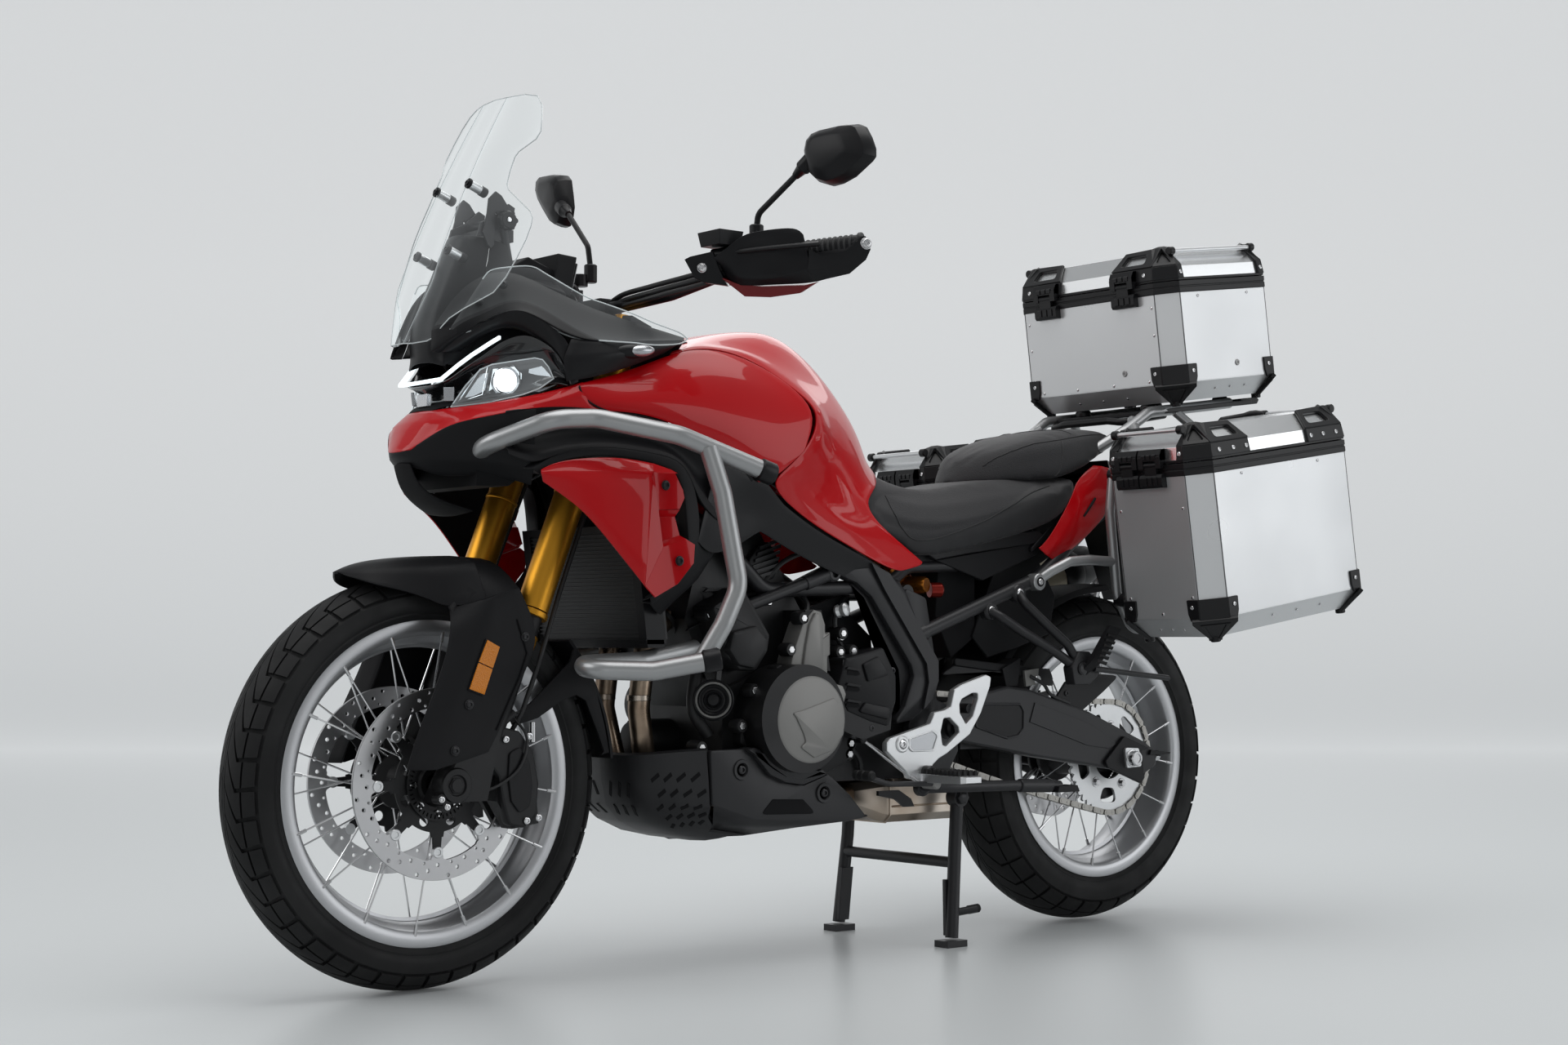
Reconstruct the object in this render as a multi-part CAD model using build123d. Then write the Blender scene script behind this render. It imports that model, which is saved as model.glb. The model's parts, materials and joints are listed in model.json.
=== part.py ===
from build123d import *
import math
import os

os.makedirs("parts", exist_ok=True)

# ---------------------------------------------------------------- driving sizes
# Millimetres.  +X points to the rear, the rider's left is -Y, +Z is up, the
# floor is Z = 0.  Shapes are drawn from the middle of the wheelbase and moved
# by SHIFT_X at the end, so the origin lies under the middle of the whole box.
SHIFT_X = -36.4
WHEELBASE = 1506.0
XF, XR = -WHEELBASE / 2, WHEELBASE / 2
R_FRONT, W_FRONT = 329.0, 112.0       # 110/80-19 tyre
R_REAR, W_REAR = 321.0, 150.0         # 150/70-17 tyre
ZF = R_FRONT
ZR = R_REAR + 3.0                     # rear wheel just clear on the centre stand
FLANGE_F, FLANGE_R = 255.0, 232.5     # outer radius of the rim flanges
DISC_R, DISC_Y, DISC_T = 151.0, 72.6, 5.0
RAKE = 21.5                           # fork angle from the vertical, degrees
FORK_Y = 105.0                        # half the spacing of the fork legs
FORK_X762 = -538.0                    # fork axis at Z = 762
YOKE_OFFSET = 30.0                    # steering axis behind the fork axes
R_UPPER, R_LOWER = 26.5, 21.5         # fork tube radii
AXLE_R = 10.0
SPROCKET_R, SPROCKET_Y = 110.0, -90.0
PIVOT = (264.0, 396.0)                # swingarm pivot, X and Z
CASE_T = 3.0                          # case wall
LID_GAP = 2.0

k = math.tan(math.radians(RAKE))
AX = Vector(math.sin(math.radians(RAKE)), 0, math.cos(math.radians(RAKE)))
ST0 = Vector(FORK_X762 + YOKE_OFFSET / math.cos(math.radians(RAKE)), 0, 762.0)


# ---------------------------------------------------------------- helpers
def cyl(p0, p1, r):
    a, b = Vector(*p0) if not isinstance(p0, Vector) else p0, Vector(*p1) if not isinstance(p1, Vector) else p1
    d = b - a
    return Solid.make_cylinder(r, d.length, Plane(origin=a, z_dir=d.normalized()))


def box(x0, x1, y0, y1, z0, z1):
    return Solid.make_box(x1 - x0, y1 - y0, z1 - z0, Plane(origin=(x0, y0, z0)))


def prism(pts, y0, y1):
    """Outline of (x, z) points, extruded from y0 to y1."""
    w = Wire.make_polygon([Vector(x, y0, z) for x, z in pts], close=True)
    return Solid.extrude(Face(w), Vector(0, y1 - y0, 0))


def rloft(sections):
    """Straight-sided loft through closed outlines with equal point counts."""
    ws = [Wire.make_polygon([Vector(*p) for p in s], close=True) for s in sections]
    body = Solid.make_loft(ws, True)
    if body.volume < 0:
        ws = [Wire.make_polygon([Vector(*p) for p in reversed(s)], close=True) for s in sections]
        body = Solid.make_loft(ws, True)
    return body


def tube(pts, r, bend=30.0):
    path = FilletPolyline(*[Vector(*p) for p in pts], radius=bend) if len(pts) > 2 else Line(pts[0], pts[1])
    sec = Plane(origin=path @ 0, z_dir=path % 0) * Circle(r)
    return sweep(sections=sec, path=path).solid()


def mir(s):
    return s.mirror(Plane.XZ)


def both(s):
    return [s, mir(s)]


def wheel(pts, xc, zc):
    """Outline of (radius, y) points turned about the wheel axis."""
    w = Wire.make_polygon([Vector(r, y, 0) for r, y in pts], close=True)
    return Pos(xc, 0, zc) * revolve(Face(w), Axis.Y, 360).solid()


def ring(r0, r1, y0, y1, xc, zc):
    return wheel([(r0, y0), (r1, y0), (r1, y1), (r0, y1)], xc, zc)


def fuse(*s):
    out = s[0]
    rest = [q for q in s[1:]]
    res = out.fuse(*rest)
    if isinstance(res, ShapeList):
        return Compound(list(res))
    return res


PARTS = {}


def put(name, *solids):
    flat = []
    for s in solids:
        if isinstance(s, (list, tuple, ShapeList)):
            for q in s:
                flat += list(q.solids())
        else:
            flat += list(s.solids())
    PARTS[name] = flat


# ---------------------------------------------------------------- wheels
def tyre(r_out, w, bead_r, bead_y, flange_r, xc, zc):
    h = w / 2
    sh = r_out - h * 0.70                      # where the crown arc begins
    with BuildPart() as bp:
        with BuildSketch(Plane.XY):
            with BuildLine():
                Polyline((bead_r, bead_y), (bead_r, -bead_y), (flange_r + 2.5, -bead_y - 2),
                         (flange_r + 10, -h * 0.92), (sh, -h))
                ThreePointArc((sh, -h), (r_out, 0), (sh, h))
                Polyline((sh, h), (flange_r + 10, h * 0.92), (flange_r + 2.5, bead_y + 2), (bead_r, bead_y))
            make_face()
        revolve(axis=Axis.Y)
    return Pos(xc, 0, zc) * bp.part.solid()


def spokes(n, hub_r, hub_y, rim_r, rim_y, xc, zc, r=1.8):
    out = []
    for i in range(n):
        side = 1 if i % 2 else -1
        a = 2 * math.pi * (i + 0.5) / n
        b = a + (0.42 if (i // 2) % 2 else -0.42)
        p0 = (xc + hub_r * math.cos(b), side * hub_y, zc + hub_r * math.sin(b))
        p1 = (xc + rim_r * math.cos(a), side * rim_y, zc + rim_r * math.sin(a))
        out.append(cyl(p0, p1, r))
    return out


put("front_tyre", tyre(R_FRONT, W_FRONT, 243.5, 40.5, FLANGE_F, XF, ZF))
put("rear_tyre", tyre(R_REAR, W_REAR, 222.5, 57.5, FLANGE_R, XR, ZR))

rim_f = wheel([(FLANGE_F, -47), (FLANGE_F, -43), (242, -42), (240, -24), (228, -16), (228, 16), (240, 24),
               (242, 42), (FLANGE_F, 43), (FLANGE_F, 47), (237, 47), (231, 28), (221, 18), (221, -18),
               (231, -28), (237, -47)], XF, ZF)
hub_f = wheel([(AXLE_R + 0.1, -66), (30, -66), (30, -52), (46, -50), (46, -42), (26, -34), (26, 34), (46, 42),
               (46, 50), (30, 52), (30, 66), (AXLE_R + 0.1, 66)], XF, ZF)
put("front_wheel", fuse(rim_f, hub_f, *spokes(32, 40, 46, 238, 45, XF, ZF)))

rim_r = wheel([(FLANGE_R, -66), (FLANGE_R, -61), (220, -60), (218, -36), (206, -26), (206, 26), (218, 36),
               (220, 60), (FLANGE_R, 61), (FLANGE_R, 66), (215, 66), (209, 44), (198, 28), (198, -28),
               (209, -44), (215, -66)], XR, ZR)
hub_r = wheel([(12.6, -78), (38, -78), (38, -60), (56, -58), (56, -50), (34, -40), (34, 40), (52, 50), (52, 58),
               (34, 60), (34, 72), (12.6, 72)], XR, ZR)
disc_r = ring(50, 125, 73, 78, XR, ZR)
carr_r = ring(12.6, 60, 70, 76, XR, ZR)
put("rear_wheel", fuse(rim_r, hub_r, disc_r, carr_r, *spokes(32, 48, 54, 216, 63, XR, ZR)))

discs = []
for sy in (-1, 1):
    y0 = sy * DISC_Y - DISC_T / 2
    rotor = ring(112, DISC_R, y0, y0 + DISC_T, XF, ZF)
    yc0, yc1 = sorted((sy * 66.2, sy * (DISC_Y + 1)))
    star = [ring(AXLE_R + 4, 52, yc0, yc1, XF, ZF)]
    for i in range(6):
        a = math.radians(60 * i + 30)
        y_a, y_b = sorted((sy * 69.0, sy * (DISC_Y + 1)))
        arm = Pos(XF, 0, ZF) * (Rot(0, -math.degrees(a), 0) * box(40, 118, y_a, y_b, -7, 7))
        star.append(arm)
    discs.append(fuse(rotor, *star))
put("front_discs", *discs)

# rear sprocket: toothed plate with six openings on a carrier
spr = ring(30, SPROCKET_R, SPROCKET_Y - 4, SPROCKET_Y + 4, XR, ZR)
spr = fuse(spr, ring(20, 62, SPROCKET_Y + 3, -79, XR, ZR))
for i in range(6):
    a = math.radians(60 * i)
    spr = spr.cut(cyl((XR + 78 * math.cos(a), -99, ZR + 78 * math.sin(a)),
                      (XR + 78 * math.cos(a), -79.5, ZR + 78 * math.sin(a)), 15))
put("rear_sprocket", spr)

# ---------------------------------------------------------------- fork and steering
def on_fork(s, y=0.0):
    """A point on a fork leg axis, s along it from Z = 762."""
    return Vector(FORK_X762, y, 762) + AX * s


S_UP0, S_UP1 = -170.0, 348.0
S_AXLE = (ZF - 762.0) / AX.Z
uppers = [cyl(on_fork(S_UP0, s * FORK_Y), on_fork(S_UP1, s * FORK_Y), R_UPPER) for s in (-1, 1)]
put("fork_tubes", *uppers)

legs = []
for s in (-1, 1):
    y = s * FORK_Y
    leg = cyl(on_fork(S_AXLE + 30, y), on_fork(S_UP0 - 0.5, y), R_LOWER)
    shoe = rloft([
        [(XF - 34, s * 84, ZF - 26), (XF + 60, s * 84, ZF - 26), (XF + 92, s * 84, ZF + 110), (XF + 38, s * 84, ZF + 118)],
        [(XF - 34, s * 130, ZF - 26), (XF + 56, s * 130, ZF - 26), (XF + 88, s * 130, ZF + 108), (XF + 42, s * 130, ZF + 114)],
    ])
    legs.append(fuse(leg, shoe))
axle = cyl((XF, -134, ZF), (XF, 134, ZF), AXLE_R)
put("fork_legs", fuse(legs[0], legs[1], axle))

pl_test = Plane(origin=ST0, x_dir=(0, 1, 0), z_dir=AX)
FWD = 1 if pl_test.y_dir.X < 0 else -1


def yoke_solid(s0, s1, back):
    pl = Plane(origin=ST0 + AX * s0, x_dir=(0, 1, 0), z_dir=AX)
    pts = [(-138, 6), (-138, 48), (-84, 62), (84, 62), (138, 48), (138, 6), (96, -6), (40, -back), (-40, -back),
           (-96, -6)]
    w = Wire.make_polygon([pl.from_local_coords(Vector(u, FWD * v, 0)) for u, v in pts], close=True)
    return Solid.extrude(Face(w), AX * (s1 - s0))


legs_hole = [cyl(on_fork(60, s * FORK_Y), on_fork(360, s * FORK_Y), R_UPPER + 0.05) for s in (-1, 1)]
low_yoke = yoke_solid(86, 118, 34)
top_yoke = yoke_solid(306, 334, 30)
stem = cyl(ST0 + AX * 90, ST0 + AX * 330, 14)
yokes = fuse(low_yoke, stem, top_yoke)
for h in legs_hole:
    yokes = yokes.cut(h)
risers = []
for s in (-1, 1):
    risers.append(cyl((-404, s * 52, 1060), (-416, s * 52, 1110), 15))
yokes = fuse(yokes, *risers)
BAR_R = 11.0
bar_pts = [(-176, -428, 1198), (-262, -300, 1187), (-368, -165, 1128), (-416, -78, 1112), (-416, 78, 1112),
           (-368, 165, 1128), (-262, 300, 1187), (-176, 428, 1198)]
bar = tube(bar_pts, BAR_R, 45)
yokes = yokes.cut(cyl((-416, -90, 1112), (-416, 90, 1112), BAR_R + 0.05))
put("fork_yokes", yokes)
grips = []
for s in (-1, 1):
    a, b = Vector(-262, s * 300, 1187), Vector(-176, s * 428, 1198)
    d = (b - a).normalized()
    grips.append(cyl(a + d * 12, b - d * 2, 16.5))
    # control pod inboard of the grip
    c, e = Vector(-368, s * 165, 1128), Vector(-262, s * 300, 1187)
    d2 = (e - c).normalized()
    grips.append(cyl(c + d2 * 105, c + d2 * 165, 21))
put("handlebar", fuse(bar, *grips))


def flat_panel(p0, p1, outline, t):
    """Upright plate through p0 and p1 in plan; outline is (distance, z); t is its thickness outwards."""
    dx, dy = p1[0] - p0[0], p1[1] - p0[1]
    n = math.hypot(dx, dy)
    ux, uy = dx / n, dy / n
    w = Wire.make_polygon([Vector(p0[0] + ux * a, p0[1] + uy * a, z) for a, z in outline], close=True)
    return Solid.extrude(Face(w), Vector(uy * t, -ux * t, 0))


guards = []
# outer face of each handguard: plan line from the inner front to the bar end
g = flat_panel((-392, -232), (-214, -466), [(0, 1150), (20, 1122), (150, 1118), (262, 1140), (292, 1168), (292, 1200),
                                          (220, 1222), (110, 1226), (28, 1200)], 5)
g_end = rloft([
    [(-216, -462, 1170), (-208, -474, 1170), (-208, -474, 1204), (-216, -462, 1204)],
    [(-166, -440, 1176), (-160, -452, 1176), (-160, -452, 1214), (-166, -440, 1214)],
])
guard_l = fuse(g, g_end)
put("handguards", *both(guard_l))

mirrors = []
stem_m = tube([(-292, -262, 1192), (-290, -268, 1232), (-268, -330, 1296), (-250, -372, 1345)], 6, 14)
boss = cyl((-293, -262, 1186), (-292, -263, 1214), 13)
HEAD = [(-352, 1328), (-376, 1404), (-462, 1408), (-494, 1378), (-476, 1330), (-400, 1312)]   # y, z of its outline
head = rloft([[(x - 0.2 * (y + 418) * f, -418 + (y + 418) * f, 1362 + (z - 1362) * f) for y, z in HEAD]
              for x, f in ((-264, 0.62), (-236, 0.96), (-214, 1.0))])
mirrors = [fuse(stem_m, boss, head)]
put("mirrors", *both(mirrors[0]))

# front mudguard: crown, side skirts, rear piece and the leg guards
def arc_band(r0, r1, y0, y1, a0, a1, xc, zc):
    """Part of a ring about a wheel axis, between angles a0 and a1 from +X, upwards positive."""
    w = Wire.make_polygon([Vector(r0, y0, 0), Vector(r1, y0, 0), Vector(r1, y1, 0), Vector(r0, y1, 0)], close=True)
    s = revolve(Face(w), Axis.Y, a1 - a0).solid()
    s = Rot(0, -a1, 0) * s
    return Pos(xc, 0, zc) * s


crown = arc_band(343, 350, -70, 70, 52, 112, XF, ZF)
crown_l = arc_band(318, 348, -74, -69, 52, 108, XF, ZF)
rear_f = arc_band(337, 343, -66, 66, 4, 54, XF, ZF)
tip = rloft([
    [(-872, -52, 652), (-872, 52, 652), (-868, 52, 660), (-868, -52, 660)],
    [(-924, -24, 632), (-924, 24, 632), (-923, 24, 637), (-923, -24, 637)],
])
guard_pts = [(-836, 354), (-781, 352), (-735, 420), (-640, 500), (-610, 567), (-600, 630), (-624, 672), (-737, 676),
             (-800, 634), (-764, 573), (-800, 460)]
leg_guard = prism(guard_pts, -147, -141)
link = box(-720, -650, -147, -70, 640, 650)
fend = fuse(crown, crown_l, mir(crown_l), rear_f, tip, leg_guard, mir(leg_guard), link, mir(link))
for s in (-1, 1):
    fend = fend.cut(cyl(on_fork(-240, s * FORK_Y), on_fork(-60, s * FORK_Y), R_UPPER + 3))
put("front_fender", fend)

cal = []
for s in (-1, 1):
    y0, y1 = sorted((s * 54, s * 112))
    body = prism([(-680, 395), (-640, 405), (-596, 330), (-590, 262), (-640, 255), (-668, 300)], y0, y1)
    s0, s1 = sorted((s * 64.5, s * 80.5))
    slot = ring(60, DISC_R + 6, s0, s1, XF, ZF)
    cal.append(body.cut(slot).solids().sort_by(SortBy.VOLUME)[-1])
put("front_calipers", *cal)

# brake hoses: from the lower yoke down behind each leg to the caliper
hoses = []
for s in (-1, 1):
    pts = [(-470, s * 104, 839), (-505, s * 110, 752), (-553, s * 114, 632), (-598, s * 124, 520), (-622, s * 112, 440),
           (-634, s * 100, 410)]
    hoses.append(tube(pts, 4.0, 60))
put("brake_hoses", *hoses)

# ---------------------------------------------------------------- frame
head_tube = cyl(ST0 + AX * 126, ST0 + AX * 298, 28).cut(cyl(ST0 + AX * 120, ST0 + AX * 304, 20))
spar = tube([(-425, -16, 932), (-330, -62, 890), (-250, -136, 838), (-60, -142, 760), (150, -142, 640), (236, -142, 500),
             (236, -142, 430)], 17, 40)
spar2 = tube([(-400, -14, 1000), (-300, -62, 958), (-200, -120, 880), (-20, -134, 780)], 13, 30)
low_tube = tube([(-262, -130, 842), (-235, -132, 720), (-150, -136, 640), (150, -142, 650)], 13, 30)
plate_pts = [(150, 650), (214, 640), (300, 470), (300, 330), (270, 300), (170, 300), (190, 380), (206, 480)]
plate = prism(plate_pts, -158, -143).cut(cyl((PIVOT[0], -170, PIVOT[1]), (PIVOT[0], -130, PIVOT[1]), 11.05))
sub_low = tube([(190, -146, 560), (513, -140, 672), (700, -118, 800), (790, -80, 862)], 12, 60)
sub_top = tube([(130, -136, 650), (200, -114, 686), (330, -112, 692), (440, -112, 724), (600, -112, 762), (790, -80, 866)], 11, 40)
half = [spar, spar2, low_tube, plate, sub_low, sub_top]
gusset = prism([(-440, 915), (-410, 1000), (-372, 1000), (-372, 905)], -26, 26).cut(
    cyl(ST0 + AX * 110, ST0 + AX * 310, 24))
cross1 = cyl((790, -90, 866), (790, 90, 866), 12)
cross2 = cyl((250, -150, 320), (250, 150, 320), 14)
cross3 = cyl((180, -140, 640), (180, 140, 640), 14)
cross4 = cyl((520, -112, 742), (520, 112, 742), 10)
frame_all = fuse(head_tube, gusset, *half, *[mir(h) for h in half], cross1, cross2, cross3, cross4)
put("main_frame", frame_all)

# engine: crankcase, cylinders and side covers as one heavy block
crank = prism([(-232, 306), (-232, 470), (-90, 520), (20, 540), (150, 520), (180, 470), (180, 306)], -128, 128)
barrel = prism([(-232, 440), (-300, 590), (-270, 700), (-140, 742), (-70, 640), (10, 520)], -112, 112)
stator = cyl((-116, -127, 421), (-116, -206, 421), 92)
clutch = cyl((-40, 127, 415), (-40, 186, 415), 104)
spr_cover = prism([(-14, 400), (-6, 520), (70, 520), (112, 470), (104, 396), (40, 380)], -178, -127)
top_cov = prism([(-90, 520), (-86, 606), (-50, 606), (-36, 540), (-30, 500)], -172, -111)
pocket = prism([(60, 350), (60, 486), (190, 486), (190, 350)], -106, -74)
put("engine", fuse(crank, barrel, stator, clutch, spr_cover, top_cov).cut(pocket))

radiator = prism([(-438, 738), (-398, 744), (-376, 556), (-414, 548)], -168, 168)
put("radiator", radiator)

# exhaust: two header pipes, silencer box below, pipe and muffler on the right
heads = []
for y in (-52, 52):
    heads.append(tube([(-290, y, 596), (-336, y, 560), (-352, y, 440), (-330, y * 0.8, 330), (-262, y * 0.7, 264),
                       (-150, y * 0.7, 262), (136, y * 0.7, 278)], 19, 44))
cat = rloft([
    [(120, -78, 240), (120, 78, 240), (120, 84, 300), (120, -84, 300)],
    [(160, -104, 226), (160, 104, 226), (160, 110, 304), (160, -110, 304)],
    [(344, -104, 226), (344, 104, 226), (344, 110, 296), (344, -110, 296)],
    [(358, -90, 232), (358, 90, 232), (358, 96, 290), (358, -96, 290)],
])
mid = tube([(330, 92, 276), (360, 148, 292), (384, 170, 366), (418, 170, 500), (462, 148, 574), (520, 132, 592)], 20, 36)
put("exhaust", fuse(*heads, cat, mid, cyl((500, 134, 582), (935, 134, 716), 43)))

pan_o = [(-388, 366), (-372, 252), (-256, 207), (90, 247), (34, 272), (-96, 332), (-213, 364)]
pan_i = [(-383, 372), (-367, 257), (-256, 212), (96, 252.5), (60, 400), (-213, 400)]
pan = prism(pan_o, -156, 156).cut(prism(pan_i, -151, 151))
for s in (-1, 1):
    corner = Solid.extrude(Face(Wire.make_polygon([Vector(-400, s * 96, 190), Vector(-400, s * 170, 190),
                                                   Vector(-300, s * 170, 190), Vector(-300, s * 157, 190)], close=True)),
                           Vector(0, 0, 200))
    pan = pan.cut(corner)
    flank = Solid.extrude(Face(Wire.make_polygon([Vector(-386, s * 92, 256), Vector(-383, s * 97, 256),
                                                  Vector(-300, s * 157, 256), Vector(-300, s * 151, 256)], close=True)),
                          Vector(0, 0, 108))
    pan = fuse(pan, flank)
put("skid_plate", pan)

# ---------------------------------------------------------------- swingarm, chain, shock
arm_pts = [(236, 380), (236, 418), (262, 432), (330, 450), (430, 498), (486, 490), (650, 420), (806, 354), (838, 334),
           (838, 306), (800, 290), (739, 300), (500, 334), (300, 368)]
arm_l = prism(arm_pts, -140, -111)
slot = box(XR - 14, XR + 34, -145, -108, ZR - 12.5, ZR + 12.5)
pivot_tube = cyl((PIVOT[0], -140, PIVOT[1]), (PIVOT[0], 140, PIVOT[1]), 22)
brace = box(332, 402, -114, 114, 352, 436)
swing = fuse(arm_l, mir(arm_l), pivot_tube, brace)
swing = swing.cut(cyl((PIVOT[0], -150, PIVOT[1]), (PIVOT[0], 150, PIVOT[1]), 11.05))
swing = swing.cut(cyl((XR, -150, ZR), (XR, 150, ZR), 12.0))
put("swingarm", swing)
rear_axle = fuse(cyl((XR, -158, ZR), (XR, 158, ZR), 11.9), cyl((XR, -160, ZR), (XR, -141, ZR), 18),
                 cyl((XR, 141, ZR), (XR, 158, ZR), 18), cyl((XR, -110.9, ZR), (XR, -96, ZR), 17),
                 cyl((XR, 83, ZR), (XR, 110.9, ZR), 17))
put("rear_axle", rear_axle)

FS = (118.0, 432.0, 40.0)                  # front sprocket x, z and pitch radius


def chain_band(d):
    with BuildSketch(Plane.XZ) as sk:
        with Locations((FS[0], FS[1])):
            Circle(FS[2] + d)
        with Locations((XR, ZR)):
            Circle(SPROCKET_R + 8.5 + d)
        make_hull()
    return sk.sketch.faces()[0]


outer_f, inner_f = chain_band(6), chain_band(-6)
ch = Solid.extrude(outer_f, Vector(0, 12, 0)).cut(Solid.extrude(inner_f, Vector(0, 12, 0)))
bb = ch.bounding_box()
ch = Pos(0, SPROCKET_Y - 6 - bb.min.Y, 0) * ch
put("drive_chain", ch)

shock = fuse(cyl((206, -20, 706), (300, -20, 440), 26), cyl((196, -60, 690), (250, -60, 650), 20),
             cyl((206, -20, 706), (180, -20, 690), 12), cyl((200, -62, 672), (200, -18, 690), 10))
put("rear_shock", shock)

hug = arc_band(334, 339, -84, 84, 96, 158, XR, ZR)
hug_fix = [box(440, 476, s0, s1, 476, 520) for s0, s1 in ((-128, -80), (80, 128))]
put("rear_hugger", fuse(hug, *hug_fix))

rc = prism([(640, 395), (676, 440), (742, 452), (742, 410), (690, 380), (662, 340)], 62, 108)
rc = rc.cut(ring(60, 131, 66, 85, XR, ZR))
rc = rc.solids().sort_by(SortBy.VOLUME)[-1]
put("rear_caliper", rc)

# ---------------------------------------------------------------- foot pegs
br = prism([(98, 396), (116, 342), (146, 306), (186, 300), (212, 330), (258, 352), (300, 402), (322, 478), (304, 492),
            (286, 480), (262, 440), (236, 424), (150, 404)], -198, -186)
hole1 = prism([(262, 380), (292, 410), (306, 462), (296, 466), (270, 424)], -210, -170)
hole2 = prism([(150, 360), (196, 350), (226, 372), (220, 396), (156, 384)], -210, -170)
br = br.cut(hole1).cut(hole2)
peg = rloft([[(150, -197, 300), (206, -197, 300), (206, -197, 326), (150, -197, 326)],
             [(160, -304, 302), (206, -304, 302), (206, -304, 320), (160, -304, 320)]])
stay = [cyl((196, -187, 318), (196, -158, 318), 8), cyl((288, -187, 430), (288, -158, 430), 8)]
lever = tube([(176, -214, 300), (60, -222, 304), (-10, -232, 322)], 5, 60)
lever_t = cyl((-10, -214, 322), (-10, -262, 322), 8)
lever_p = cyl((176, -186, 300), (176, -220, 300), 8)
rider_l = fuse(br, peg, *stay, lever, lever_t, lever_p)
brk = tube([(186, 214, 298), (60, 226, 290), (-6, 240, 300)], 5, 60)
rider_r = fuse(mir(br), mir(peg), *[mir(s) for s in stay], brk, cyl((-6, 222, 300), (-6, 268, 300), 9),
               cyl((186, 186, 298), (186, 220, 298), 8))
pp = fuse(tube([(440, -150, 652), (482, -190, 612), (560, -194, 500)], 9, 30),
          tube([(600, -140, 722), (592, -190, 668), (566, -194, 505)], 9, 24),
          cyl((560, -184, 498), (560, -206, 498), 15),
          rloft([[(556, -200, 486), (556, -226, 486), (556, -226, 506), (556, -200, 506)],
                 [(690, -232, 478), (690, -256, 478), (690, -256, 494), (690, -232, 494)]]))
pp_fix = cyl((440, -136, 652), (440, -158, 652), 12)
put("footpegs", rider_l, rider_r, *both(fuse(pp, pp_fix)))

# ---------------------------------------------------------------- stands
SS_P = Vector(186, -171, 290)
SS_DIR, SS_DOWN = Vector(314, -34, -7).normalized(), Vector(-0.36, -0.53, -0.768).normalized()
SS_AXIS = SS_DIR.cross(SS_DOWN).normalized()      # turns the folded leg to its place on the floor
ss_leg = tube([(186, -171, 290), (240, -186, 290), (380, -196, 288), (500, -204, 283)], 10, 80)
ss_foot = box(486, 524, -220, -188, 273, 284)
ss_eye = cyl(SS_P - SS_AXIS * 8, SS_P + SS_AXIS * 8, 13)
put("side_stand", fuse(ss_leg, ss_foot, ss_eye))

CS_P = (290.0, 268.0)
legs_c = []
for s in (-1, 1):
    legs_c.append(tube([(CS_P[0], s * 150, CS_P[1]), (284, s * 150, 180), (268, s * 158, 16)], 12, 60))
    y0, y1 = sorted((s * 138, s * 174))
    legs_c.append(box(244, 292, y0, y1, 0, 12))
cs_cross = cyl((280, -150, 150), (280, 150, 150), 10)
cs_eye = [cyl((CS_P[0], s * 138, CS_P[1]), (CS_P[0], s * 162, CS_P[1]), 17) for s in (-1, 1)]
cs_tang = cyl((274, -156, 60), (318, -170, 66), 7)
put("centre_stand", fuse(*legs_c, cs_cross, *cs_eye, cs_tang))

# ---------------------------------------------------------------- bodywork
# fuel tank with its rear side panels: columns are x, top half width and z,
# shoulder half width and z, belly half width and z, lowest half width and z
TANK = [
    (-300, 60, 1062, 120, 1040, 138, 960, 128, 872),
    (-206, 92, 1087, 160, 1052, 198, 940, 172, 838),
    (-69, 96, 1100, 168, 1050, 210, 930, 190, 800),
    (54, 70, 1030, 140, 985, 190, 880, 180, 770),
    (120, 60, 960, 118, 930, 172, 800, 168, 716),
    (200, 50, 862, 90, 850, 150, 770, 152, 690),
]
secs = []
for x, yt, zt, ys, zs, yb, zb, yl, zl in TANK:
    L = [(x, -yt, zt), (x, -ys, zs), (x, -yb, zb), (x, -yl, zl)]
    secs.append(L + [(x, yl, zl), (x, yb, zb), (x, ys, zs), (x, yt, zt)])
tank = rloft(secs)
inner = rloft([[(-310, -110, 840), (-310, -110, 985), (-310, 110, 985), (-310, 110, 840)],
               [(-200, -158, 800), (-200, -140, 908), (-200, 140, 908), (-200, 158, 800)],
               [(-20, -166, 740), (-20, -150, 822), (-20, 150, 822), (-20, 166, 740)],
               [(60, -166, 690), (60, -160, 795), (60, 160, 795), (60, 166, 690)],
               [(210, -144, 640), (210, -144, 735), (210, 144, 735), (210, 144, 640)]])
tank = tank.cut(inner)
tank = tank.cut(prism([(112, 905), (150, 822), (212, 760), (300, 700), (300, 1000), (160, 1000)], -152, 152))
put("fuel_tank", tank.solids().sort_by(SortBy.VOLUME)[-1])

# side covers beside the tank, reaching forward to the lamp: x, z top, y top, z bottom, y bottom, y belly, z belly
COVER = [
    (-606, 962, 186, 946, 196, 200, 954),
    (-500, 1004, 180, 922, 214, 222, 958),
    (-400, 1040, 172, 890, 222, 236, 956),
    (-300, 1064, 160, 856, 222, 242, 950),
    (-180, 1070, 172, 812, 206, 238, 940),
    (-84, 1040, 196, 830, 212, 226, 940),
]
cs = []
for x, zt, yt, zb, yb, ym, zm in COVER:
    th = 5
    cs.append([(x, -yt, zt), (x, -ym, zm), (x, -yb, zb), (x, -(yb - th), zb), (x, -(ym - th - 1), zm), (x, -(yt - th), zt - 1)])
cover = rloft(cs)
cover = cover.cut(tank)
put("tank_side_covers", *both(cover.solids().sort_by(SortBy.VOLUME)[-1]))

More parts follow.
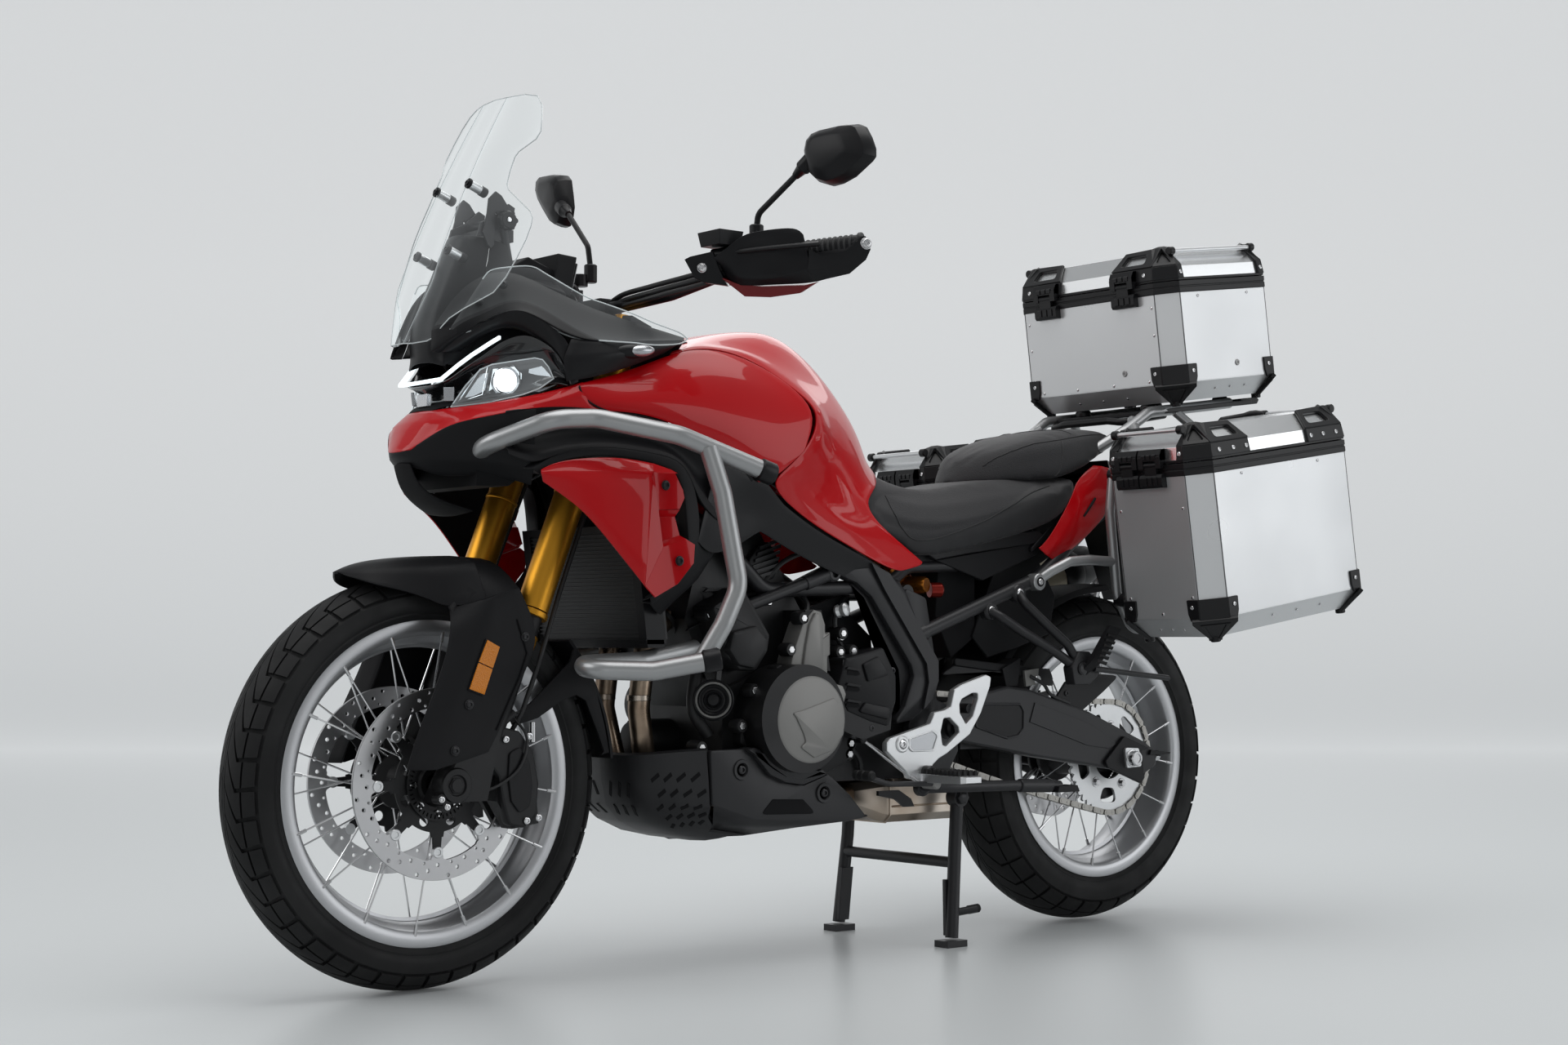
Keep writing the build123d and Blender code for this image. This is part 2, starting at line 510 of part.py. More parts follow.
# beak: x, half width, z top, z bottom
BEAK = [(-822, 42, 893, 846), (-796, 78, 906, 838), (-700, 146, 930, 850), (-650, 168, 944, 872)]
beak = rloft([[(x, -w, zt - 6), (x, -w * 0.7, zt), (x, w * 0.7, zt), (x, w, zt - 6), (x, w * 0.86, zb), (x, -w * 0.86, zb)]
              for x, w, zt, zb in BEAK])
wing = rloft([
    [(-650, -184, 946), (-650, -172, 946), (-650, -160, 876), (-650, -172, 876)],
    [(-612, -198, 950), (-612, -188, 950), (-612, -184, 930), (-612, -194, 930)],
])
put("front_beak", fuse(beak, wing, mir(wing)))

# headlamp and the black cowl around it
lamp = rloft([
    [(-806, -60, 932), (-806, 60, 932), (-806, 64, 962), (-806, -64, 962)],
    [(-770, -112, 938), (-770, 112, 938), (-770, 104, 990), (-770, -104, 990)],
    [(-690, -160, 950), (-690, 160, 950), (-690, 140, 1008), (-690, -140, 1008)],
    [(-640, -166, 952), (-640, 166, 952), (-640, 150, 1012), (-640, -150, 1012)],
])
put("headlight", lamp)
cowl = rloft([
    [(-792, -60, 993), (-792, 60, 993), (-780, 52, 1036), (-780, -52, 1036)],
    [(-700, -128, 1011), (-700, 128, 1011), (-690, 110, 1076), (-690, -110, 1076)],
    [(-640, -152, 1015), (-640, 152, 1015), (-620, 128, 1096), (-620, -128, 1096)],
    [(-560, -180, 1000), (-560, 180, 1000), (-556, 140, 1086), (-556, -140, 1086)],
])
side_w = rloft([
    [(-566, -204, 976), (-566, -160, 976), (-566, -160, 1066), (-566, -186, 1040)],
    [(-440, -218, 1010), (-440, -158, 1010), (-440, -158, 1074), (-440, -190, 1060)],
    [(-330, -190, 1050), (-330, -160, 1050), (-330, -160, 1072), (-330, -176, 1068)],
])
put("upper_fairing", fuse(cowl, side_w, mir(side_w)))

under = rloft([
    [(-640, -160, 872), (-640, -150, 872), (-640, -150, 944), (-640, -166, 944)],
    [(-480, -206, 850), (-480, -160, 850), (-480, -160, 925), (-480, -214, 925)],
    [(-330, -216, 812), (-330, -176, 812), (-330, -176, 850), (-330, -216, 850)],
])
put("inner_fairings", *both(under))

# windscreen: rows are z, half width, x at the middle, x at the edge
SCREEN = [(1031, 84, -796, -780), (1120, 128, -764, -726), (1218, 150, -722, -664), (1290, 122, -682, -652),
          (1380, 118, -640, -612), (1452, 86, -612, -598)]
ss = []
for z, w, xc, xe in SCREEN:
    xm = xc + (xe - xc) * 0.3
    ss.append([(xe, -w, z), (xm, -w * 0.55, z), (xc, 0, z), (xm, w * 0.55, z), (xe, w, z),
               (xe + 5, w, z), (xm + 5, w * 0.55, z), (xc + 5, 0, z), (xm + 5, -w * 0.55, z), (xe + 5, -w, z)])
screen = rloft(ss)
defl = flat_panel((-742, -122), (-372, -232), [(0, 1040), (16, 1056), (96, 1136), (130, 1146), (386, 1052), (386, 1046),
                                              (180, 1044)], -3)
put("windscreen", screen, *both(defl))

dash = fuse(prism([(-546, 1132), (-534, 1176), (-516, 1180), (-492, 1134)], -84, 84),
            prism([(-700, 1090), (-690, 1190), (-640, 1200), (-540, 1140), (-540, 1090)], -46, 46),
            *[tube([(-660, s * 50, 1180), (-642, s * 66, 1270)], 6) for s in (-1, 1)],
            box(-664, -640, -60, 60, 1176, 1190))
put("dash_display", dash)

SHROUD = [(-661, 820), (-628, 838), (-520, 842), (-420, 829), (-404, 780), (-420, 690), (-458, 616), (-560, 720)]
shroud = prism(SHROUD, -258, -230)
shroud = shroud.cut(prism([(-640, 815), (-420, 815), (-424, 690), (-458, 640), (-550, 725)], -250, -225))
fin = box(-500, -430, -232, -176, 770, 790)
put("radiator_shrouds", *both(fuse(shroud, fin)))

# crash bars
CB_R = 15.5
cb1 = tube([(-690, -160, 852), (-716, -196, 866), (-640, -226, 900), (-565, -236, 905), (-450, -300, 880),
            (-303, -330, 828)], CB_R, 40)
cb2 = tube([(-403, -314, 862), (-384, -326, 790), (-361, -340, 640), (-392, -340, 580), (-424, -330, 526)], CB_R, 45)
cb3 = tube([(-424, -344, 522), (-500, -300, 506), (-590, -250, 509), (-560, -190, 516), (-420, -150, 520),
            (-290, -128, 540)], CB_R, 40)
put("crash_bars", *both(fuse(cb1, cb2, cb3)))

# ---------------------------------------------------------------- seats and tail
RS = [  # x, top half width, z top, side half width, z side, z bottom
    (116, 60, 884, 112, 840, 812),
    (190, 92, 856, 140, 800, 722),
    (313, 116, 828, 150, 790, 712),
    (440, 126, 842, 152, 808, 742),
    (614, 132, 866, 146, 846, 780),
]
rs = []
for x, yt, zt, ys, zs, zb in RS:
    rs.append([(x, -yt * 0.6, zt), (x, -yt, zt - 6), (x, -ys, zs), (x, -ys + 8, zb), (x, ys - 8, zb), (x, ys, zs), (x, yt, zt - 6),
               (x, yt * 0.6, zt)])
rider_seat = rloft(rs)
PS = [
    (318, 96, 850, 122, 842, 838),
    (400, 108, 918, 134, 880, 850),
    (520, 112, 938, 140, 892, 862),
    (660, 108, 958, 138, 900, 872),
    (786, 88, 962, 118, 920, 890),
]
ps = []
for x, yt, zt, ys, zs, zb in PS:
    ps.append([(x, -yt * 0.6, zt), (x, -yt, zt - 6), (x, -ys, zs), (x, -ys + 10, zb), (x, ys - 10, zb), (x, ys, zs), (x, yt, zt - 6),
               (x, yt * 0.6, zt)])
pillion = rloft(ps)
rider_seat = rider_seat.cut(rloft([[(q[0], q[1] * 1.12, q[2] - 1.0) for q in s] for s in ps]))
rider_seat = rider_seat.solids().sort_by(SortBy.VOLUME)[-1]
# keep the seat off the tank
rider_seat = rider_seat.cut(tank)
rider_seat = rider_seat.solids().sort_by(SortBy.VOLUME)[-1]
put("rider_seat", rider_seat)
put("pillion_seat", pillion)

TAIL = [  # x, z top, z bottom, y outer, y inner
    (530, 740, 716, 148, 140),
    (620, 858, 722, 150, 140),
    (740, 892, 806, 138, 124),
    (800, 900, 850, 118, 100),
]
tl = rloft([[(x, -yo, zt), (x, -yi, zt), (x, -yi, zb), (x, -yo, zb)] for x, zt, zb, yo, yi in TAIL])
put("tail_panels", *both(tl))
tail_end = fuse(box(800, 838, -70, 70, 866, 900), prism([(812, 866), (836, 866), (930, 640), (912, 636)], -70, 70),
                cyl((880, -150, 772), (880, -68, 772), 8), cyl((880, 68, 772), (880, 150, 772), 8))
put("tail_light", tail_end)

# ---------------------------------------------------------------- cases
CASES = {
    # name: x and z of the band's lower front edge, y centre, half width, chamfer, length, depth to bevel, bevel, tilt
    "top_case": (796.8, 1232.3, 0.0, 214.5, 35.0, 326.7, 178.0, 36.0, 7.7),
    "left_case": (591.5, 853.4, -348.0, 124.5, 36.3, 456.0, 265.0, 38.0, 8.6),
    "right_case": (591.5, 853.4, 348.0, 124.5, 36.3, 456.0, 265.0, 38.0, 8.6),
}


def case_frame(c):
    x0, z0, yc, tilt = c[0], c[1], c[2], math.radians(c[8])
    return Plane(origin=(x0, yc, z0), x_dir=(math.cos(tilt), 0, math.sin(tilt)), z_dir=(-math.sin(tilt), 0, math.cos(tilt)))


def octo(pl, hw, ch, ln, w, inset):
    c = ch
    i = inset
    pts = [(i, -hw + c + i * 0.42), (c + i * 0.42, -hw + i), (ln - c - i * 0.42, -hw + i), (ln - i, -hw + c + i * 0.42),
           (ln - i, hw - c - i * 0.42), (ln - c - i * 0.42, hw - i), (c + i * 0.42, hw - i), (i, hw - c - i * 0.42)]
    return [tuple(pl.from_local_coords(Vector(u, v, w))) for u, v in pts]


BAND_H, LID_W0, LID_CREASE, LID_TOP = 22.0, 24.0, 52.0, 84.0
case_solids = {}
for name, c in CASES.items():
    x0, z0, yc, hw, chm, ln, dep, bev, tilt = c
    pl = case_frame(c)
    outer = rloft([octo(pl, hw, chm, ln, -dep - bev, bev), octo(pl, hw, chm, ln, -dep, 0), octo(pl, hw, chm, ln, BAND_H, 0)])
    t = CASE_T
    hollow = rloft([octo(pl, hw, chm, ln, -dep - bev + t, bev + t * 0.4), octo(pl, hw, chm, ln, -dep + t * 0.4, t),
                    octo(pl, hw, chm, ln, BAND_H + 5, t)])
    body = outer.cut(hollow)
    band = rloft([octo(pl, hw, chm, ln, 0, -2.0), octo(pl, hw, chm, ln, BAND_H, -2.0)]).cut(
        rloft([octo(pl, hw, chm, ln, -5, 1.0), octo(pl, hw, chm, ln, BAND_H + 5, 1.0)]))
    knuckle = []
    span = hw * 0.5 if name == "top_case" else 45.0
    for s in (-1, 1):
        a = pl.from_local_coords(Vector(-9, s * span - 16, BAND_H + 1))
        b = pl.from_local_coords(Vector(-9, s * span + 16, BAND_H + 1))
        lo = [pl.from_local_coords(Vector(u, s * span - 30, w)) for u, w in ((0.5, 6), (-14, 2), (-14, -18), (0.5, -18))]
        leaf = Solid.extrude(Face(Wire.make_polygon(lo, close=True)), Vector(0, 60, 0))
        knuckle.append(leaf)
        knuckle.append(cyl(a, b, 5.5))
        web = [pl.from_local_coords(Vector(u, s * span - 16, w)) for u, w in ((-13, 0), (-13, BAND_H), (-6, BAND_H), (-6, 0))]
        knuckle.append(Solid.extrude(Face(Wire.make_polygon(web, close=True)), Vector(0, 32, 0)))
    feet = []
    for u in (chm + 26, ln - chm - 26):
        for v in (-hw + 60, hw - 60):
            a = pl.from_local_coords(Vector(u, v, -dep - bev + 1))
            b = pl.from_local_coords(Vector(u, v, -dep - bev - 12))
            feet.append(cyl(a, b, 13))
    body = fuse(body, band, *knuckle, *(feet if name == "top_case" else []))
    put(name + "_body", body)
    lid_o = rloft([octo(pl, hw, chm, ln, LID_W0, 1.5), octo(pl, hw, chm, ln, LID_CREASE, 6), octo(pl, hw, chm, ln, LID_TOP, 36)])
    lid_i = rloft([octo(pl, hw, chm, ln, LID_W0 - 5, 1.5 + t), octo(pl, hw, chm, ln, LID_CREASE, 6 + t),
                   octo(pl, hw, chm, ln, LID_TOP - t, 36 + t * 0.6)])
    lid = lid_o.cut(lid_i)
    ears = []
    for s in (-1, 1):
        for e in (-1, 1):
            y0 = s * span + (16.6 if e > 0 else -30)
            q = [pl.from_local_coords(Vector(u, y0, w)) for u, w in ((2.5, LID_W0 + 2), (2.5, LID_W0 + 26), (-8, LID_W0 + 26), (-15, LID_W0 + 8), (-15, BAND_H - 5), (-6.6, BAND_H - 5), (-4, LID_W0 + 2))]
            ears.append(Solid.extrude(Face(Wire.make_polygon(q, close=True)), Vector(0, 13.4, 0)))
    # corner castings with a tie rod between them at each end
    cas = []
    for u_side in (0, 1):
        for v_side in (-1, 1):
            def lp(u, v, w):
                uu = u if u_side == 0 else ln - u
                return pl.from_local_coords(Vector(uu, v_side * v, w))
            foot = [lp(1.5, hw - chm - 22, LID_W0 + 3), lp(1.5, hw - chm, LID_W0 + 3), lp(chm, hw - 1.5, LID_W0 + 3), lp(chm + 50, hw - 1.5, LID_W0 + 3),
                    lp(chm + 50, hw - 10, LID_W0 + 3), lp(10, hw - chm - 22, LID_W0 + 3)]
            topf = [lp(6, hw - chm - 22, LID_TOP + 5), lp(6, hw - chm - 6, LID_TOP + 5), lp(chm, hw - 30, LID_TOP + 5), lp(chm + 44, hw - 38, LID_TOP + 5),
                    lp(chm + 44, hw - 50, LID_TOP + 5), lp(22, hw - chm - 30, LID_TOP + 5)]
            casting = rloft([[tuple(p) for p in foot], [tuple(p) for p in topf]]).cut(lid_i)
            cas.append(casting.solids().sort_by(SortBy.VOLUME)[-1])
    rods = []
    if name == "top_case":                       # along its two short ends
        ends = [((chm + 14, v), (ln - chm - 14, v)) for v in (-hw + 18, hw - 18)]
    else:
        ends = [((u, -hw + chm + 14), (u, hw - chm - 14)) for u in (8, ln - 8)]
    for (ua, va), (ub, vb) in ends:
        rods.append(cyl(pl.from_local_coords(Vector(ua, va, LID_TOP + 2)), pl.from_local_coords(Vector(ub, vb, LID_TOP + 2)), 5))
    lid = fuse(lid, *ears, *cas, *rods)
    put(name + "_lid", lid)

# ---------------------------------------------------------------- racks
TC = case_frame(CASES["top_case"])
wb = -178 - 36 - 12.5


def tc(u, v, w):
    return tuple(TC.from_local_coords(Vector(u, v, w)))


rack_plate_pts = [tc(6, 0, wb), tc(330, 0, wb), tc(330, 0, wb - 8), tc(6, 0, wb - 8)]
rack_plate = prism([(p[0], p[2]) for p in rack_plate_pts], -150, 150)
rail = tube([(640, -156, 918), (760, -158, 970), (tc(70, 0, wb - 6)[0], -140, tc(70, 0, wb - 12)[2]),
             (tc(300, 0, wb)[0], -120, tc(300, 0, wb - 12)[2])], 11, 60)
rail_in = tube([(640, -156, 918), (662, -146, 880), (690, -112, 828)], 10, 25)
pr = tube([(760, -128, 968), (730, -188, 930), (650, -190, 880), (652, -190, 800), (672, -190, 620), (730, -190, 570),
           (1000, -190, 612), (1024, -190, 680), (980, -190, 930), (900, -140, 1004)], 9, 32)
stay_p = tube([(530, -140, 700), (600, -172, 702), (663, -190, 703)], 9, 40)
put("luggage_racks", fuse(rack_plate, rail, mir(rail), rail_in, mir(rail_in), pr, mir(pr), stay_p, mir(stay_p)))

# ---------------------------------------------------------------- trimming and writing
# each row: the first piece is cut back where the second one stands
TRIM = [
    ("exhaust", "engine"), ("skid_plate", "engine"), ("skid_plate", "exhaust"), ("footpegs", "engine"),
    ("footpegs", "main_frame"), ("footpegs", "tail_panels"), ("footpegs", "luggage_racks"), ("front_calipers", "fork_legs"),
    ("fuel_tank", "main_frame"), ("mirrors", "handlebar"), ("inner_fairings", "tank_side_covers"),
    ("luggage_racks", "main_frame"), ("luggage_racks", "pillion_seat"), ("rider_seat", "main_frame"),
    ("tail_light", "main_frame"), ("tail_panels", "main_frame"), ("tail_panels", "pillion_seat"),
    ("tail_panels", "rider_seat"), ("luggage_racks", "tail_panels"), ("rear_hugger", "swingarm"),
    ("upper_fairing", "tank_side_covers"), ("upper_fairing", "dash_display"), ("upper_fairing", "windscreen"),
    ("upper_fairing", "headlight"), ("dash_display", "windscreen"), ("front_beak", "inner_fairings"),
    ("handguards", "handlebar"), ("radiator_shrouds", "radiator"), ("rear_shock", "main_frame"),
    ("rear_shock", "swingarm"), ("engine", "main_frame"), ("crash_bars", "engine"),
]
for a, b in TRIM:
    kept = []
    for q in PARTS[a]:
        near = [t for t in PARTS[b] if q.bounding_box().min.X < t.bounding_box().max.X
                and t.bounding_box().min.X < q.bounding_box().max.X]
        if near:
            r = q.cut(*near)
            parts_r = list(r) if isinstance(r, ShapeList) else [r]
            for c in parts_r:
                kept += [d for d in c.solids() if d.volume > 400]
        else:
            kept.append(q)
    PARTS[a] = kept
for name, sol in PARTS.items():
    flat = [Pos(SHIFT_X, 0, 0) * q for q in sol]
    shape = flat[0] if len(flat) == 1 else Compound(flat)
    shape.label = name
    export_step(shape, "parts/" + name + ".step")
print(len(PARTS), "nodes")
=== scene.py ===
import bpy, bmesh, json, math, random
from mathutils import Vector, Matrix, Quaternion

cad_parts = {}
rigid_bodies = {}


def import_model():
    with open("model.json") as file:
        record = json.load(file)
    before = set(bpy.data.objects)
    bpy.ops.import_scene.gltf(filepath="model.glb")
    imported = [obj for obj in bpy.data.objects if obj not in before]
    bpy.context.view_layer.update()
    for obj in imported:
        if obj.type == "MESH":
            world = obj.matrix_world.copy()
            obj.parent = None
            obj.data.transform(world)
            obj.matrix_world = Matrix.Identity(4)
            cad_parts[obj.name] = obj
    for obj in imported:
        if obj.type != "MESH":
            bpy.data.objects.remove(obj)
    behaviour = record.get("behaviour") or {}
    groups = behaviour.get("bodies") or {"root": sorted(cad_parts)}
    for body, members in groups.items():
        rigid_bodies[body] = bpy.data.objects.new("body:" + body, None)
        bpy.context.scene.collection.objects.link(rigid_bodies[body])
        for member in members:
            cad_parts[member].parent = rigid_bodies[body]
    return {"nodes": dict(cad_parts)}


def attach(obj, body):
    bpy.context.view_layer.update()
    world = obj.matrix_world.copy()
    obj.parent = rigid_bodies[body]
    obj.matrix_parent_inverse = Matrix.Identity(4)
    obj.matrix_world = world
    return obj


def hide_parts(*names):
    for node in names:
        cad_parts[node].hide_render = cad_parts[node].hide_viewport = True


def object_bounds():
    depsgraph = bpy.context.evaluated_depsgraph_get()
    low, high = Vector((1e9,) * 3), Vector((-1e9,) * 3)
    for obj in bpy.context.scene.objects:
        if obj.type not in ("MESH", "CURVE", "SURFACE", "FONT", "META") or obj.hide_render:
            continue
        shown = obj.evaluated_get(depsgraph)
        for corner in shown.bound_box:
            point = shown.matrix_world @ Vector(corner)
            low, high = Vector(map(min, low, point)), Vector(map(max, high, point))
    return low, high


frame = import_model()
LO0, HI0 = [list(v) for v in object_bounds()]
random.seed(7)
SH = -36.4                       # the drawing's X is from the middle of the wheelbase, in millimetres
XF, XR, ZF, ZR = -753.0, 753.0, 329.0, 324.0
RAKE = math.radians(21.5)
AX = Vector((math.sin(RAKE), 0, math.cos(RAKE)))


def W(p):
    return ((p[0] + SH) * 0.001, p[1] * 0.001, p[2] * 0.001)


# ---------------------------------------------------------------- materials
def new_mat(name, color=(0.8, 0.8, 0.8), rough=0.5, metal=0.0, coat=0.0, coat_rough=0.03, spec=0.5, trans=0.0, ior=1.45,
            emis=None, emis_str=0.0, alpha=1.0, sheen=0.0, aniso=0.0):
    m = bpy.data.materials.new(name)
    m.use_nodes = True
    b = m.node_tree.nodes["Principled BSDF"]
    b.inputs["Base Color"].default_value = (*color, 1)
    b.inputs["Roughness"].default_value = rough
    b.inputs["Metallic"].default_value = metal
    b.inputs["Coat Weight"].default_value = coat
    b.inputs["Coat Roughness"].default_value = coat_rough
    b.inputs["Specular IOR Level"].default_value = spec
    b.inputs["Transmission Weight"].default_value = trans
    b.inputs["IOR"].default_value = ior
    b.inputs["Alpha"].default_value = alpha
    b.inputs["Sheen Weight"].default_value = sheen
    b.inputs["Anisotropic"].default_value = aniso
    if emis:
        b.inputs["Emission Color"].default_value = (*emis, 1)
        b.inputs["Emission Strength"].default_value = emis_str
    m.diffuse_color = (*color, 1)
    return m


def nodes_of(m):
    return m.node_tree.nodes, m.node_tree.links, m.node_tree.nodes["Principled BSDF"]


def coords(m, scale=(1, 1, 1), rot=(0, 0, 0)):
    n, l, b = nodes_of(m)
    tc = n.new("ShaderNodeTexCoord")
    mp = n.new("ShaderNodeMapping")
    mp.inputs["Scale"].default_value = scale
    mp.inputs["Rotation"].default_value = rot
    l.new(tc.outputs["Object"], mp.inputs["Vector"])
    return mp.outputs["Vector"]


def add_bump(m, scale=900.0, strength=0.15, dist=0.0004, detail=2.0, stretch=(1, 1, 1), kind="noise", rot=(0, 0, 0)):
    n, l, b = nodes_of(m)
    v = coords(m, stretch, rot)
    if kind == "noise":
        t = n.new("ShaderNodeTexNoise"); t.inputs["Scale"].default_value = scale; t.inputs["Detail"].default_value = detail
        out = t.outputs["Fac"]
    elif kind == "voronoi":
        t = n.new("ShaderNodeTexVoronoi"); t.inputs["Scale"].default_value = scale
        out = t.outputs["Distance"]
    else:
        t = n.new("ShaderNodeTexWave"); t.inputs["Scale"].default_value = scale
        out = t.outputs["Fac"]
    l.new(v, t.inputs["Vector"])
    bp = n.new("ShaderNodeBump"); bp.inputs["Strength"].default_value = strength; bp.inputs["Distance"].default_value = dist
    l.new(out, bp.inputs["Height"])
    old = b.inputs["Normal"].links
    if old:
        l.new(old[0].from_socket, bp.inputs["Normal"])
    l.new(bp.outputs["Normal"], b.inputs["Normal"])
    return m


def vary_rough(m, lo, hi, scale=8.0, stretch=(1, 1, 1), detail=3.0):
    n, l, b = nodes_of(m)
    t = n.new("ShaderNodeTexNoise"); t.inputs["Scale"].default_value = scale; t.inputs["Detail"].default_value = detail
    l.new(coords(m, stretch), t.inputs["Vector"])
    r = n.new("ShaderNodeMapRange")
    r.inputs["To Min"].default_value = lo; r.inputs["To Max"].default_value = hi
    r.inputs["From Min"].default_value = 0.3; r.inputs["From Max"].default_value = 0.7
    l.new(t.outputs["Fac"], r.inputs["Value"])
    l.new(r.outputs["Result"], b.inputs["Roughness"])
    return m


def vary_color(m, c0, c1, scale=6.0, stretch=(1, 1, 1), detail=3.0, lo=0.35, hi=0.65):
    n, l, b = nodes_of(m)
    t = n.new("ShaderNodeTexNoise"); t.inputs["Scale"].default_value = scale; t.inputs["Detail"].default_value = detail
    l.new(coords(m, stretch), t.inputs["Vector"])
    r = n.new("ShaderNodeValToRGB")
    r.color_ramp.elements[0].position = lo; r.color_ramp.elements[0].color = (*c0, 1)
    r.color_ramp.elements[1].position = hi; r.color_ramp.elements[1].color = (*c1, 1)
    l.new(t.outputs["Fac"], r.inputs["Fac"])
    l.new(r.outputs["Color"], b.inputs["Base Color"])
    return m


M = {}
M["red"] = new_mat("red_gloss", (0.45, 0.0012, 0.0042), 0.34, 0.0, 0.6, 0.03, 0.12)
M["red"].node_tree.nodes["Principled BSDF"].inputs["Coat IOR"].default_value = 1.4
# painted shade: a darker copy of the red, used on the hand guards' underside
M["red_painted_shade"] = new_mat("red_underside_painted_shade", (0.16, 0.002, 0.004), 0.45)
M["plastic"] = add_bump(new_mat("plastic_textured", (0.0085, 0.0085, 0.0097), 0.5, spec=0.2), 2600, 0.22, 0.0003)
M["plastic_s"] = add_bump(new_mat("plastic_satin", (0.0085, 0.0085, 0.0097), 0.36, spec=0.24), 2200, 0.05, 0.0002)
M["gloss_black"] = new_mat("black_gloss", (0.008, 0.008, 0.009), 0.12, coat=0.6)
# deep black: used for some black parts, and as painted shade in openings, slots, recesses and gaps
M["dark"] = new_mat("deep_black", (0.006, 0.006, 0.007), 0.75, spec=0.2)
M["frame_black"] = add_bump(new_mat("frame_powder", (0.018, 0.018, 0.020), 0.42, 0.2), 1500, 0.1, 0.0002)
M["engine"] = vary_rough(add_bump(new_mat("engine_black", (0.013, 0.013, 0.014), 0.45, 0.35), 1800, 0.18, 0.0003), 0.36, 0.52, 12)
M["engine_grey"] = add_bump(new_mat("engine_grey", (0.21, 0.207, 0.20), 0.45, 0.45), 1500, 0.16, 0.0003)
M["rubber"] = vary_color(vary_rough(add_bump(new_mat("tyre_rubber", (0.012, 0.012, 0.013), 0.62, spec=0.24), 700, 0.25, 0.0004), 0.5, 0.72, 22),
                         (0.011, 0.011, 0.0115), (0.018, 0.018, 0.0185), 7)
M["hose"] = new_mat("hose_rubber", (0.015, 0.015, 0.016), 0.5)
M["rim"] = new_mat("rim_silver", (0.47, 0.475, 0.49), 0.36, 0.9)
M["spoke"] = new_mat("spoke_steel", (0.80, 0.80, 0.81), 0.22, 1.0)
M["disc"] = add_bump(new_mat("disc_steel", (0.50, 0.50, 0.51), 0.34, 1.0), 500, 0.03, 0.0001)
M["silver"] = vary_rough(add_bump(new_mat("cast_silver", (0.66, 0.67, 0.68), 0.34, 0.85), 1200, 0.08, 0.0002), 0.28, 0.4, 25)
M["bar"] = add_bump(new_mat("bar_silver", (0.36, 0.365, 0.37), 0.36, 0.75), 1600, 0.10, 0.0002)
M["chrome"] = new_mat("chrome", (0.86, 0.86, 0.87), 0.10, 1.0)
M["bolt"] = new_mat("bolt_steel", (0.62, 0.62, 0.63), 0.25, 1.0)
M["bolt_black"] = new_mat("bolt_black", (0.03, 0.03, 0.032), 0.32, 0.6)
M["gold"] = new_mat("fork_gold", (0.66, 0.31, 0.028), 0.36, 0.9)
M["bronze"] = vary_color(vary_rough(new_mat("header_steel", (0.30, 0.21, 0.14), 0.3, 1.0), 0.24, 0.42, 16), (0.20, 0.14, 0.10), (0.42, 0.33, 0.25), 9, (1, 1, 2))
M["cat"] = vary_color(vary_rough(new_mat("silencer_steel", (0.45, 0.38, 0.31), 0.32, 1.0), 0.26, 0.42, 12), (0.36, 0.29, 0.23), (0.58, 0.52, 0.46), 7)
M["beige"] = new_mat("muffler_beige", (0.46, 0.41, 0.31), 0.4, 0.3)
M["alu"] = vary_rough(add_bump(new_mat("case_alu", (0.62, 0.63, 0.64), 0.36, 0.62), 300, 0.05, 0.0002, 2, (1, 1, 14)), 0.26, 0.36, 5)
M["alu_lid"] = add_bump(new_mat("lid_alu", (0.80, 0.81, 0.82), 0.24, 0.95), 300, 0.05, 0.0002, 2, (1, 14, 14))
M["alu_edge"] = new_mat("alu_edge", (0.75, 0.76, 0.77), 0.22, 0.95)
# painted shade: a darker copy of the case aluminium for the inner walls of shells and lids
M["case_in"] = new_mat("case_inside_painted_shade", (0.45, 0.455, 0.46), 0.45, 0.7)
M["case_seam"] = new_mat("case_seam", (0.10, 0.10, 0.105), 0.5, 0.3)
M["lock_grey"] = new_mat("lock_grey", (0.30, 0.30, 0.30), 0.4, 0.5)
M["corner"] = add_bump(new_mat("corner_black", (0.009, 0.009, 0.010), 0.34, spec=0.3), 1800, 0.10, 0.0003)
M["vinyl"] = vary_rough(add_bump(new_mat("seat_side", (0.013, 0.013, 0.0145), 0.5, spec=0.35, sheen=0.1), 1500, 0.25, 0.0004), 0.46, 0.58, 25)
M["vinyl_top"] = add_bump(add_bump(new_mat("seat_top", (0.020, 0.020, 0.022), 0.66, spec=0.3, sheen=0.10), 420, 0.5, 0.0009, kind="voronoi"), 2500, 0.2, 0.0003)
M["clear"] = new_mat("screen_clear", (0.96, 0.98, 0.98), 0.02, 0.0, trans=1.0, ior=1.03, spec=0.5)
M["amber"] = add_bump(new_mat("reflector_amber", (0.60, 0.19, 0.008), 0.25, 0, 0.2, spec=0.25), 420, 0.6, 0.0008, kind="voronoi")
M["lamp_white"] = new_mat("lamp_reflector", (0.85, 0.86, 0.88), 0.12, 1.0)
M["lamp_grey"] = new_mat("lamp_satin", (0.50, 0.51, 0.53), 0.25, 0.8)
M["glow"] = new_mat("led_white", (1, 1, 1), 0.2, emis=(0.95, 0.98, 1.0), emis_str=2.2)
M["glow_drl"] = new_mat("led_strip", (1, 1, 1), 0.2, emis=(0.80, 0.95, 1.0), emis_str=1.25)
M["glow_low"] = new_mat("led_soft", (0.9, 0.93, 0.95), 0.2, emis=(0.9, 0.97, 1.0), emis_str=0.75)
M["fins"] = new_mat("radiator_core", (0.010, 0.010, 0.011), 0.5)
M["red_lens"] = new_mat("tail_red", (0.35, 0.004, 0.006), 0.12, coat=0.8)
M["oil_amber"] = new_mat("shock_amber", (0.30, 0.10, 0.01), 0.25, 0.8)
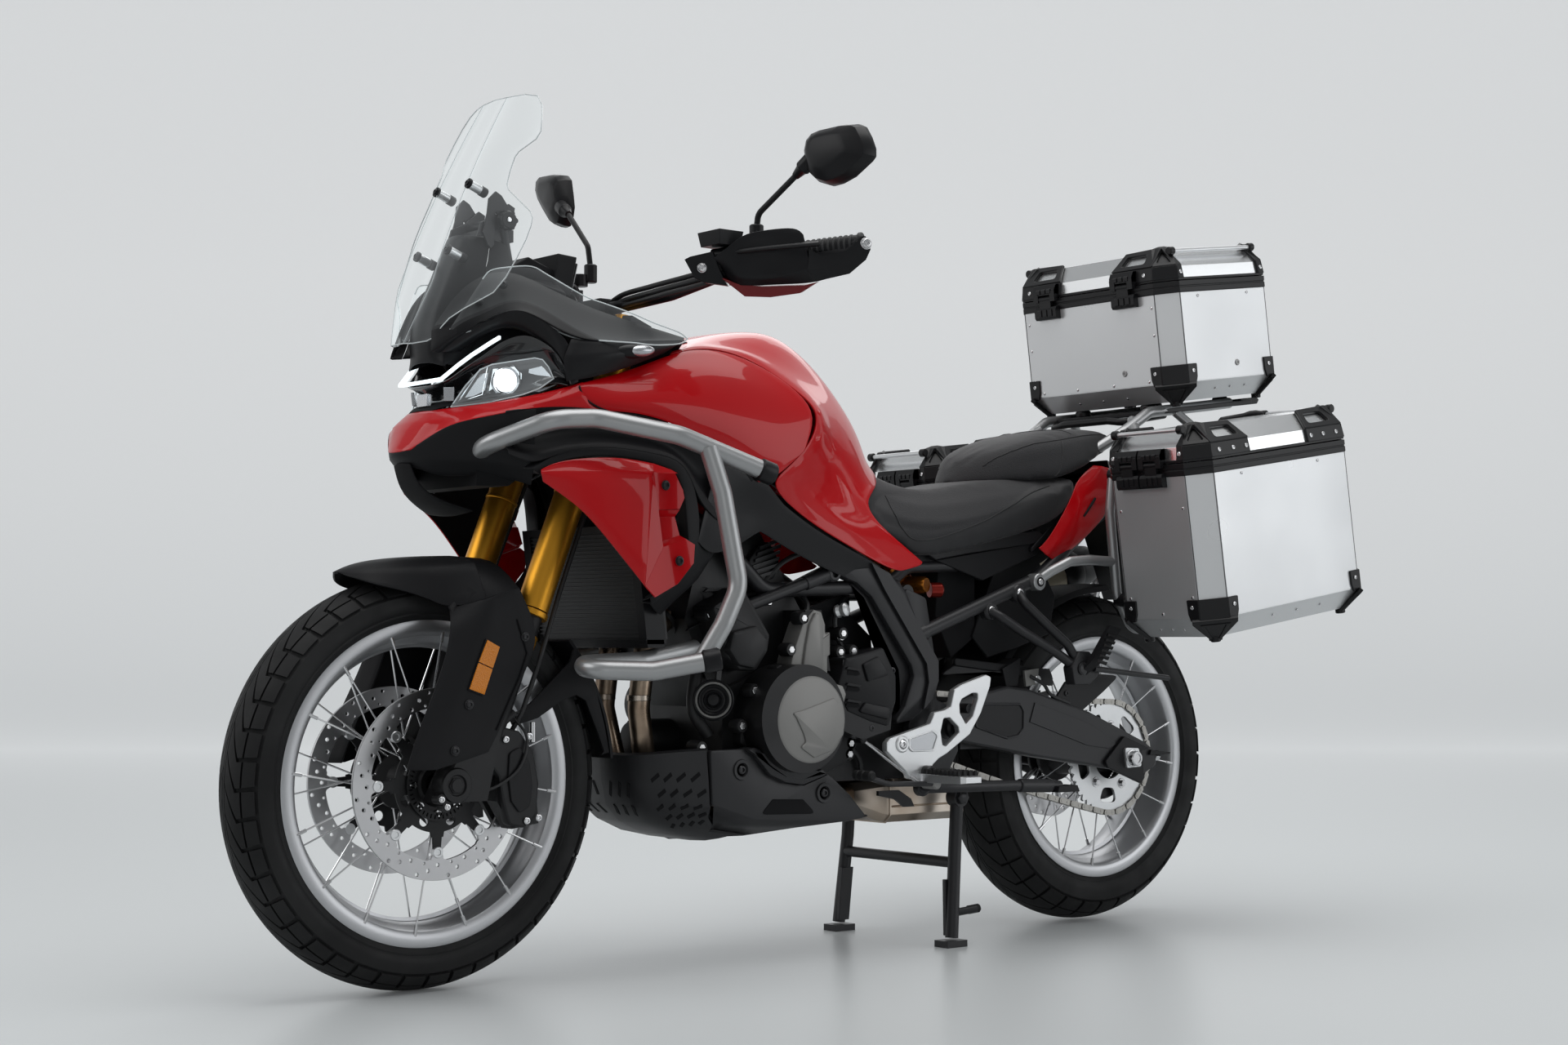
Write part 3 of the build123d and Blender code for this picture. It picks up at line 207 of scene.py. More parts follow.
M["oil_red"] = new_mat("shock_red", (0.22, 0.012, 0.006), 0.25, 0.6)
M["mirror"] = new_mat("mirror_glass", (0.9, 0.9, 0.9), 0.02, 1.0)
M["screen_lcd"] = new_mat("display_glass", (0.008, 0.009, 0.011), 0.06, coat=1.0)
M["chain"] = vary_rough(new_mat("chain_steel", (0.34, 0.33, 0.31), 0.35, 1.0), 0.28, 0.45, 200)


def glassy(name, tint, lo=0.02, hi=0.22):
    """Thin clear sheet: see-through, with a faint even painted reflection (an emission, not a real sheen) that grows
    towards the edge-on view.
    """
    m = bpy.data.materials.new(name)
    m.use_nodes = True
    n, l = m.node_tree.nodes, m.node_tree.links
    n.remove(n["Principled BSDF"])
    out = n["Material Output"]
    tr = n.new("ShaderNodeBsdfTransparent"); tr.inputs["Color"].default_value = (*tint, 1)
    # painted reflection: this emission, stronger towards the edge-on view, stands in for the sheet's sheen
    em = n.new("ShaderNodeEmission"); em.inputs["Color"].default_value = (0.93, 0.97, 1.0, 1)
    lw = n.new("ShaderNodeLayerWeight"); lw.inputs["Blend"].default_value = 0.2
    mr = n.new("ShaderNodeMapRange"); mr.inputs["To Min"].default_value = lo; mr.inputs["To Max"].default_value = hi
    ad = n.new("ShaderNodeAddShader")
    l.new(lw.outputs["Facing"], mr.inputs["Value"])
    l.new(mr.outputs["Result"], em.inputs["Strength"])
    l.new(tr.outputs["BSDF"], ad.inputs[0])
    l.new(em.outputs["Emission"], ad.inputs[1])
    l.new(ad.outputs["Shader"], out.inputs["Surface"])
    m.diffuse_color = (*tint, 0.3)
    return m


# both clear materials carry the painted reflection of glassy
M["sheet"] = glassy("clear_sheet", (0.955, 0.965, 0.965), 0.012, 0.12)
M["sheet_edge"] = new_mat("sheet_edge", (0.62, 0.66, 0.67), 0.15, 0.0, alpha=0.85)
M["lens"] = glassy("lamp_cover", (0.93, 0.95, 0.96), 0.03, 0.2)


# ---------------------------------------------------------------- geometry helpers (all in millimetres)
class Bag:
    """Many small shapes gathered into one piece, with one material for each shape."""

    def __init__(self, name, body):
        self.name, self.body = name, body
        self.v, self.f, self.fm, self.fs, self.mats = [], [], [], [], []

    def mi(self, mat):
        if mat not in self.mats:
            self.mats.append(mat)
        return self.mats.index(mat)

    def add(self, vf, mat, smooth=True, mirror=False, xf=None):
        vs, fs = vf
        if xf is not None:
            vs = [tuple(xf @ Vector(p)) for p in vs]
        for m in ((False, True) if mirror else (False,)):
            o = len(self.v)
            self.v += [(x, -y, z) for x, y, z in vs] if m else list(vs)
            for f in fs:
                self.f.append([o + i for i in (reversed(f) if m else f)])
                self.fm.append(self.mi(mat)); self.fs.append(smooth)
        return self

    def make(self, bevel=0.0, seg=2, angle=32, sharp=35, sub=0, solid=0.0, offset=-1.0, slot=None, replaces=(), merge=0.0, limit=None):
        me = bpy.data.meshes.new(self.name)
        me.from_pydata([W(p) for p in self.v], [], self.f)
        for k in self.mats:
            me.materials.append(M[k])
        me.polygons.foreach_set("material_index", self.fm)
        me.polygons.foreach_set("use_smooth", self.fs)
        bm = bmesh.new(); bm.from_mesh(me)
        if merge:
            bmesh.ops.remove_doubles(bm, verts=bm.verts, dist=merge * 0.001)
        bmesh.ops.recalc_face_normals(bm, faces=bm.faces) if merge else None
        bm.to_mesh(me); bm.free()
        me.update()
        ob = bpy.data.objects.new(self.name, me)
        bpy.context.scene.collection.objects.link(ob)
        if sharp and not sub:
            me.set_sharp_from_angle(angle=math.radians(sharp))
        if sub:
            s = ob.modifiers.new("sub", "SUBSURF"); s.levels = s.render_levels = sub
        if solid:
            s = ob.modifiers.new("solid", "SOLIDIFY"); s.thickness = solid * 0.001; s.offset = offset
            s.use_even_offset = False
        if bevel:
            b = ob.modifiers.new("bevel", "BEVEL"); b.width = bevel * 0.001; b.segments = seg
            b.limit_method = "ANGLE"; b.angle_limit = math.radians(angle); b.harden_normals = False
            b.use_clamp_overlap = True
        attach(ob, self.body)
        if replaces:
            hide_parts(*replaces)
        return ob


def frame_of(d):
    d = Vector(d).normalized()
    a = Vector((0, 0, 1)) if abs(d.z) < 0.9 else Vector((1, 0, 0))
    u = d.cross(a).normalized()
    return u, d.cross(u).normalized(), d


def cyl(p0, p1, r0, r1=None, n=24, cap=True, bev=0.0):
    p0, p1 = Vector(p0), Vector(p1)
    r1 = r0 if r1 is None else r1
    L = (p1 - p0).length
    prof = [(r0, 0), (r1, L)]
    if bev:
        prof = [(r0 - bev, 0), (r0, bev), (r1, L - bev), (r1 - bev, L)]
    return turn(p0, p1 - p0, prof, n, cap)


def turn(p, d, prof, n=32, cap=True):
    """Profile of (radius, distance along d) turned about the line through p along d."""
    u, w, d = frame_of(d)
    p = Vector(p)
    vs, fs = [], []
    for r, t in prof:
        for i in range(n):
            a = 2 * math.pi * i / n
            vs.append(tuple(p + d * t + (u * math.cos(a) + w * math.sin(a)) * r))
    for k in range(len(prof) - 1):
        for i in range(n):
            j = (i + 1) % n
            fs.append([k * n + i, k * n + j, (k + 1) * n + j, (k + 1) * n + i])
    if cap:
        if prof[0][0] > 0.01:
            fs.append(list(range(n))[::-1])
        if prof[-1][0] > 0.01:
            k = (len(prof) - 1) * n
            fs.append([k + i for i in range(n)])
    return vs, fs


def wheel_turn(prof, xc, zc, n=96, closed=True):
    """Closed outline of (radius, y) turned about the wheel's axle."""
    vs, fs = [], []
    m = len(prof)
    for i in range(n):
        a = 2 * math.pi * i / n
        c, s = math.cos(a), math.sin(a)
        for r, y in prof:
            vs.append((xc + r * c, y, zc + r * s))
    for i in range(n):
        j = (i + 1) % n
        for k in range(m if closed else m - 1):
            k2 = (k + 1) % m
            fs.append([i * m + k, i * m + k2, j * m + k2, j * m + k])
    return vs, fs


def box(x0, x1, y0, y1, z0, z1):
    v = [(x, y, z) for x in (x0, x1) for y in (y0, y1) for z in (z0, z1)]
    return v, [[0, 1, 3, 2], [4, 6, 7, 5], [0, 4, 5, 1], [2, 3, 7, 6], [0, 2, 6, 4], [1, 5, 7, 3]]


def extrude(pts, vec):
    pts = [Vector(p) for p in pts]
    n = len(pts)
    vec = Vector(vec)
    nor = Vector((0, 0, 0))
    for i in range(n):
        nor += pts[i].cross(pts[(i + 1) % n])
    if nor.dot(vec) > 0:
        pts = pts[::-1]
    vs = [tuple(p) for p in pts] + [tuple(p + vec) for p in pts]
    fs = [list(range(n)), [n + i for i in range(n)][::-1]]
    fs += [[i, n + i, n + (i + 1) % n, (i + 1) % n] for i in range(n)]
    return vs, fs


def prism(xz, y0, y1):
    return extrude([(x, y0, z) for x, z in xz], (0, y1 - y0, 0))


def loft(secs, cap=True, closed=True):
    n = len(secs[0])
    vs = [tuple(p) for s in secs for p in s]
    fs = []
    for k in range(len(secs) - 1):
        for i in range(n if closed else n - 1):
            j = (i + 1) % n
            fs.append([k * n + i, k * n + j, (k + 1) * n + j, (k + 1) * n + i])
    if cap and closed:
        fs.append(list(range(n))[::-1])
        k = (len(secs) - 1) * n
        fs.append([k + i for i in range(n)])
    # turn the faces outwards
    c = Vector((0, 0, 0))
    for p in vs:
        c += Vector(p)
    c /= len(vs)
    vol = 0.0
    for f in fs:
        for i in range(1, len(f) - 1):
            a, b, d = Vector(vs[f[0]]) - c, Vector(vs[f[i]]) - c, Vector(vs[f[i + 1]]) - c
            vol += a.dot(b.cross(d))
    if vol < 0:
        fs = [f[::-1] for f in fs]
    return vs, fs


def fillet(pts, rad, step=8):
    """Path through pts with its corners rounded to rad."""
    P = [Vector(p) for p in pts]
    out = [P[0]]
    for i in range(1, len(P) - 1):
        a, b, c = P[i - 1], P[i], P[i + 1]
        u, v = (a - b).normalized(), (c - b).normalized()
        ang = u.angle(v)
        if ang > math.pi - 0.02:
            out.append(b); continue
        t = rad / math.tan(ang / 2)
        t = min(t, (a - b).length * 0.49, (c - b).length * 0.49)
        r = t * math.tan(ang / 2)
        ctr = b + (u + v).normalized() * (r / math.sin(ang / 2))
        s, e = b + u * t, b + v * t
        n = max(3, int((math.pi - ang) / math.radians(step)) + 1)
        for k in range(n + 1):
            w = k / n
            d0, d1 = (s - ctr), (e - ctr)
            q = d0.slerp(d1, w) if d0.angle(d1) > 1e-4 else d0.lerp(d1, w)
            out.append(ctr + q.normalized() * (d0.length + (d1.length - d0.length) * w))
    out.append(P[-1])
    return out


def spline(pts, n=8):
    P = [Vector(p) for p in pts]
    P = [P[0] * 2 - P[1]] + P + [P[-1] * 2 - P[-2]]
    out = []
    for i in range(1, len(P) - 2):
        for k in range(n):
            t = k / n
            a, b, c, d = P[i - 1], P[i], P[i + 1], P[i + 2]
            out.append(0.5 * ((2 * b) + (c - a) * t + (2 * a - 5 * b + 4 * c - d) * t * t + (3 * b - a - 3 * c + d) * t ** 3))
    out.append(P[-2])
    return out


def pipe(path, r, n=14, cap=True, flat=None):
    """Tube along a path; r is a number or one for each point.  flat squashes it across."""
    P = [Vector(p) for p in path]
    m = len(P)
    R = r if isinstance(r, (list, tuple)) else [r] * m
    T = []
    for i in range(m):
        a, b = P[max(0, i - 1)], P[min(m - 1, i + 1)]
        T.append((b - a).normalized())
    u, w, _ = frame_of(T[0])
    vs, fs = [], []
    for i in range(m):
        if i:
            q = T[i - 1].rotation_difference(T[i])
            u = q @ u
        u = (u - T[i] * u.dot(T[i])).normalized()
        w = T[i].cross(u)
        for k in range(n):
            a = 2 * math.pi * k / n
            vs.append(tuple(P[i] + (u * math.cos(a) + w * math.sin(a) * (flat or 1)) * R[i]))
    for i in range(m - 1):
        for k in range(n):
            j = (k + 1) % n
            fs.append([i * n + k, i * n + j, (i + 1) * n + j, (i + 1) * n + k])
    if cap:
        fs.append(list(range(n))[::-1])
        fs.append([(m - 1) * n + k for k in range(n)])
    return vs, fs


def bolt(bag, p, d, r, kind="torx", mat="bolt_black", h=None, mirror=False, washer=0.0):
    """A screw head at p, facing along d."""
    d = Vector(d).normalized(); p = Vector(p)
    h = h or r * 0.55
    if washer:
        bag.add(turn(p, d, [(washer, 0), (washer, 1.0), (washer - 0.4, 1.4)], 20), mat, mirror=mirror)
        p = p + d * 1.2
    if kind == "hex":
        bag.add(turn(p, d, [(r, 0), (r, h * 0.8), (r * 0.88, h)], 6), mat, smooth=False, mirror=mirror)
        bag.add(turn(p + d * h, d, [(r * 0.5, 0), (r * 0.5, 0.3)], 16), mat, mirror=mirror)
    else:
        bag.add(turn(p, d, [(r, 0), (r, h * 0.55), (r * 0.82, h * 0.92), (r * 0.55, h), (r * 0.5, h), (r * 0.46, h * 0.35), (0.02, h * 0.3)], 20), mat, mirror=mirror)
    return bag


def rivet(bag, p, d, r=3.2, mat="bolt", mirror=False):
    bag.add(turn(p, d, [(r, 0), (r * 0.92, r * 0.35), (r * 0.55, r * 0.55), (0.02, r * 0.6)], 12), mat, mirror=mirror)


def sheet_grid(name, rows, body, mat, thick=3.0, sub=2, mirror=True, creases=(), outward=(0, -1, 0.15), replaces=(), join=False, corners=True):
    """A skin through rows of points, thickened inwards, with its mirror image across the middle of the bike.
    creases holds ("row", index, weight) and ("col", index, weight)."""
    nr, nc = len(rows), len(rows[0])
    vs = [tuple(p) for r in rows for p in r]
    fs = [[i * nc + j, i * nc + j + 1, (i + 1) * nc + j + 1, (i + 1) * nc + j] for i in range(nr - 1) for j in range(nc - 1)]
    nor = Vector((0, 0, 0))
    for f in fs:
        a, b, c, d = [Vector(vs[i]) for i in f]
        nor += (c - a).cross(d - b)
    if nor.dot(Vector(outward)) < 0:
        fs = [f[::-1] for f in fs]
    me = bpy.data.meshes.new(name)
    V2 = list(vs); F2 = list(fs)
    if mirror:
        o = len(vs)
        V2 += [(x, -y, z) for x, y, z in vs]
        F2 += [[o + i for i in reversed(f)] for f in fs]
    me.from_pydata([W(p) for p in V2], [], F2)
    me.materials.append(M[mat])
    bm = bmesh.new(); bm.from_mesh(me)
    cl = bm.edges.layers.float.get("crease_edge") or bm.edges.layers.float.new("crease_edge")
    bm.verts.ensure_lookup_table()
    want = {}
    for kind, idx, w in creases:
        if kind == "row":
            prs = [(idx * nc + j, idx * nc + j + 1) for j in range(nc - 1)]
        else:
            prs = [(i * nc + idx, (i + 1) * nc + idx) for i in range(nr - 1)]
        for a, b in prs:
            want[frozenset((a, b))] = w
            if mirror:
                want[frozenset((a + len(vs), b + len(vs)))] = w
    for e in bm.edges:
        k = frozenset((e.verts[0].index, e.verts[1].index))
        if k in want:
            e[cl] = want[k]
    if join:
        bmesh.ops.remove_doubles(bm, verts=bm.verts, dist=0.0005)
    bm.to_mesh(me); bm.free()
    for p in me.polygons:
        p.use_smooth = True
    ob = bpy.data.objects.new(name, me)
    bpy.context.scene.collection.objects.link(ob)
    s = ob.modifiers.new("sub", "SUBSURF"); s.levels = s.render_levels = sub
    s.boundary_smooth = "PRESERVE_CORNERS" if corners else "ALL"
    if thick:
        t = ob.modifiers.new("solid", "SOLIDIFY"); t.thickness = thick * 0.001; t.offset = -1
        bv = ob.modifiers.new("bevel", "BEVEL"); bv.width = 0.0008; bv.segments = 2; bv.limit_method = "ANGLE"; bv.angle_limit = math.radians(50)
    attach(ob, body)
    if replaces:
        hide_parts(*replaces)
    return ob


def dress(node, mat, bevel=0.0, sharp=35, seg=2):
    """A CAD node shown as it is, with its finish."""
    o = frame["nodes"][node]
    if o.type == "MESH":
        o.data.materials.clear()
        o.data.materials.append(M[mat])
    if bevel:
        b = o.modifiers.new("bevel", "BEVEL"); b.width = bevel * 0.001; b.segments = seg
        b.limit_method = "ANGLE"; b.angle_limit = math.radians(40)
    return o


# ---------------------------------------------------------------- outlines of the left-hand panels, in millimetres
T_TANK = [[(-330, 0, 1052), (-330, -62, 1048), (-330, -120, 1036), (-356, -150, 1036), (-367, -160, 1029)], [(-260, 0, 1073),
    (-260, -78, 1069), (-301, -130, 1057), (-316, -150, 1047), (-328, -160, 1040)], [(-206, 0, 1088), (-206, -88, 1084),
    (-269, -138, 1056), (-285, -155, 1050), (-293, -163, 1045)], [(-140, 0, 1100), (-140, -94, 1095), (-232, -146, 1053),
    (-246, -160, 1047), (-257, -168, 1042)], [(-69, 0, 1103), (-72, -95, 1098), (-196, -152, 1048), (-210, -166, 1041),
    (-223, -173, 1034)], [(0, 0, 1073), (-4, -88, 1066), (-150, -157, 1034), (-171, -172, 1025), (-184, -180, 1018)], [(54, 0, 1036),
    (50, -78, 1027), (-103, -162, 1010), (-132, -180, 1003), (-149, -188, 997)], [(110, 0, 985), (105, -70, 974), (-62, -166, 985),
    (-99, -188, 981), (-116, -196, 976)], [(160, 0, 930), (152, -62, 918), (-37, -169, 958), (-78, -196, 959),
    (-98, -204, 959)], [(201, 0, 892), (118, -100, 881), (-25, -170, 927), (-67, -202, 937), (-88, -210, 938)], [(179, -60, 850),
    (101, -120, 850), (-18, -172, 890), (-75, -207, 904), (-100, -215, 905)], [(120, -120, 827), (66, -145, 832), (-25, -178, 858),
    (-102, -213, 870), (-126, -219, 876)], [(75, -150, 803), (32, -162, 810), (-43, -184, 829), (-134, -217, 840),
    (-164, -221, 845)], [(73, -157, 788), (24, -167, 786), (-64, -190, 802), (-162, -217, 819), (-201, -221, 819)], [(79, -158, 777),
    (32, -168, 769), (-46, -188, 777), (-113, -202, 784), (-159, -208, 788)], [(102, -158, 756), (59, -168, 747), (7, -180, 745),
    (-41, -188, 746), (-79, -194, 749)], [(149, -154, 729), (108, -162, 721), (74, -168, 717), (42, -174, 716),
    (18, -178, 715)], [(186, -152, 707), (176, -154, 698), (157, -158, 691), (133, -162, 684), (114, -166, 680)], [(207, -150, 695),
    (202, -152, 689), (184, -154, 685), (165, -157, 681), (147, -160, 678)]]
T_COVER = [[(-555, -182, 967), (-567, -186, 959), (-560, -190, 945), (-546, -193, 932), (-533, -195, 922)], [(-503, -178, 981),
    (-516, -190, 967), (-518, -200, 950), (-514, -206, 934), (-502, -205, 922)], [(-457, -175, 995), (-469, -192, 977), (-472, -206, 955),
    (-468, -214, 937), (-457, -212, 920)], [(-394, -170, 1019), (-405, -194, 992), (-412, -212, 962), (-412, -222, 937),
    (-403, -218, 908)], [(-333, -166, 1040), (-347, -197, 1005), (-354, -217, 965), (-357, -228, 928),
    (-346, -222, 886)], [(-259, -170, 1043), (-282, -201, 1002), (-295, -222, 959), (-304, -234, 910),
    (-297, -224, 864)], [(-185, -181, 1019), (-217, -206, 983), (-243, -226, 941), (-263, -236, 892),
    (-267, -225, 847)], [(-117, -197, 978), (-157, -213, 947), (-196, -228, 910), (-227, -234, 871), (-249, -225, 835)], [(-91, -211, 938),
    (-126, -219, 914), (-168, -228, 883), (-201, -230, 853), (-236, -224, 823)], [(-127, -220, 876), (-147, -222, 861), (-172, -224, 843),
    (-193, -224, 829), (-226, -222, 818)]]
T_STRIP = [[(-555, -182, 968), (-563, -190, 951), (-533, -194, 924)], [(-587, -174, 957), (-595, -186, 940),
    (-582, -190, 926)], [(-632, -160, 944), (-641, -174, 929), (-636, -178, 923)], [(-669, -135, 936), (-680, -152, 919),
    (-684, -158, 914)], [(-703, -105, 928), (-721, -122, 909), (-725, -128, 903)], [(-729, -60, 925), (-742, -82, 904), (-754, -90, 894)]]
T_REARF = [[(-618, -70, 429), (-579, -70, 452), (-532, -70, 494), (-502, -66, 520), (-494, -62, 540), (-471, -64, 520), (-448, -66, 466),
    (-432, -67, 411), (-423, -66, 368), (-440, -66, 364)], [(-611, -72, 416), (-564, -72, 428), (-516, -70, 456), (-489, -66, 464),
    (-471, -64, 455), (-445, -62, 398), (-434, -62, 371)]]
T_GUARDHAND = [[(-349, -252, 1177), (-335, -252, 1169), (-327, -252, 1162), (-310, -248, 1138)], [(-331, -280, 1202), (-325, -282, 1168),
    (-321, -282, 1147), (-315, -274, 1135)], [(-318, -300, 1218), (-301, -306, 1170), (-292, -306, 1145),
    (-281, -296, 1135)], [(-291, -325, 1223), (-279, -332, 1174), (-278, -330, 1144), (-264, -318, 1136)], [(-252, -352, 1229),
    (-247, -366, 1176), (-261, -356, 1152), (-235, -352, 1136)], [(-247, -362, 1215), (-243, -372, 1175), (-247, -372, 1156),
    (-223, -368, 1139)]]
T_GUARDEND = [[(-245, -374, 1190), (-243, -372, 1175), (-247, -372, 1156), (-223, -368, 1139)], [(-236, -384, 1183), (-229, -386, 1178),
    (-220, -386, 1157), (-212, -380, 1143)], [(-200, -414, 1192), (-205, -420, 1185), (-200, -420, 1166),
    (-190, -412, 1150)], [(-196, -440, 1207), (-188, -450, 1207), (-179, -452, 1186), (-177, -438, 1171)]]
T_HANDBR = [[(-393, -235, 1175), (-385, -240, 1180), (-351, -255, 1190), (-337, -255, 1162), (-318, -252, 1137), (-356, -240, 1140),
    (-373, -236, 1146)], [(-364, -246, 1162)]]
T_SIDEWING = [[(-576, -180, 1035), (-595, -186, 1001), (-586, -182, 966)], [(-515, -196, 1033), (-537, -204, 1008),
    (-535, -190, 976)], [(-443, -196, 1042), (-464, -208, 1020), (-468, -186, 997)], [(-349, -172, 1053), (-367, -178, 1041),
    (-389, -172, 1026)]]
T_BAND = [[(-746, -62, 1012), (-709, -66, 1017)], [(-733, -70, 1028), (-704, -80, 1029)], [(-701, -112, 1062),
    (-678, -112, 1050)], [(-670, -140, 1079), (-657, -134, 1056)], [(-646, -158, 1078), (-633, -150, 1048)], [(-614, -172, 1056),
    (-610, -166, 1028)], [(-588, -180, 1039), (-598, -176, 1013)], [(-570, -186, 1003), (-586, -182, 987)], [(-565, -184, 967),
    (-577, -182, 961)]]
T_DRL = [[(-748, -66, 975), (-725, -78, 999), (-711, -92, 1015), (-691, -120, 1032), (-681, -134, 1041)], [(-748, -66, 963),
    (-722, -78, 986), (-703, -92, 1002), (-686, -118, 1022), (-679, -130, 1029)]]
T_LENS = [[(-726, -60, 926), (-710, -78, 960), (-695, -98, 985), (-682, -112, 993), (-626, -150, 1004), (-618, -160, 1001),
    (-610, -166, 989), (-603, -170, 971), (-625, -162, 954), (-647, -148, 944), (-685, -112, 932)]]
T_DEFL = [[(-694, -100, 1126), (-683, -106, 1140), (-660, -118, 1146), (-624, -134, 1149), (-600, -146, 1136), (-565, -164, 1114),
    (-542, -176, 1101), (-510, -188, 1091), (-472, -203, 1078), (-439, -214, 1065), (-399, -226, 1052),
    (-384, -230, 1042)], [(-737, -72, 1045), (-714, -84, 1041), (-692, -98, 1055), (-659, -118, 1071), (-637, -132, 1071),
    (-615, -146, 1059), (-569, -170, 1036), (-513, -192, 1032), (-474, -206, 1031), (-441, -216, 1029), (-400, -228, 1033),
    (-384, -230, 1042)]]
T_CELL_L = [(-717, -66, 933), (-690, -90, 988), (-681, -97, 990), (-687, -92, 946)]
T_CELL_M = [(-684, -95, 947), (-678, -100, 990), (-650, -124, 994), (-642, -131, 982), (-641, -131, 964), (-650, -124, 949)]
T_CELL_R = [(-637, -135, 953), (-634, -137, 990), (-618, -151, 995), (-608, -159, 982), (-602, -165, 970), (-618, -151, 960)]
T_LOWER_RED = [(-712, -70, 929), (-678, -100, 940), (-646, -127, 945), (-628, -142, 956), (-600, -166, 966), (-612, -156, 957),
    (-638, -134, 944), (-678, -100, 935)]
T_COWL_B = [(-767, -66, 1010), (-734, -92, 1041), (-701, -112, 1055), (-674, -130, 1081), (-646, -146, 1086), (-614, -162, 1074),
    (-573, -176, 1054), (-516, -186, 1043), (-431, -180, 1047), (-351, -172, 1051)]
T_COWL_C = [(-759, -54, 1047), (-726, -68, 1107), (-682, -80, 1143), (-636, -92, 1151), (-602, -112, 1134), (-557, -128, 1113),
    (-508, -138, 1095), (-448, -146, 1081), (-393, -150, 1071), (-334, -156, 1059)]
T_ARM_L = [(-652, -50, 1272), (-639, -50, 1285), (-628, -50, 1279), (-614, -50, 1261), (-605, -50, 1250), (-605, -50, 1233),
    (-620, -50, 1224), (-630, -50, 1241), (-639, -50, 1251), (-642, -50, 1197), (-648, -50, 1190), (-654, -50, 1196), (-664, -50, 1216),
    (-655, -50, 1247)]
T_MIR_L = [(-230, -373, 1382), (-226, -394, 1386), (-217, -445, 1388), (-212, -478, 1385), (-210, -488, 1380), (-208, -500, 1362),
    (-206, -508, 1343), (-206, -508, 1330), (-208, -501, 1323), (-214, -461, 1302), (-219, -433, 1294), (-223, -411, 1292),
    (-228, -385, 1300), (-231, -368, 1313), (-232, -357, 1334), (-233, -354, 1354), (-232, -359, 1372)]
T_MIR_R = [(-203, 526, 1452), (-215, 459, 1446), (-225, 402, 1436), (-228, 383, 1425), (-230, 371, 1395), (-231, 364, 1371),
    (-230, 371, 1354), (-227, 389, 1338), (-223, 412, 1338), (-217, 447, 1350), (-208, 497, 1380), (-201, 537, 1407), (-199, 553, 1428),
    (-199, 550, 1446)]
T_STEM_R = [(-246, 252, 1233), (-246, 254, 1260), (-250, 262, 1291), (-255, 290, 1324), (-251, 320, 1344), (-245, 348, 1359)]
T_STEM_L = [(-263, -260, 1235), (-266, -262, 1252), (-262, -270, 1268), (-244, -320, 1305), (-242, -340, 1317), (-238, -362, 1333)]

T_SPAR = [(-61, 703), (-44, 727), (-9, 730), (14, 711), (67, 694), (115, 675), (152, 632), (235, 517), (235, 480), (219, 444), (194, 426), (169, 411), (133, 405), (130, 412), (151, 436), (173, 490), (167, 509), (73, 631), (38, 655), (20, 660), (-33, 683)]
T_SPAR_IN = [(50, 656), (85, 631), (179, 508), (185, 490), (164, 436), (145, 404), (139, 436), (145, 472), (142, 500), (61, 627), (26, 653)]
T_TRI = [(-91, 757), (19, 734), (43, 660), (19, 669), (-16, 686), (-56, 703), (-153, 742)]
T_HEADC = [(-182, 662), (-169, 695), (-149, 717), (-126, 725), (-104, 692), (-109, 674), (-115, 661), (-155, 647), (-177, 651)]
T_THERM = [(-286, 610), (-221, 645), (-194, 611), (-161, 563), (-166, 535), (-191, 502), (-227, 503), (-254, 525), (-265, 568)]
T_THERMF = [(-251, 568), (-200, 579), (-176, 555), (-180, 535), (-205, 506), (-238, 512), (-259, 538)]
T_GREYC = [(-91, 585), (-68, 607), (-51, 603), (-42, 581), (-42, 563), (-31, 570), (-31, 528), (-37, 526), (-37, 488), (-91, 485), (-124, 485), (-117, 520), (-108, 546)]
T_GREYF = [(-82, 581), (-69, 602), (-58, 600), (-51, 581), (-50, 493), (-90, 491), (-96, 511), (-90, 546)]
T_DISC_RELIEF = [(-144, 431), (-122, 435), (-52, 455), (-44, 447), (-29, 421), (-32, 392), (-57, 365), (-97, 354), (-128, 373), (-115, 381), (-120, 395), (-136, 423)]
T_DISC_TAB = [(-62, 484), (-27, 475), (-20, 461), (-25, 446), (-39, 443), (-73, 476)]
T_SPRC = [(-2, 523), (86, 542), (116, 491), (116, 446), (98, 401), (56, 411), (3, 430), (-20, 475)]
T_ENGB = [(-90, 592), (-118, 538), (-142, 501), (-197, 469), (-224, 410)]
T_ENGB2 = [(-52, 336), (13, 533), (43, 535), (40, 408), (37, 373), (34, 354), (-291, 375), (19, 566), (-275, 598)]
T_SKIDS = [(-293, 371), (-218, 372), (-202, 364), (-166, 326), (-132, 312), (-93, 306), (-48, 319), (-39, 323), (-27, 316), (11, 286), (51, 245), (4, 239), (-199, 251), (-288, 280)]
T_SKIDO = [(-187, 260), (-161, 285), (-95, 282), (-66, 256)]
T_SKIDB = [(-228, 337), (-48, 291)]
T_SKIDLIP = [(-226, 372), (-209, 364), (-174, 327), (-141, 313), (-101, 307), (-56, 320), (-47, 324), (-59, 333), (-101, 320), (-138, 325), (-166, 339), (-195, 370), (-207, 374)]
T_CASING = [(-128, 500), (-173, 472), (-206, 412), (-211, 378), (-192, 368), (-145, 324), (-89, 308), (-20, 322), (27, 340), (50, 366), (51, 420), (27, 474), (-8, 497)]
T_ARM_REC = [(349, 434), (460, 432), (468, 420), (467, 389), (455, 377), (427, 373), (349, 394)]
T_ARM_END = [(684, 320), (730, 360), (738, 367), (814, 341), (786, 338), (790, 321), (795, 284), (784, 274), (691, 307)]
T_ARM_ADJ = [(733, 345), (772, 343), (780, 307), (738, 305)]
T_CG_TOP = [(314, 521), (560, 498), (571, 483), (506, 486), (314, 507)]
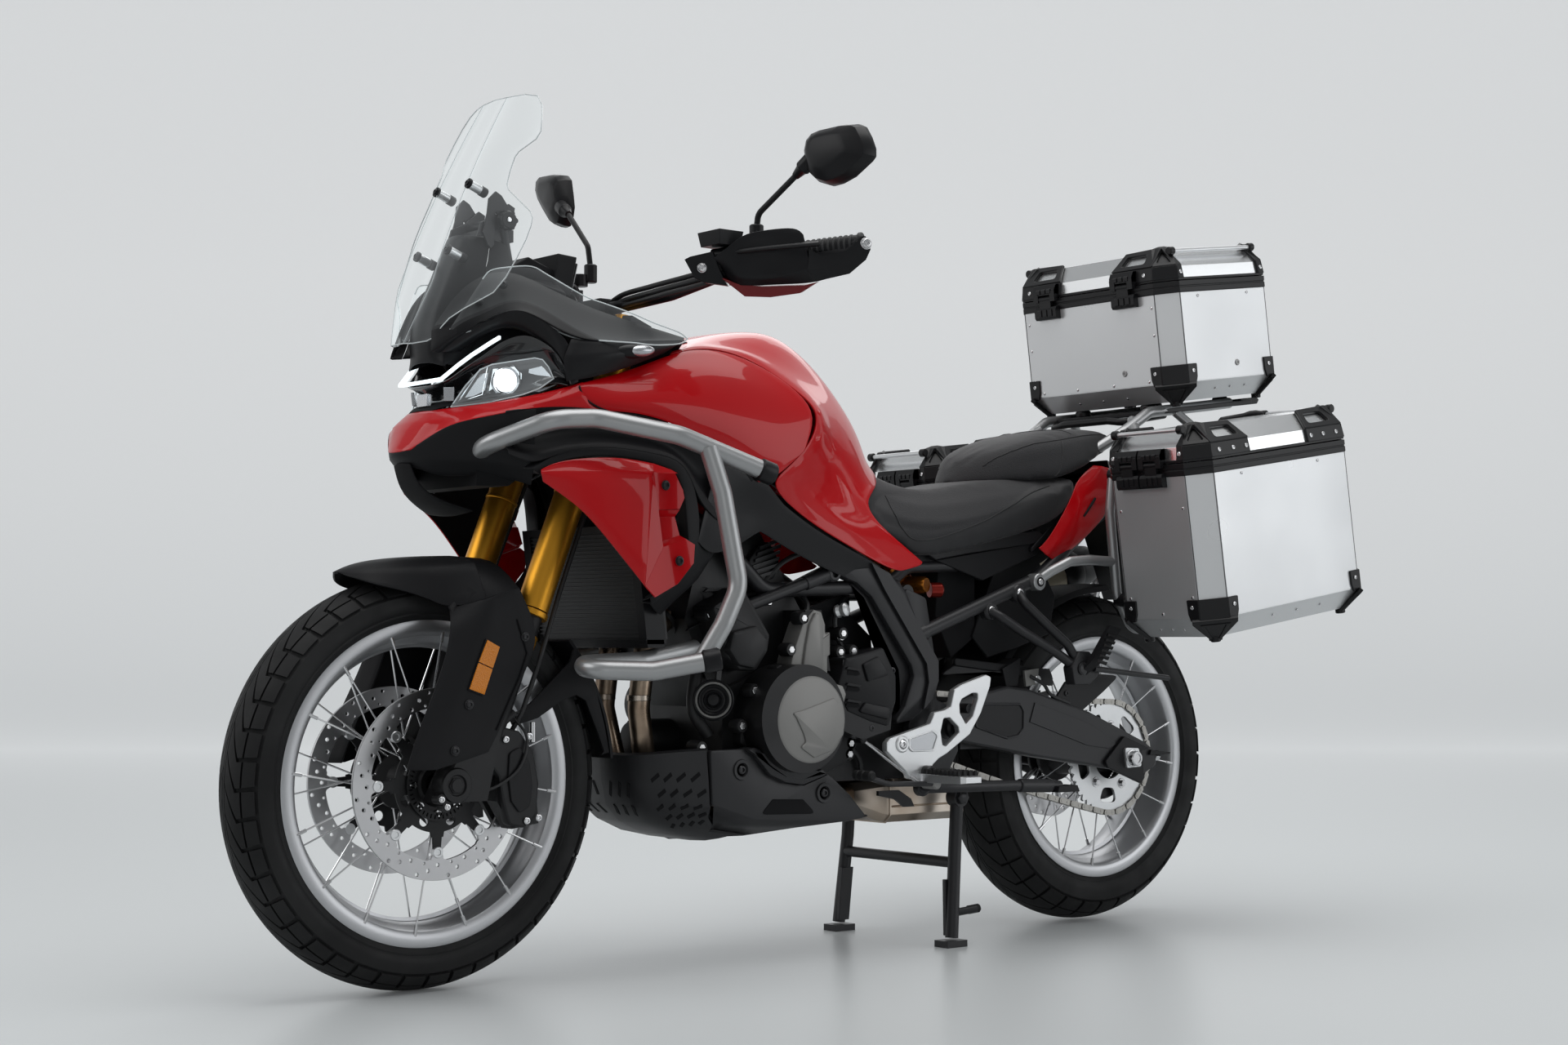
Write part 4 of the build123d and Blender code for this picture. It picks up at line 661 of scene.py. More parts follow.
T_CG_LOW = [(274, 489), (312, 507), (504, 486), (568, 466), (565, 485), (558, 498)]
T_FIN = [(561, 435), (596, 474), (673, 489), (745, 484), (701, 454), (623, 407)]
T_PBOLT = [(375, 608), (448, 642), (493, 663)]
T_PBLOCK = [(522, 504), (543, 535), (570, 534), (601, 505), (590, 486), (570, 472), (529, 472)]
T_RPP = [(131, 379), (184, 391), (195, 384), (184, 359), (139, 359), (131, 365)]
T_TAILP = [[(682, -122, 894), (628, -132, 866), (604, -142, 832), (572, -147, 794), (546, -147, 761), (525, -145, 738), (512, -142, 728)], [(699, -128, 893), (661, -138, 862), (627, -148, 819), (589, -153, 780), (559, -153, 743), (535, -151, 724), (525, -148, 715)], [(734, -120, 890), (727, -130, 856), (706, -140, 808), (673, -145, 779), (639, -145, 754), (602, -143, 728), (560, -140, 702)]]
T_SEAM_R = [(159, -110, 821), (160, -128, 777), (184, -140, 738), (249, -146, 740), (360, -150, 774), (437, -148, 808), (494, -142, 837), (551, -136, 858)]
T_SEAM_P1 = [(380, -104, 916), (441, -106, 923), (528, -108, 936), (600, -108, 940), (691, -104, 951), (761, -96, 959)]
T_SEAM_P2 = [(605, -110, 936), (594, -124, 907), (578, -134, 877), (564, -138, 865)]
T_BRK = [(77, 374), (86, 382), (180, 405), (191, 425), (217, 429), (230, 434), (239, 465), (258, 474), (319, 491), (331, 487), (328, 470), (305, 422), (277, 384), (220, 351), (201, 343), (186, 332), (184, 316), (158, 306), (131, 309), (122, 323), (77, 360)]
T_BRK_H1 = [(283, 458), (297, 458), (297, 448), (284, 416), (268, 402), (253, 423), (252, 439), (258, 448)]
T_BRK_H2 = [(213, 414), (228, 415), (249, 398), (251, 388), (219, 364), (210, 367), (206, 390)]
def plate2d(loops, t, bev=0.0):
    """Flat plate from an outline and its holes (local x, y), t thick, centred on local z = 0."""
    cu = bpy.data.curves.new("tmp", "CURVE")
    cu.dimensions = "2D"; cu.fill_mode = "BOTH"
    cu.extrude = t / 2 - bev; cu.bevel_depth = bev; cu.bevel_resolution = 1; cu.offset = -bev
    for lp in loops:
        sp = cu.splines.new("POLY"); sp.points.add(len(lp) - 1)
        for i, q in enumerate(lp):
            sp.points[i].co = (q[0], q[1], 0, 1)
        sp.use_cyclic_u = True
    ob = bpy.data.objects.new("tmp", cu)
    me = ob.to_mesh()
    vs = [tuple(v.co) for v in me.vertices]
    fs = [list(p.vertices) for p in me.polygons]
    ob.to_mesh_clear()
    bpy.data.objects.remove(ob); bpy.data.curves.remove(cu)
    return vs, fs


def place(vf, o, ux, uy):
    """Local x, y, z of a plate laid along ux, uy and across both."""
    o, ux, uy = Vector(o), Vector(ux).normalized(), Vector(uy).normalized()
    uz = ux.cross(uy)
    return [tuple(o + ux * x + uy * y + uz * z) for x, y, z in vf[0]], vf[1]


def side_plate(bag, loops, y, t, mat, bev=1.0, mirror=False):
    """Plate with outline and holes given as (X, Z), its middle at Y = y."""
    vs, fs = plate2d(loops, t, bev)
    vs = [(x, y - z, w) for x, w, z in vs]
    bag.add((vs, fs), mat, mirror=mirror)


def circ(x, z, r, n=24, a0=0.0):
    return [(x + r * math.cos(a0 + 2 * math.pi * i / n), z + r * math.sin(a0 + 2 * math.pi * i / n)) for i in range(n)]


def slot2(x0, z0, x1, z1, r, n=8):
    a = math.atan2(z1 - z0, x1 - x0)
    out = [(x1 + r * math.cos(a - math.pi / 2 + math.pi * i / n), z1 + r * math.sin(a - math.pi / 2 + math.pi * i / n)) for i in range(n + 1)]
    return out + [(x0 + r * math.cos(a + math.pi / 2 + math.pi * i / n), z0 + r * math.sin(a + math.pi / 2 + math.pi * i / n)) for i in range(n + 1)]


def rnd(pts, r, n=5):
    """Outline with its corners rounded."""
    out = []
    m = len(pts)
    for i in range(m):
        a, b, c = Vector((*pts[i - 1], 0)), Vector((*pts[i], 0)), Vector((*pts[(i + 1) % m], 0))
        u, v = (a - b), (c - b)
        lu, lv = u.length, v.length
        u.normalize(); v.normalize()
        ang = u.angle(v, 3.14)
        rr = r[i] if isinstance(r, (list, tuple)) else r
        if rr <= 0 or ang > 3.05:
            out.append((b.x, b.y)); continue
        t = min(rr / math.tan(ang / 2), lu * 0.48, lv * 0.48)
        s, e = b + u * t, b + v * t
        for k in range(n + 1):
            w = k / n
            q = s * (1 - w) ** 2 + b * 2 * w * (1 - w) + e * w ** 2
            out.append((q.x, q.y))
    return out


# ---------------------------------------------------------------- tyres
def tyre(name, body, xc, zc, R, Rc, S, flange, yb, bulge, pitches, s_long, s_kink, diag, replaces):
    depth = 5.0
    bag = Bag(name, body)

    def at(t, s, h):
        phi = s / Rc
        r = R - Rc * (1 - math.cos(phi)) + h * math.cos(phi)
        y = Rc * math.sin(phi) + h * math.sin(phi)
        a = t / R
        return (xc + r * math.cos(a), y, zc + r * math.sin(a))
    prof = []
    n = 18
    for i in range(n + 1):
        s = -S + 2 * S * i / n
        phi = s / Rc
        prof.append((R - Rc * (1 - math.cos(phi)) - depth * math.cos(phi), Rc * math.sin(phi) - depth * math.sin(phi)))
    rs, ys = prof[-1]
    side = [(rs - 3, ys + 4.5), (rs * 0.62 + flange * 0.38, bulge), (rs * 0.42 + flange * 0.58, bulge - 0.6), (flange + 15, bulge - 4), (flange + 12, bulge - 3.4),
            (flange + 8, yb + 4.4), (flange + 1.5, yb + 2.0), (flange - 4, yb - 1.5), (flange - 10, yb - 6)]
    full = [(r, -y) for r, y in reversed(side)] + prof + side
    bag.add(wheel_turn(full, xc, zc, 160, False), "rubber")
    # tread blocks, laid out flat as (distance round, distance across), then bent over the crown
    p = 2 * math.pi * R / pitches
    g = 6.4

    def path(s):
        if s >= s_kink:
            return -3.0 * (s - s_kink) / (S - s_kink)
        return -(s_kink - s) / (s_kink - 5.0) * diag

    def block(poly, side, t0):
        bm = bmesh.new()
        vv = [bm.verts.new((t, s, 0)) for t, s in poly]
        bm.faces.new(vv)
        lo, hi = min(q[0] for q in poly), max(q[0] for q in poly)
        k = math.ceil(lo / 13.0) * 13.0
        while k < hi:
            bmesh.ops.bisect_plane(bm, geom=bm.verts[:] + bm.edges[:] + bm.faces[:], plane_co=(k, 0, 0), plane_no=(1, 0, 0), dist=0.01)
            k += 13.0
        lo, hi = min(q[1] for q in poly), max(q[1] for q in poly)
        k = math.ceil(lo / 8.0) * 8.0
        while k < hi:
            bmesh.ops.bisect_plane(bm, geom=bm.verts[:] + bm.edges[:] + bm.faces[:], plane_co=(0, k, 0), plane_no=(0, 1, 0), dist=0.01)
            k += 8.0
        bm.verts.index_update()
        vs = [tuple(v.co) for v in bm.verts]
        fs = [[v.index for v in f.verts] for f in bm.faces]
        be = [(e.verts[0].index, e.verts[1].index) for e in bm.edges if e.is_boundary]
        # walls follow the direction of the face they belong to
        walls = []
        for e in bm.edges:
            if e.is_boundary:
                l = e.link_loops[0]
                a, b = l.vert.index, l.link_loop_next.vert.index
                walls.append((a, b))
        bm.free()
        area = 0.0
        for f in fs[:1]:
            for i in range(len(f)):
                a, b = vs[f[i]], vs[f[(i + 1) % len(f)]]
                area += a[0] * b[1] - a[1] * b[0]
        top = [at(t0 + t, side * s, 0.0) for t, s, _ in vs]
        o = len(top)
        inset = [at(t0 + t, side * s, -depth - 0.6) for t, s, _ in vs]
        flip = (area > 0) == (side > 0)
        F = [f[::-1] if flip else f for f in fs]
        bag.add((top, F), "rubber")
        wv, wf = [], []
        for a, b in walls:
            k = len(wv)
            wv += [top[a], top[b], inset[b], inset[a]]
            q = [k, k + 3, k + 2, k + 1]
            wf.append(q[::-1] if flip else q)
        bag.add((wv, wf), "rubber", smooth=False)
    for side in (-1, 1):
        for k in range(pitches):
            t0 = k * p + (p / 2 if side > 0 else 0)
            # shoulder block
            s1, s2 = s_long + 1.6, S
            L = [(path(s1) + g / 2, s1), (path(S) + g / 2 + 1.0, s2)]
            Rr = [(p + path(S) - g / 2 - 1.0, s2), (p + path(s1) - g / 2, s1)]
            block(L + Rr, side, t0)
            # block between the long groove and the middle, cut by the slanting sipe
            s0, s1 = 3.6, s_long - 1.5
            L = [(path(s0) + 1.4, s0), (path(s0 + 6) + g * 0.4, s0 + 6), (path(s_kink) + g * 0.55, s_kink), (path(s1) + g * 0.5, s1)]
            Rr = [(p + path(s1) - g * 0.5, s1), (p + path(s_kink) - g * 0.5, s_kink + 1.2), (p + path(s0 + 6) - g * 0.4, s0 + 6), (p + path(s0) - 1.4, s0)]
            block(L + Rr, side, t0)
    # the unbroken strip along the middle
    st = [(-2.2, 0), (-1.1, 0), (0, 0), (1.1, 0), (2.2, 0)]
    ring = []
    for s, h in st:
        phi = s / Rc
        ring.append((R - Rc * (1 - math.cos(phi)), Rc * math.sin(phi)))
    bag.add(wheel_turn([(ring[0][0] - depth, ring[0][1])] + ring + [(ring[-1][0] - depth, ring[-1][1])], xc, zc, 160, False), "rubber")
    ob = bag.make(sharp=40, slot="tyre", replaces=replaces)
    return ob


tyre("front_tyre_tread", "front_wheel", XF, ZF, 329.0, 66.0, 60.0, 255.0, 44.0, 55.6, 44, 38.0, 27.0, 54.0, ("front_tyre",))
tyre("rear_tyre_tread", "rear_wheel", XR, ZR, 321.0, 92.0, 82.0, 232.5, 62.0, 74.6, 36, 52.0, 35.0, 60.0, ("rear_tyre",))


# ---------------------------------------------------------------- wheels
def rim(name, body, xc, zc, prof, mats):
    bag = Bag(name, body)
    bag.add(wheel_turn(prof, xc, zc, 144), "rim")
    return bag


FRP = [(258, -47.5), (255, -48.5), (246, -48.5), (238, -47.5), (233, -44), (231, -36), (225.5, -27), (221, -17), (219.5, -6), (219.5, 6), (221, 17), (225.5, 27),
       (231, 36), (233, 44), (238, 47.5), (246, 48.5), (255, 48.5), (258, 47.5), (258, 44.5), (252, 43), (244, 41.5), (238, 24), (229, 14), (229, -14), (238, -24),
       (244, -41.5), (252, -43), (258, -44.5)]
fw = rim("front_rim", "front_wheel", XF, ZF, FRP, None)
RRP = [(236, -66.5), (233, -67.5), (224, -67.5), (216, -66.5), (211, -62), (208.5, -52), (202, -40), (198, -26), (196.5, -8), (196.5, 8), (198, 26), (202, 40),
       (208.5, 52), (211, 62), (216, 66.5), (224, 67.5), (233, 67.5), (236, 66.5), (236, 63), (229, 61), (221, 59.5), (215, 36), (206, 24), (206, -24), (215, -36),
       (221, -59.5), (229, -61), (236, -63)]
rw = rim("rear_rim", "rear_wheel", XR, ZR, RRP, None)


def ridge(bag, xc, zc, r0, r1, y, w):
    bag.add(wheel_turn([(r1, y - w), (r0, y - w * 0.6), (r0, y + w * 0.6), (r1, y + w)], xc, zc, 128), "rim")


ridge(fw, XF, ZF, 214.5, 221, 0, 5)
ridge(rw, XR, ZR, 190.5, 198, 0, 7)


def spokes(bag, xc, zc, n, hr, hy, rr, ry, off):
    """Wire spokes in crossing pairs from the hub flanges to the edges of the rim."""
    for k in range(n):
        s = -1 if k % 2 else 1
        a = 2 * math.pi * (k + 0.5) / n
        d = off if (k // 2) % 2 else -off
        hub = (xc + hr * math.cos(a + d), s * hy, zc + hr * math.sin(a + d))
        out = (xc + rr * math.cos(a), s * ry, zc + rr * math.sin(a))
        bag.add(cyl(hub, out, 1.55, n=8), "spoke")
        h, o = Vector(hub), Vector(out)
        u = (o - h).normalized()
        bag.add(cyl(o - u * 17, o, 3.0, n=8), "bolt")
        bag.add(cyl(h - u * 3, h + u * 7, 3.2, n=8), "bolt")


spokes(fw, XF, ZF, 32, 40, 46, 240, 45.5, 0.42)
spokes(rw, XR, ZR, 32, 48, 54, 217, 63, 0.40)
# hubs
fw.add(wheel_turn([(17, -66), (26, -66), (30, -56), (46, -50), (46, -42), (32, -34), (26, -12), (26, 12), (32, 34), (46, 42), (46, 50), (30, 56), (26, 66), (17, 66)], XF, ZF, 48), "engine")
rw.add(wheel_turn([(17, -70), (30, -70), (34, -62), (56, -58), (56, -50), (40, -44), (38, -14), (38, 14), (40, 44), (52, 50), (52, 58), (34, 62), (30, 70), (17, 70)], XR, ZR, 48), "engine")
rw.add(wheel_turn([(58, -80), (78, -80), (84, -70), (84, -60), (58, -58)], XR, ZR, 48), "engine")
for k in range(5):
    a = 2 * math.pi * k / 5 + 0.3
    rw.add(cyl((XR + 78 * math.cos(a), -60, ZR + 78 * math.sin(a)), (XR + 78 * math.cos(a), -84, ZR + 78 * math.sin(a)), 14), "engine")
# tyre valve, behind the fork leg
a = math.radians(62)
fw.add(cyl((XF + 222 * math.cos(a), 22, ZF + 222 * math.sin(a)), (XF + 196 * math.cos(a), 26, ZF + 196 * math.sin(a)), 4), "plastic_s")
# rear brake disc with its holes
n = 72
outer = [(XR + (125 + 1.6 * math.cos(9 * 2 * math.pi * i / 144)) * math.cos(2 * math.pi * i / 144), ZR + (125 + 1.6 * math.cos(9 * 2 * math.pi * i / 144)) * math.sin(2 * math.pi * i / 144)) for i in range(144)]
holes = [circ(XR, ZR, 92, 72)]
for k in range(36):
    a = 2 * math.pi * k / 36
    r = (101, 110, 118)[k % 3]
    holes.append(circ(XR + r * math.cos(a), ZR + r * math.sin(a), 3.4, 10))
side_plate(rw, [outer] + holes, 75.5, 5, "disc", 0.5)
for k in range(5):
    a = 2 * math.pi * k / 5
    rw.add(cyl((XR + 46 * math.cos(a), 75.5, ZR + 46 * math.sin(a)), (XR + 98 * math.cos(a), 75.5, ZR + 98 * math.sin(a)), 6), "disc")
side_plate(rw, [circ(XR, ZR, 58, 48), circ(XR, ZR, 30, 36)], 74, 6, "engine", 0.8)
fw.make(bevel=0.0, sharp=38, slot="wheel_silver", replaces=("front_wheel",))
rw.make(bevel=0.0, sharp=38, slot="wheel_silver", replaces=("rear_wheel",))

# front discs: drilled rings on black carriers, held by silver bobbins
fd = Bag("front_disc_rings", "front_wheel")
NB = 8
for s in (-1, 1):
    out = [(XF + 151 * math.cos(2 * math.pi * i / 120), ZF + 151 * math.sin(2 * math.pi * i / 120)) for i in range(120)]
    inn = []
    for i in range(NB * 24):
        a = 2 * math.pi * i / (NB * 24)
        u = (i % 24) / 24.0
        d = min(u, 1 - u) * 24
        r = 106 if d < 2 else (110 if d < 3 else (118 if d < 4 else 120))
        inn.append((XF + r * math.cos(a), ZF + r * math.sin(a)))
    hl = []
    for k in range(48):
        a = 2 * math.pi * k / 48
        r = (126.5, 136, 144.5)[(k * 2) % 3]
        hl.append(circ(XF + r * math.cos(a), ZF + r * math.sin(a), 3.3, 10))
    for k in range(NB * 2):
        a = 2 * math.pi * (k + 0.5) / (NB * 2)
        hl.append(circ(XF + 125 * math.cos(a), ZF + 125 * math.sin(a), 2.4, 8))
    side_plate(fd, [out, inn] + hl, s * 72.6, 5, "disc", 0.4)
    # carrier
    star = []
    for i in range(NB * 24):
        a = 2 * math.pi * i / (NB * 24)
        u = (i % 24) / 24.0
        d = min(u, 1 - u) * 24
        r = 108 if d < 1.5 else (104 if d < 2.6 else (84 if d < 5 else 76))
        star.append((XF + r * math.cos(a), ZF + r * math.sin(a)))
    win = []
    for k in range(NB):
        a = 2 * math.pi * (k + 0.5) / NB
        win.append(circ(XF + 62 * math.cos(a), ZF + 62 * math.sin(a), 8.5, 14))
    side_plate(fd, [star, circ(XF, ZF, 36, 40)] + win, s * 71.5, 4, "engine", 0.6)
    for k in range(NB):
        a = 2 * math.pi * k / NB
        c, w = math.cos(a), math.sin(a)
        fd.add(turn((XF + 107 * c, s * 68.5, ZF + 107 * w), (0, s, 0), [(4.2, 0), (9, 0), (9, 7.5), (8.2, 8.4), (5, 8.4), (4.4, 7.0)], 22), "silver")
        fd.add(turn((XF + 46 * c, s * 70, ZF + 46 * w), (0, s, 0), [(6.2, 0), (6.2, 7), (5.2, 8.2), (3, 8.2), (2.6, 5), (0.02, 5)], 16), "bolt")
    # slotted ring for the wheel speed sensor, on the left
    if s < 0:
        rg = [circ(XF, ZF, 58, 72), circ(XF, ZF, 44, 60)]
        for k in range(44):
            a = 2 * math.pi * k / 44
            rg.append(slot2(XF + 49 * math.cos(a), ZF + 49 * math.sin(a), XF + 54 * math.cos(a), ZF + 54 * math.sin(a), 1.3, 3))
        side_plate(fd, rg, -77.4, 1.6, "engine", 0)
fd.make(sharp=30, slot="disc_steel", replaces=("front_discs",))

# rear sprocket
sp = Bag("rear_sprocket_plate", "rear_wheel")
NT = 42
out = []
for i in range(NT * 6):
    a = 2 * math.pi * i / (NT * 6)
    u = (i % 6) / 6.0
    out.append((XR + (111.5 if u in (2 / 6, 3 / 6, 4 / 6) else (107 if u in (1 / 6, 5 / 6) else 104)) * math.cos(a), ZR + (111.5 if u in (2 / 6, 3 / 6, 4 / 6) else (107 if u in (1 / 6, 5 / 6) else 104)) * math.sin(a)))
hl = [circ(XR, ZR, 42, 48)]
for k in range(5):
    a = 2 * math.pi * (k + 0.5) / 5 + 0.25
    hl.append(rnd([(XR + r * math.cos(a + d), ZR + r * math.sin(a + d)) for r, d in ((62, -0.24), (92, -0.27), (92, 0.27), (62, 0.24))], 12, 6))
side_plate(sp, [out] + hl, -90, 6.5, "silver", 0.8)
for k in range(5):
    a = 2 * math.pi * k / 5 + 0.25
    q = (XR + 62 * math.cos(a), -93, ZR + 62 * math.sin(a))
    sp.add(turn(q, (0, -1, 0), [(10, 0), (10, 1.2), (9.4, 1.6)], 20), "bolt")
    bolt(sp, (q[0], -94.2, q[2]), (0, -1, 0), 6.8, "hex", "bolt", 6)
sp.make(sharp=30, slot="cast_silver", replaces=("rear_sprocket",))


# ---------------------------------------------------------------- chain
def chain():
    FSX, FSZ, FR = 118.0, 432.0, 37.0
    SR = 108.5
    d = math.hypot(XR - FSX, ZR - FSZ)
    base = math.atan2(ZR - FSZ, XR - FSX)
    k = math.asin((SR - FR) / d)
    pts = []
    # top run, round the rear sprocket, bottom run, round the front one
    def on(cx, cz, r, a):
        return (cx + r * math.cos(a), cz + r * math.sin(a))
    at = base + math.pi / 2 + k
    ab = base - math.pi / 2 - k
    n = 60
    p0, p1 = on(FSX, FSZ, FR, at), on(XR, ZR, SR, at)
    for i in range(n):
        w = i / n
        pts.append((p0[0] + (p1[0] - p0[0]) * w, p0[1] + (p1[1] - p0[1]) * w - 5 * math.sin(math.pi * w)))
    a0, a1 = at, ab
    while a1 > a0:
        a1 -= 2 * math.pi
    for i in range(n):
        pts.append(on(XR, ZR, SR, a0 + (a1 - a0) * i / n))
    p0, p1 = on(XR, ZR, SR, ab), on(FSX, FSZ, FR, ab)
    for i in range(n):
        w = i / n
        pts.append((p0[0] + (p1[0] - p0[0]) * w, p0[1] + (p1[1] - p0[1]) * w - 11 * math.sin(math.pi * w)))
    a0, a1 = ab, at
    while a1 > a0:
        a1 -= 2 * math.pi
    for i in range(n // 2):
        pts.append(on(FSX, FSZ, FR, a0 + (a1 - a0) * i / (n // 2)))
    L = [0.0]
    for i in range(len(pts)):
        a, b = pts[i], pts[(i + 1) % len(pts)]
        L.append(L[-1] + math.hypot(b[0] - a[0], b[1] - a[1]))
    total = L[-1]
    m = int(round(total / 15.875 / 2)) * 2
    step = total / m

    def where(t):
        t %= total
        i = 0
        lo, hi = 0, len(pts)
        while hi - lo > 1:
            mid = (lo + hi) // 2
            if L[mid] <= t:
                lo = mid
            else:
                hi = mid
        a, b = pts[lo], pts[(lo + 1) % len(pts)]
        w = (t - L[lo]) / max(1e-9, L[lo + 1] - L[lo])
        return Vector((a[0] + (b[0] - a[0]) * w, 0, a[1] + (b[1] - a[1]) * w))
    bag = Bag("drive_chain_links", "chassis")
    lx = []
    for i in range(14):
        a = 2 * math.pi * i / 14
        c = math.cos(a)
        lx.append((7.94 * (1 if c > 0 else -1) + 6.6 * c, 6.6 * math.sin(a)) if abs(c) > 0.3 else (7.94 * c * 1.4, 5.3 * (1 if math.sin(a) > 0 else -1)))
    for i in range(m):
        p, q = where(i * step), where((i + 1) * step)
        u = (q - p).normalized()
        w = Vector((-u.z, 0, u.x))
        c = (p + q) / 2
        yo = 7.2 if i % 2 else 4.6
        for s in (-1, 1):
            o = [c + u * x + w * z for x, z in lx]
            bag.add(extrude([(v.x, -90 + s * yo - 0.95, v.z) for v in o], (0, 1.9, 0)), "chain", smooth=False)
        bag.add(cyl((p.x, -98.6, p.z), (p.x, -81.4, p.z), 2.9, n=10), "chain")
        bag.add(cyl((p.x, -93.5, p.z), (p.x, -86.5, p.z), 5.0, n=12), "chain")
    bag.make(sharp=30, slot="chain_steel", replaces=("drive_chain",))


chain()

# axle details
ax = Bag("rear_axle_ends", "chassis")
for s in (-1, 1):
    ax.add(turn((XR + 2, s * 140, ZR), (0, s, 0), [(10, 0), (15, 0), (15, 2.5), (14, 3)], 28), "bolt")
    bolt(ax, (XR + 2, s * 143, ZR), (0, s, 0), 13.5, "hex", "bolt", 9)
    ax.add(turn((XR + 2, s * 152, ZR), (0, s, 0), [(8, 0), (8, 4), (7, 5), (4, 5), (4, 1), (0.02, 1)], 20), "bolt")
    side_plate(ax, [rnd([(XR - 26, ZR + 15), (XR + 24, ZR + 15), (XR + 24, ZR - 15), (XR - 26, ZR - 15)], 4), circ(XR + 2, ZR, 10, 20)], s * 141.6, 3.0, "silver", 0.5)
    ax.add(cyl((XR + 40, s * 125, ZR), (XR + 20, s * 125, ZR), 4.5), "bolt")
ax.make(bevel=0.5, slot="cast_silver")
def mx(p):
    return (p[0], -p[1], p[2])


def lerp3(a, b, t):
    return tuple(a[i] + (b[i] - a[i]) * t for i in range(3))


def cols_to_rows(cols):
    return [list(r) for r in zip(*cols)]


# ---------------------------------------------------------------- red bodywork
tank_rows = cols_to_rows(T_TANK)
# the middle line of the tank carries on down to the seat; the skin is one sheet with its mirror image
sheet_grid("tank_skin", tank_rows, "chassis", "red", 3.0, 2, True, [("row", 2, 0.55), ("row", 3, 0.35)], replaces=("fuel_tank",), join=True)
cover_rows = cols_to_rows(T_COVER)
sheet_grid("cover_skin", cover_rows, "chassis", "red", 3.0, 2, True, [("row", 1, 0.35)], replaces=("tank_side_covers",))
strip = [[tuple(p) for p in c] for c in T_STRIP]
strip += [[(-748, -38, 921), (-765, -58, 899), (-785, -36, 856)], [(-754, 0, 922), (-774, 0, 902), (-797, 0, 853)]]
sheet_grid("beak_skin", cols_to_rows(strip), "chassis", "red", 3.0, 2, True, [("row", 1, 0.9), ("col", 6, 0.85)], replaces=("front_beak",), join=True)
beak_top = [[(-620, -164, 948), (-660, -138, 945), (-700, -100, 938), (-729, -58, 930), (-748, -36, 921)],
            [(-630, -60, 966), (-660, -56, 958), (-700, -48, 948), (-730, -36, 935), (-752, -18, 922)],
            [(-630, 0, 970), (-660, 0, 962), (-700, 0, 950), (-732, 0, 936), (-754, 0, 922)]]
sheet_grid("beak_roof", beak_top, "chassis", "dark", 2.0, 2, True, [], outward=(0, 0, 1), join=True)

sh = Bag("shroud_skins", "chassis")
# each shroud: a raised upper facet, a long side face and a recess at the rear edge
SHR = [  # along the panel: upper edge, crease, lower edge
    [(-655, -214, 821), (-657, -218, 817), (-652, -216, 802)],
    [(-628, -214, 835), (-626, -228, 817), (-612, -224, 777)],
    [(-569, -218, 844), (-570, -238, 815), (-577, -231, 752)],
    [(-510, -224, 847), (-524, -244, 820), (-522, -241, 690)],
    [(-452, -232, 839), (-464, -249, 823), (-478, -247, 641)],
]
sf_ = sheet_grid("shroud_front", cols_to_rows(SHR), "chassis", "red", 3.0, 2, True, [("row", 1, 0.85)], replaces=("radiator_shrouds",))
sf_.data.materials.append(M["plastic"])
sf_.modifiers["solid"].material_offset = 1
rear_face = [(-464, -249, 823), (-423, -252, 823), (-405, -249, 797), (-402, -249, 784), (-410, -247, 766), (-452, -247, 764), (-436, -247, 706),
             (-399, -249, 718), (-383, -252, 709), (-386, -253, 679), (-417, -252, 645), (-460, -250, 623), (-478, -247, 641)]
inw = (0, 3.5, 0)
sh.add(extrude([(-452, -232, 839), (-421, -238, 830), (-410, -242, 824), (-423, -252, 823), (-464, -249, 823)], inw), "red", False, True)
sh.add(extrude([(-464, -249, 823), (-423, -252, 823), (-405, -249, 797), (-402, -249, 784), (-410, -247, 766), (-478, -246, 762)], inw), "red", False, True)
sh.add(extrude([(-464, -249, 823), (-478, -246, 762), (-442, -246, 704), (-478, -247, 641)], inw), "red", False, True)
sh.add(extrude([(-442, -246, 704), (-399, -249, 718), (-383, -252, 709), (-386, -253, 679), (-417, -252, 645), (-460, -250, 623), (-478, -247, 641)], inw), "red", False, True)
sh.add(extrude([(-466, -234, 752), (-412, -236, 754), (-402, -236, 724), (-444, -234, 712)], inw), "red", False, True)
for a, b, c, d in (((-478, -246, 762), (-410, -247, 765), (-412, -236, 754), (-466, -234, 752)), ((-478, -246, 762), (-466, -234, 752), (-444, -234, 712), (-442, -246, 704)),
                   ((-442, -246, 704), (-444, -234, 712), (-402, -236, 724), (-399, -249, 718))):
    sh.add(([a, b, c, d], [[0, 1, 2, 3]]), "red", False, True)
for x, y, z in ((-441, -250.5, 803), (-415, -253, 682)):
    bolt(sh, (x, y, z), (0, -1, 0), 6.5, mirror=True, washer=8.2)
sh.make(bevel=1.2, angle=28)

# black surround: from the red edge down to the shroud, hollowed behind the bar
U = [(-684, -158, 914), (-636, -178, 923), (-582, -190, 926), (-533, -195, 922), (-502, -203, 921), (-457, -210, 918), (-403, -216, 906), (-346, -220, 884), (-297, -222, 862),
     (-262, -223, 843), (-238, -222, 822)]
Lw = [(-690, -176, 846), (-664, -205, 828), (-622, -205, 848), (-564, -210, 861), (-504, -215, 863), (-446, -224, 856), (-402, -230, 849), (-381, -235, 826), (-365, -236, 786),
      (-330, -226, 760), (-290, -214, 742)]
rows = [U, [(a[0] * .72 + b[0] * .28, a[1] + 20, a[2] * .72 + b[2] * .28) for a, b in zip(U, Lw)],
        [(a[0] * .4 + b[0] * .6, a[1] + 26, a[2] * .4 + b[2] * .6) for a, b in zip(U, Lw)],
        [(a[0] * .14 + b[0] * .86, b[1] + 5, a[2] * .14 + b[2] * .86) for a, b in zip(U, Lw)], Lw]
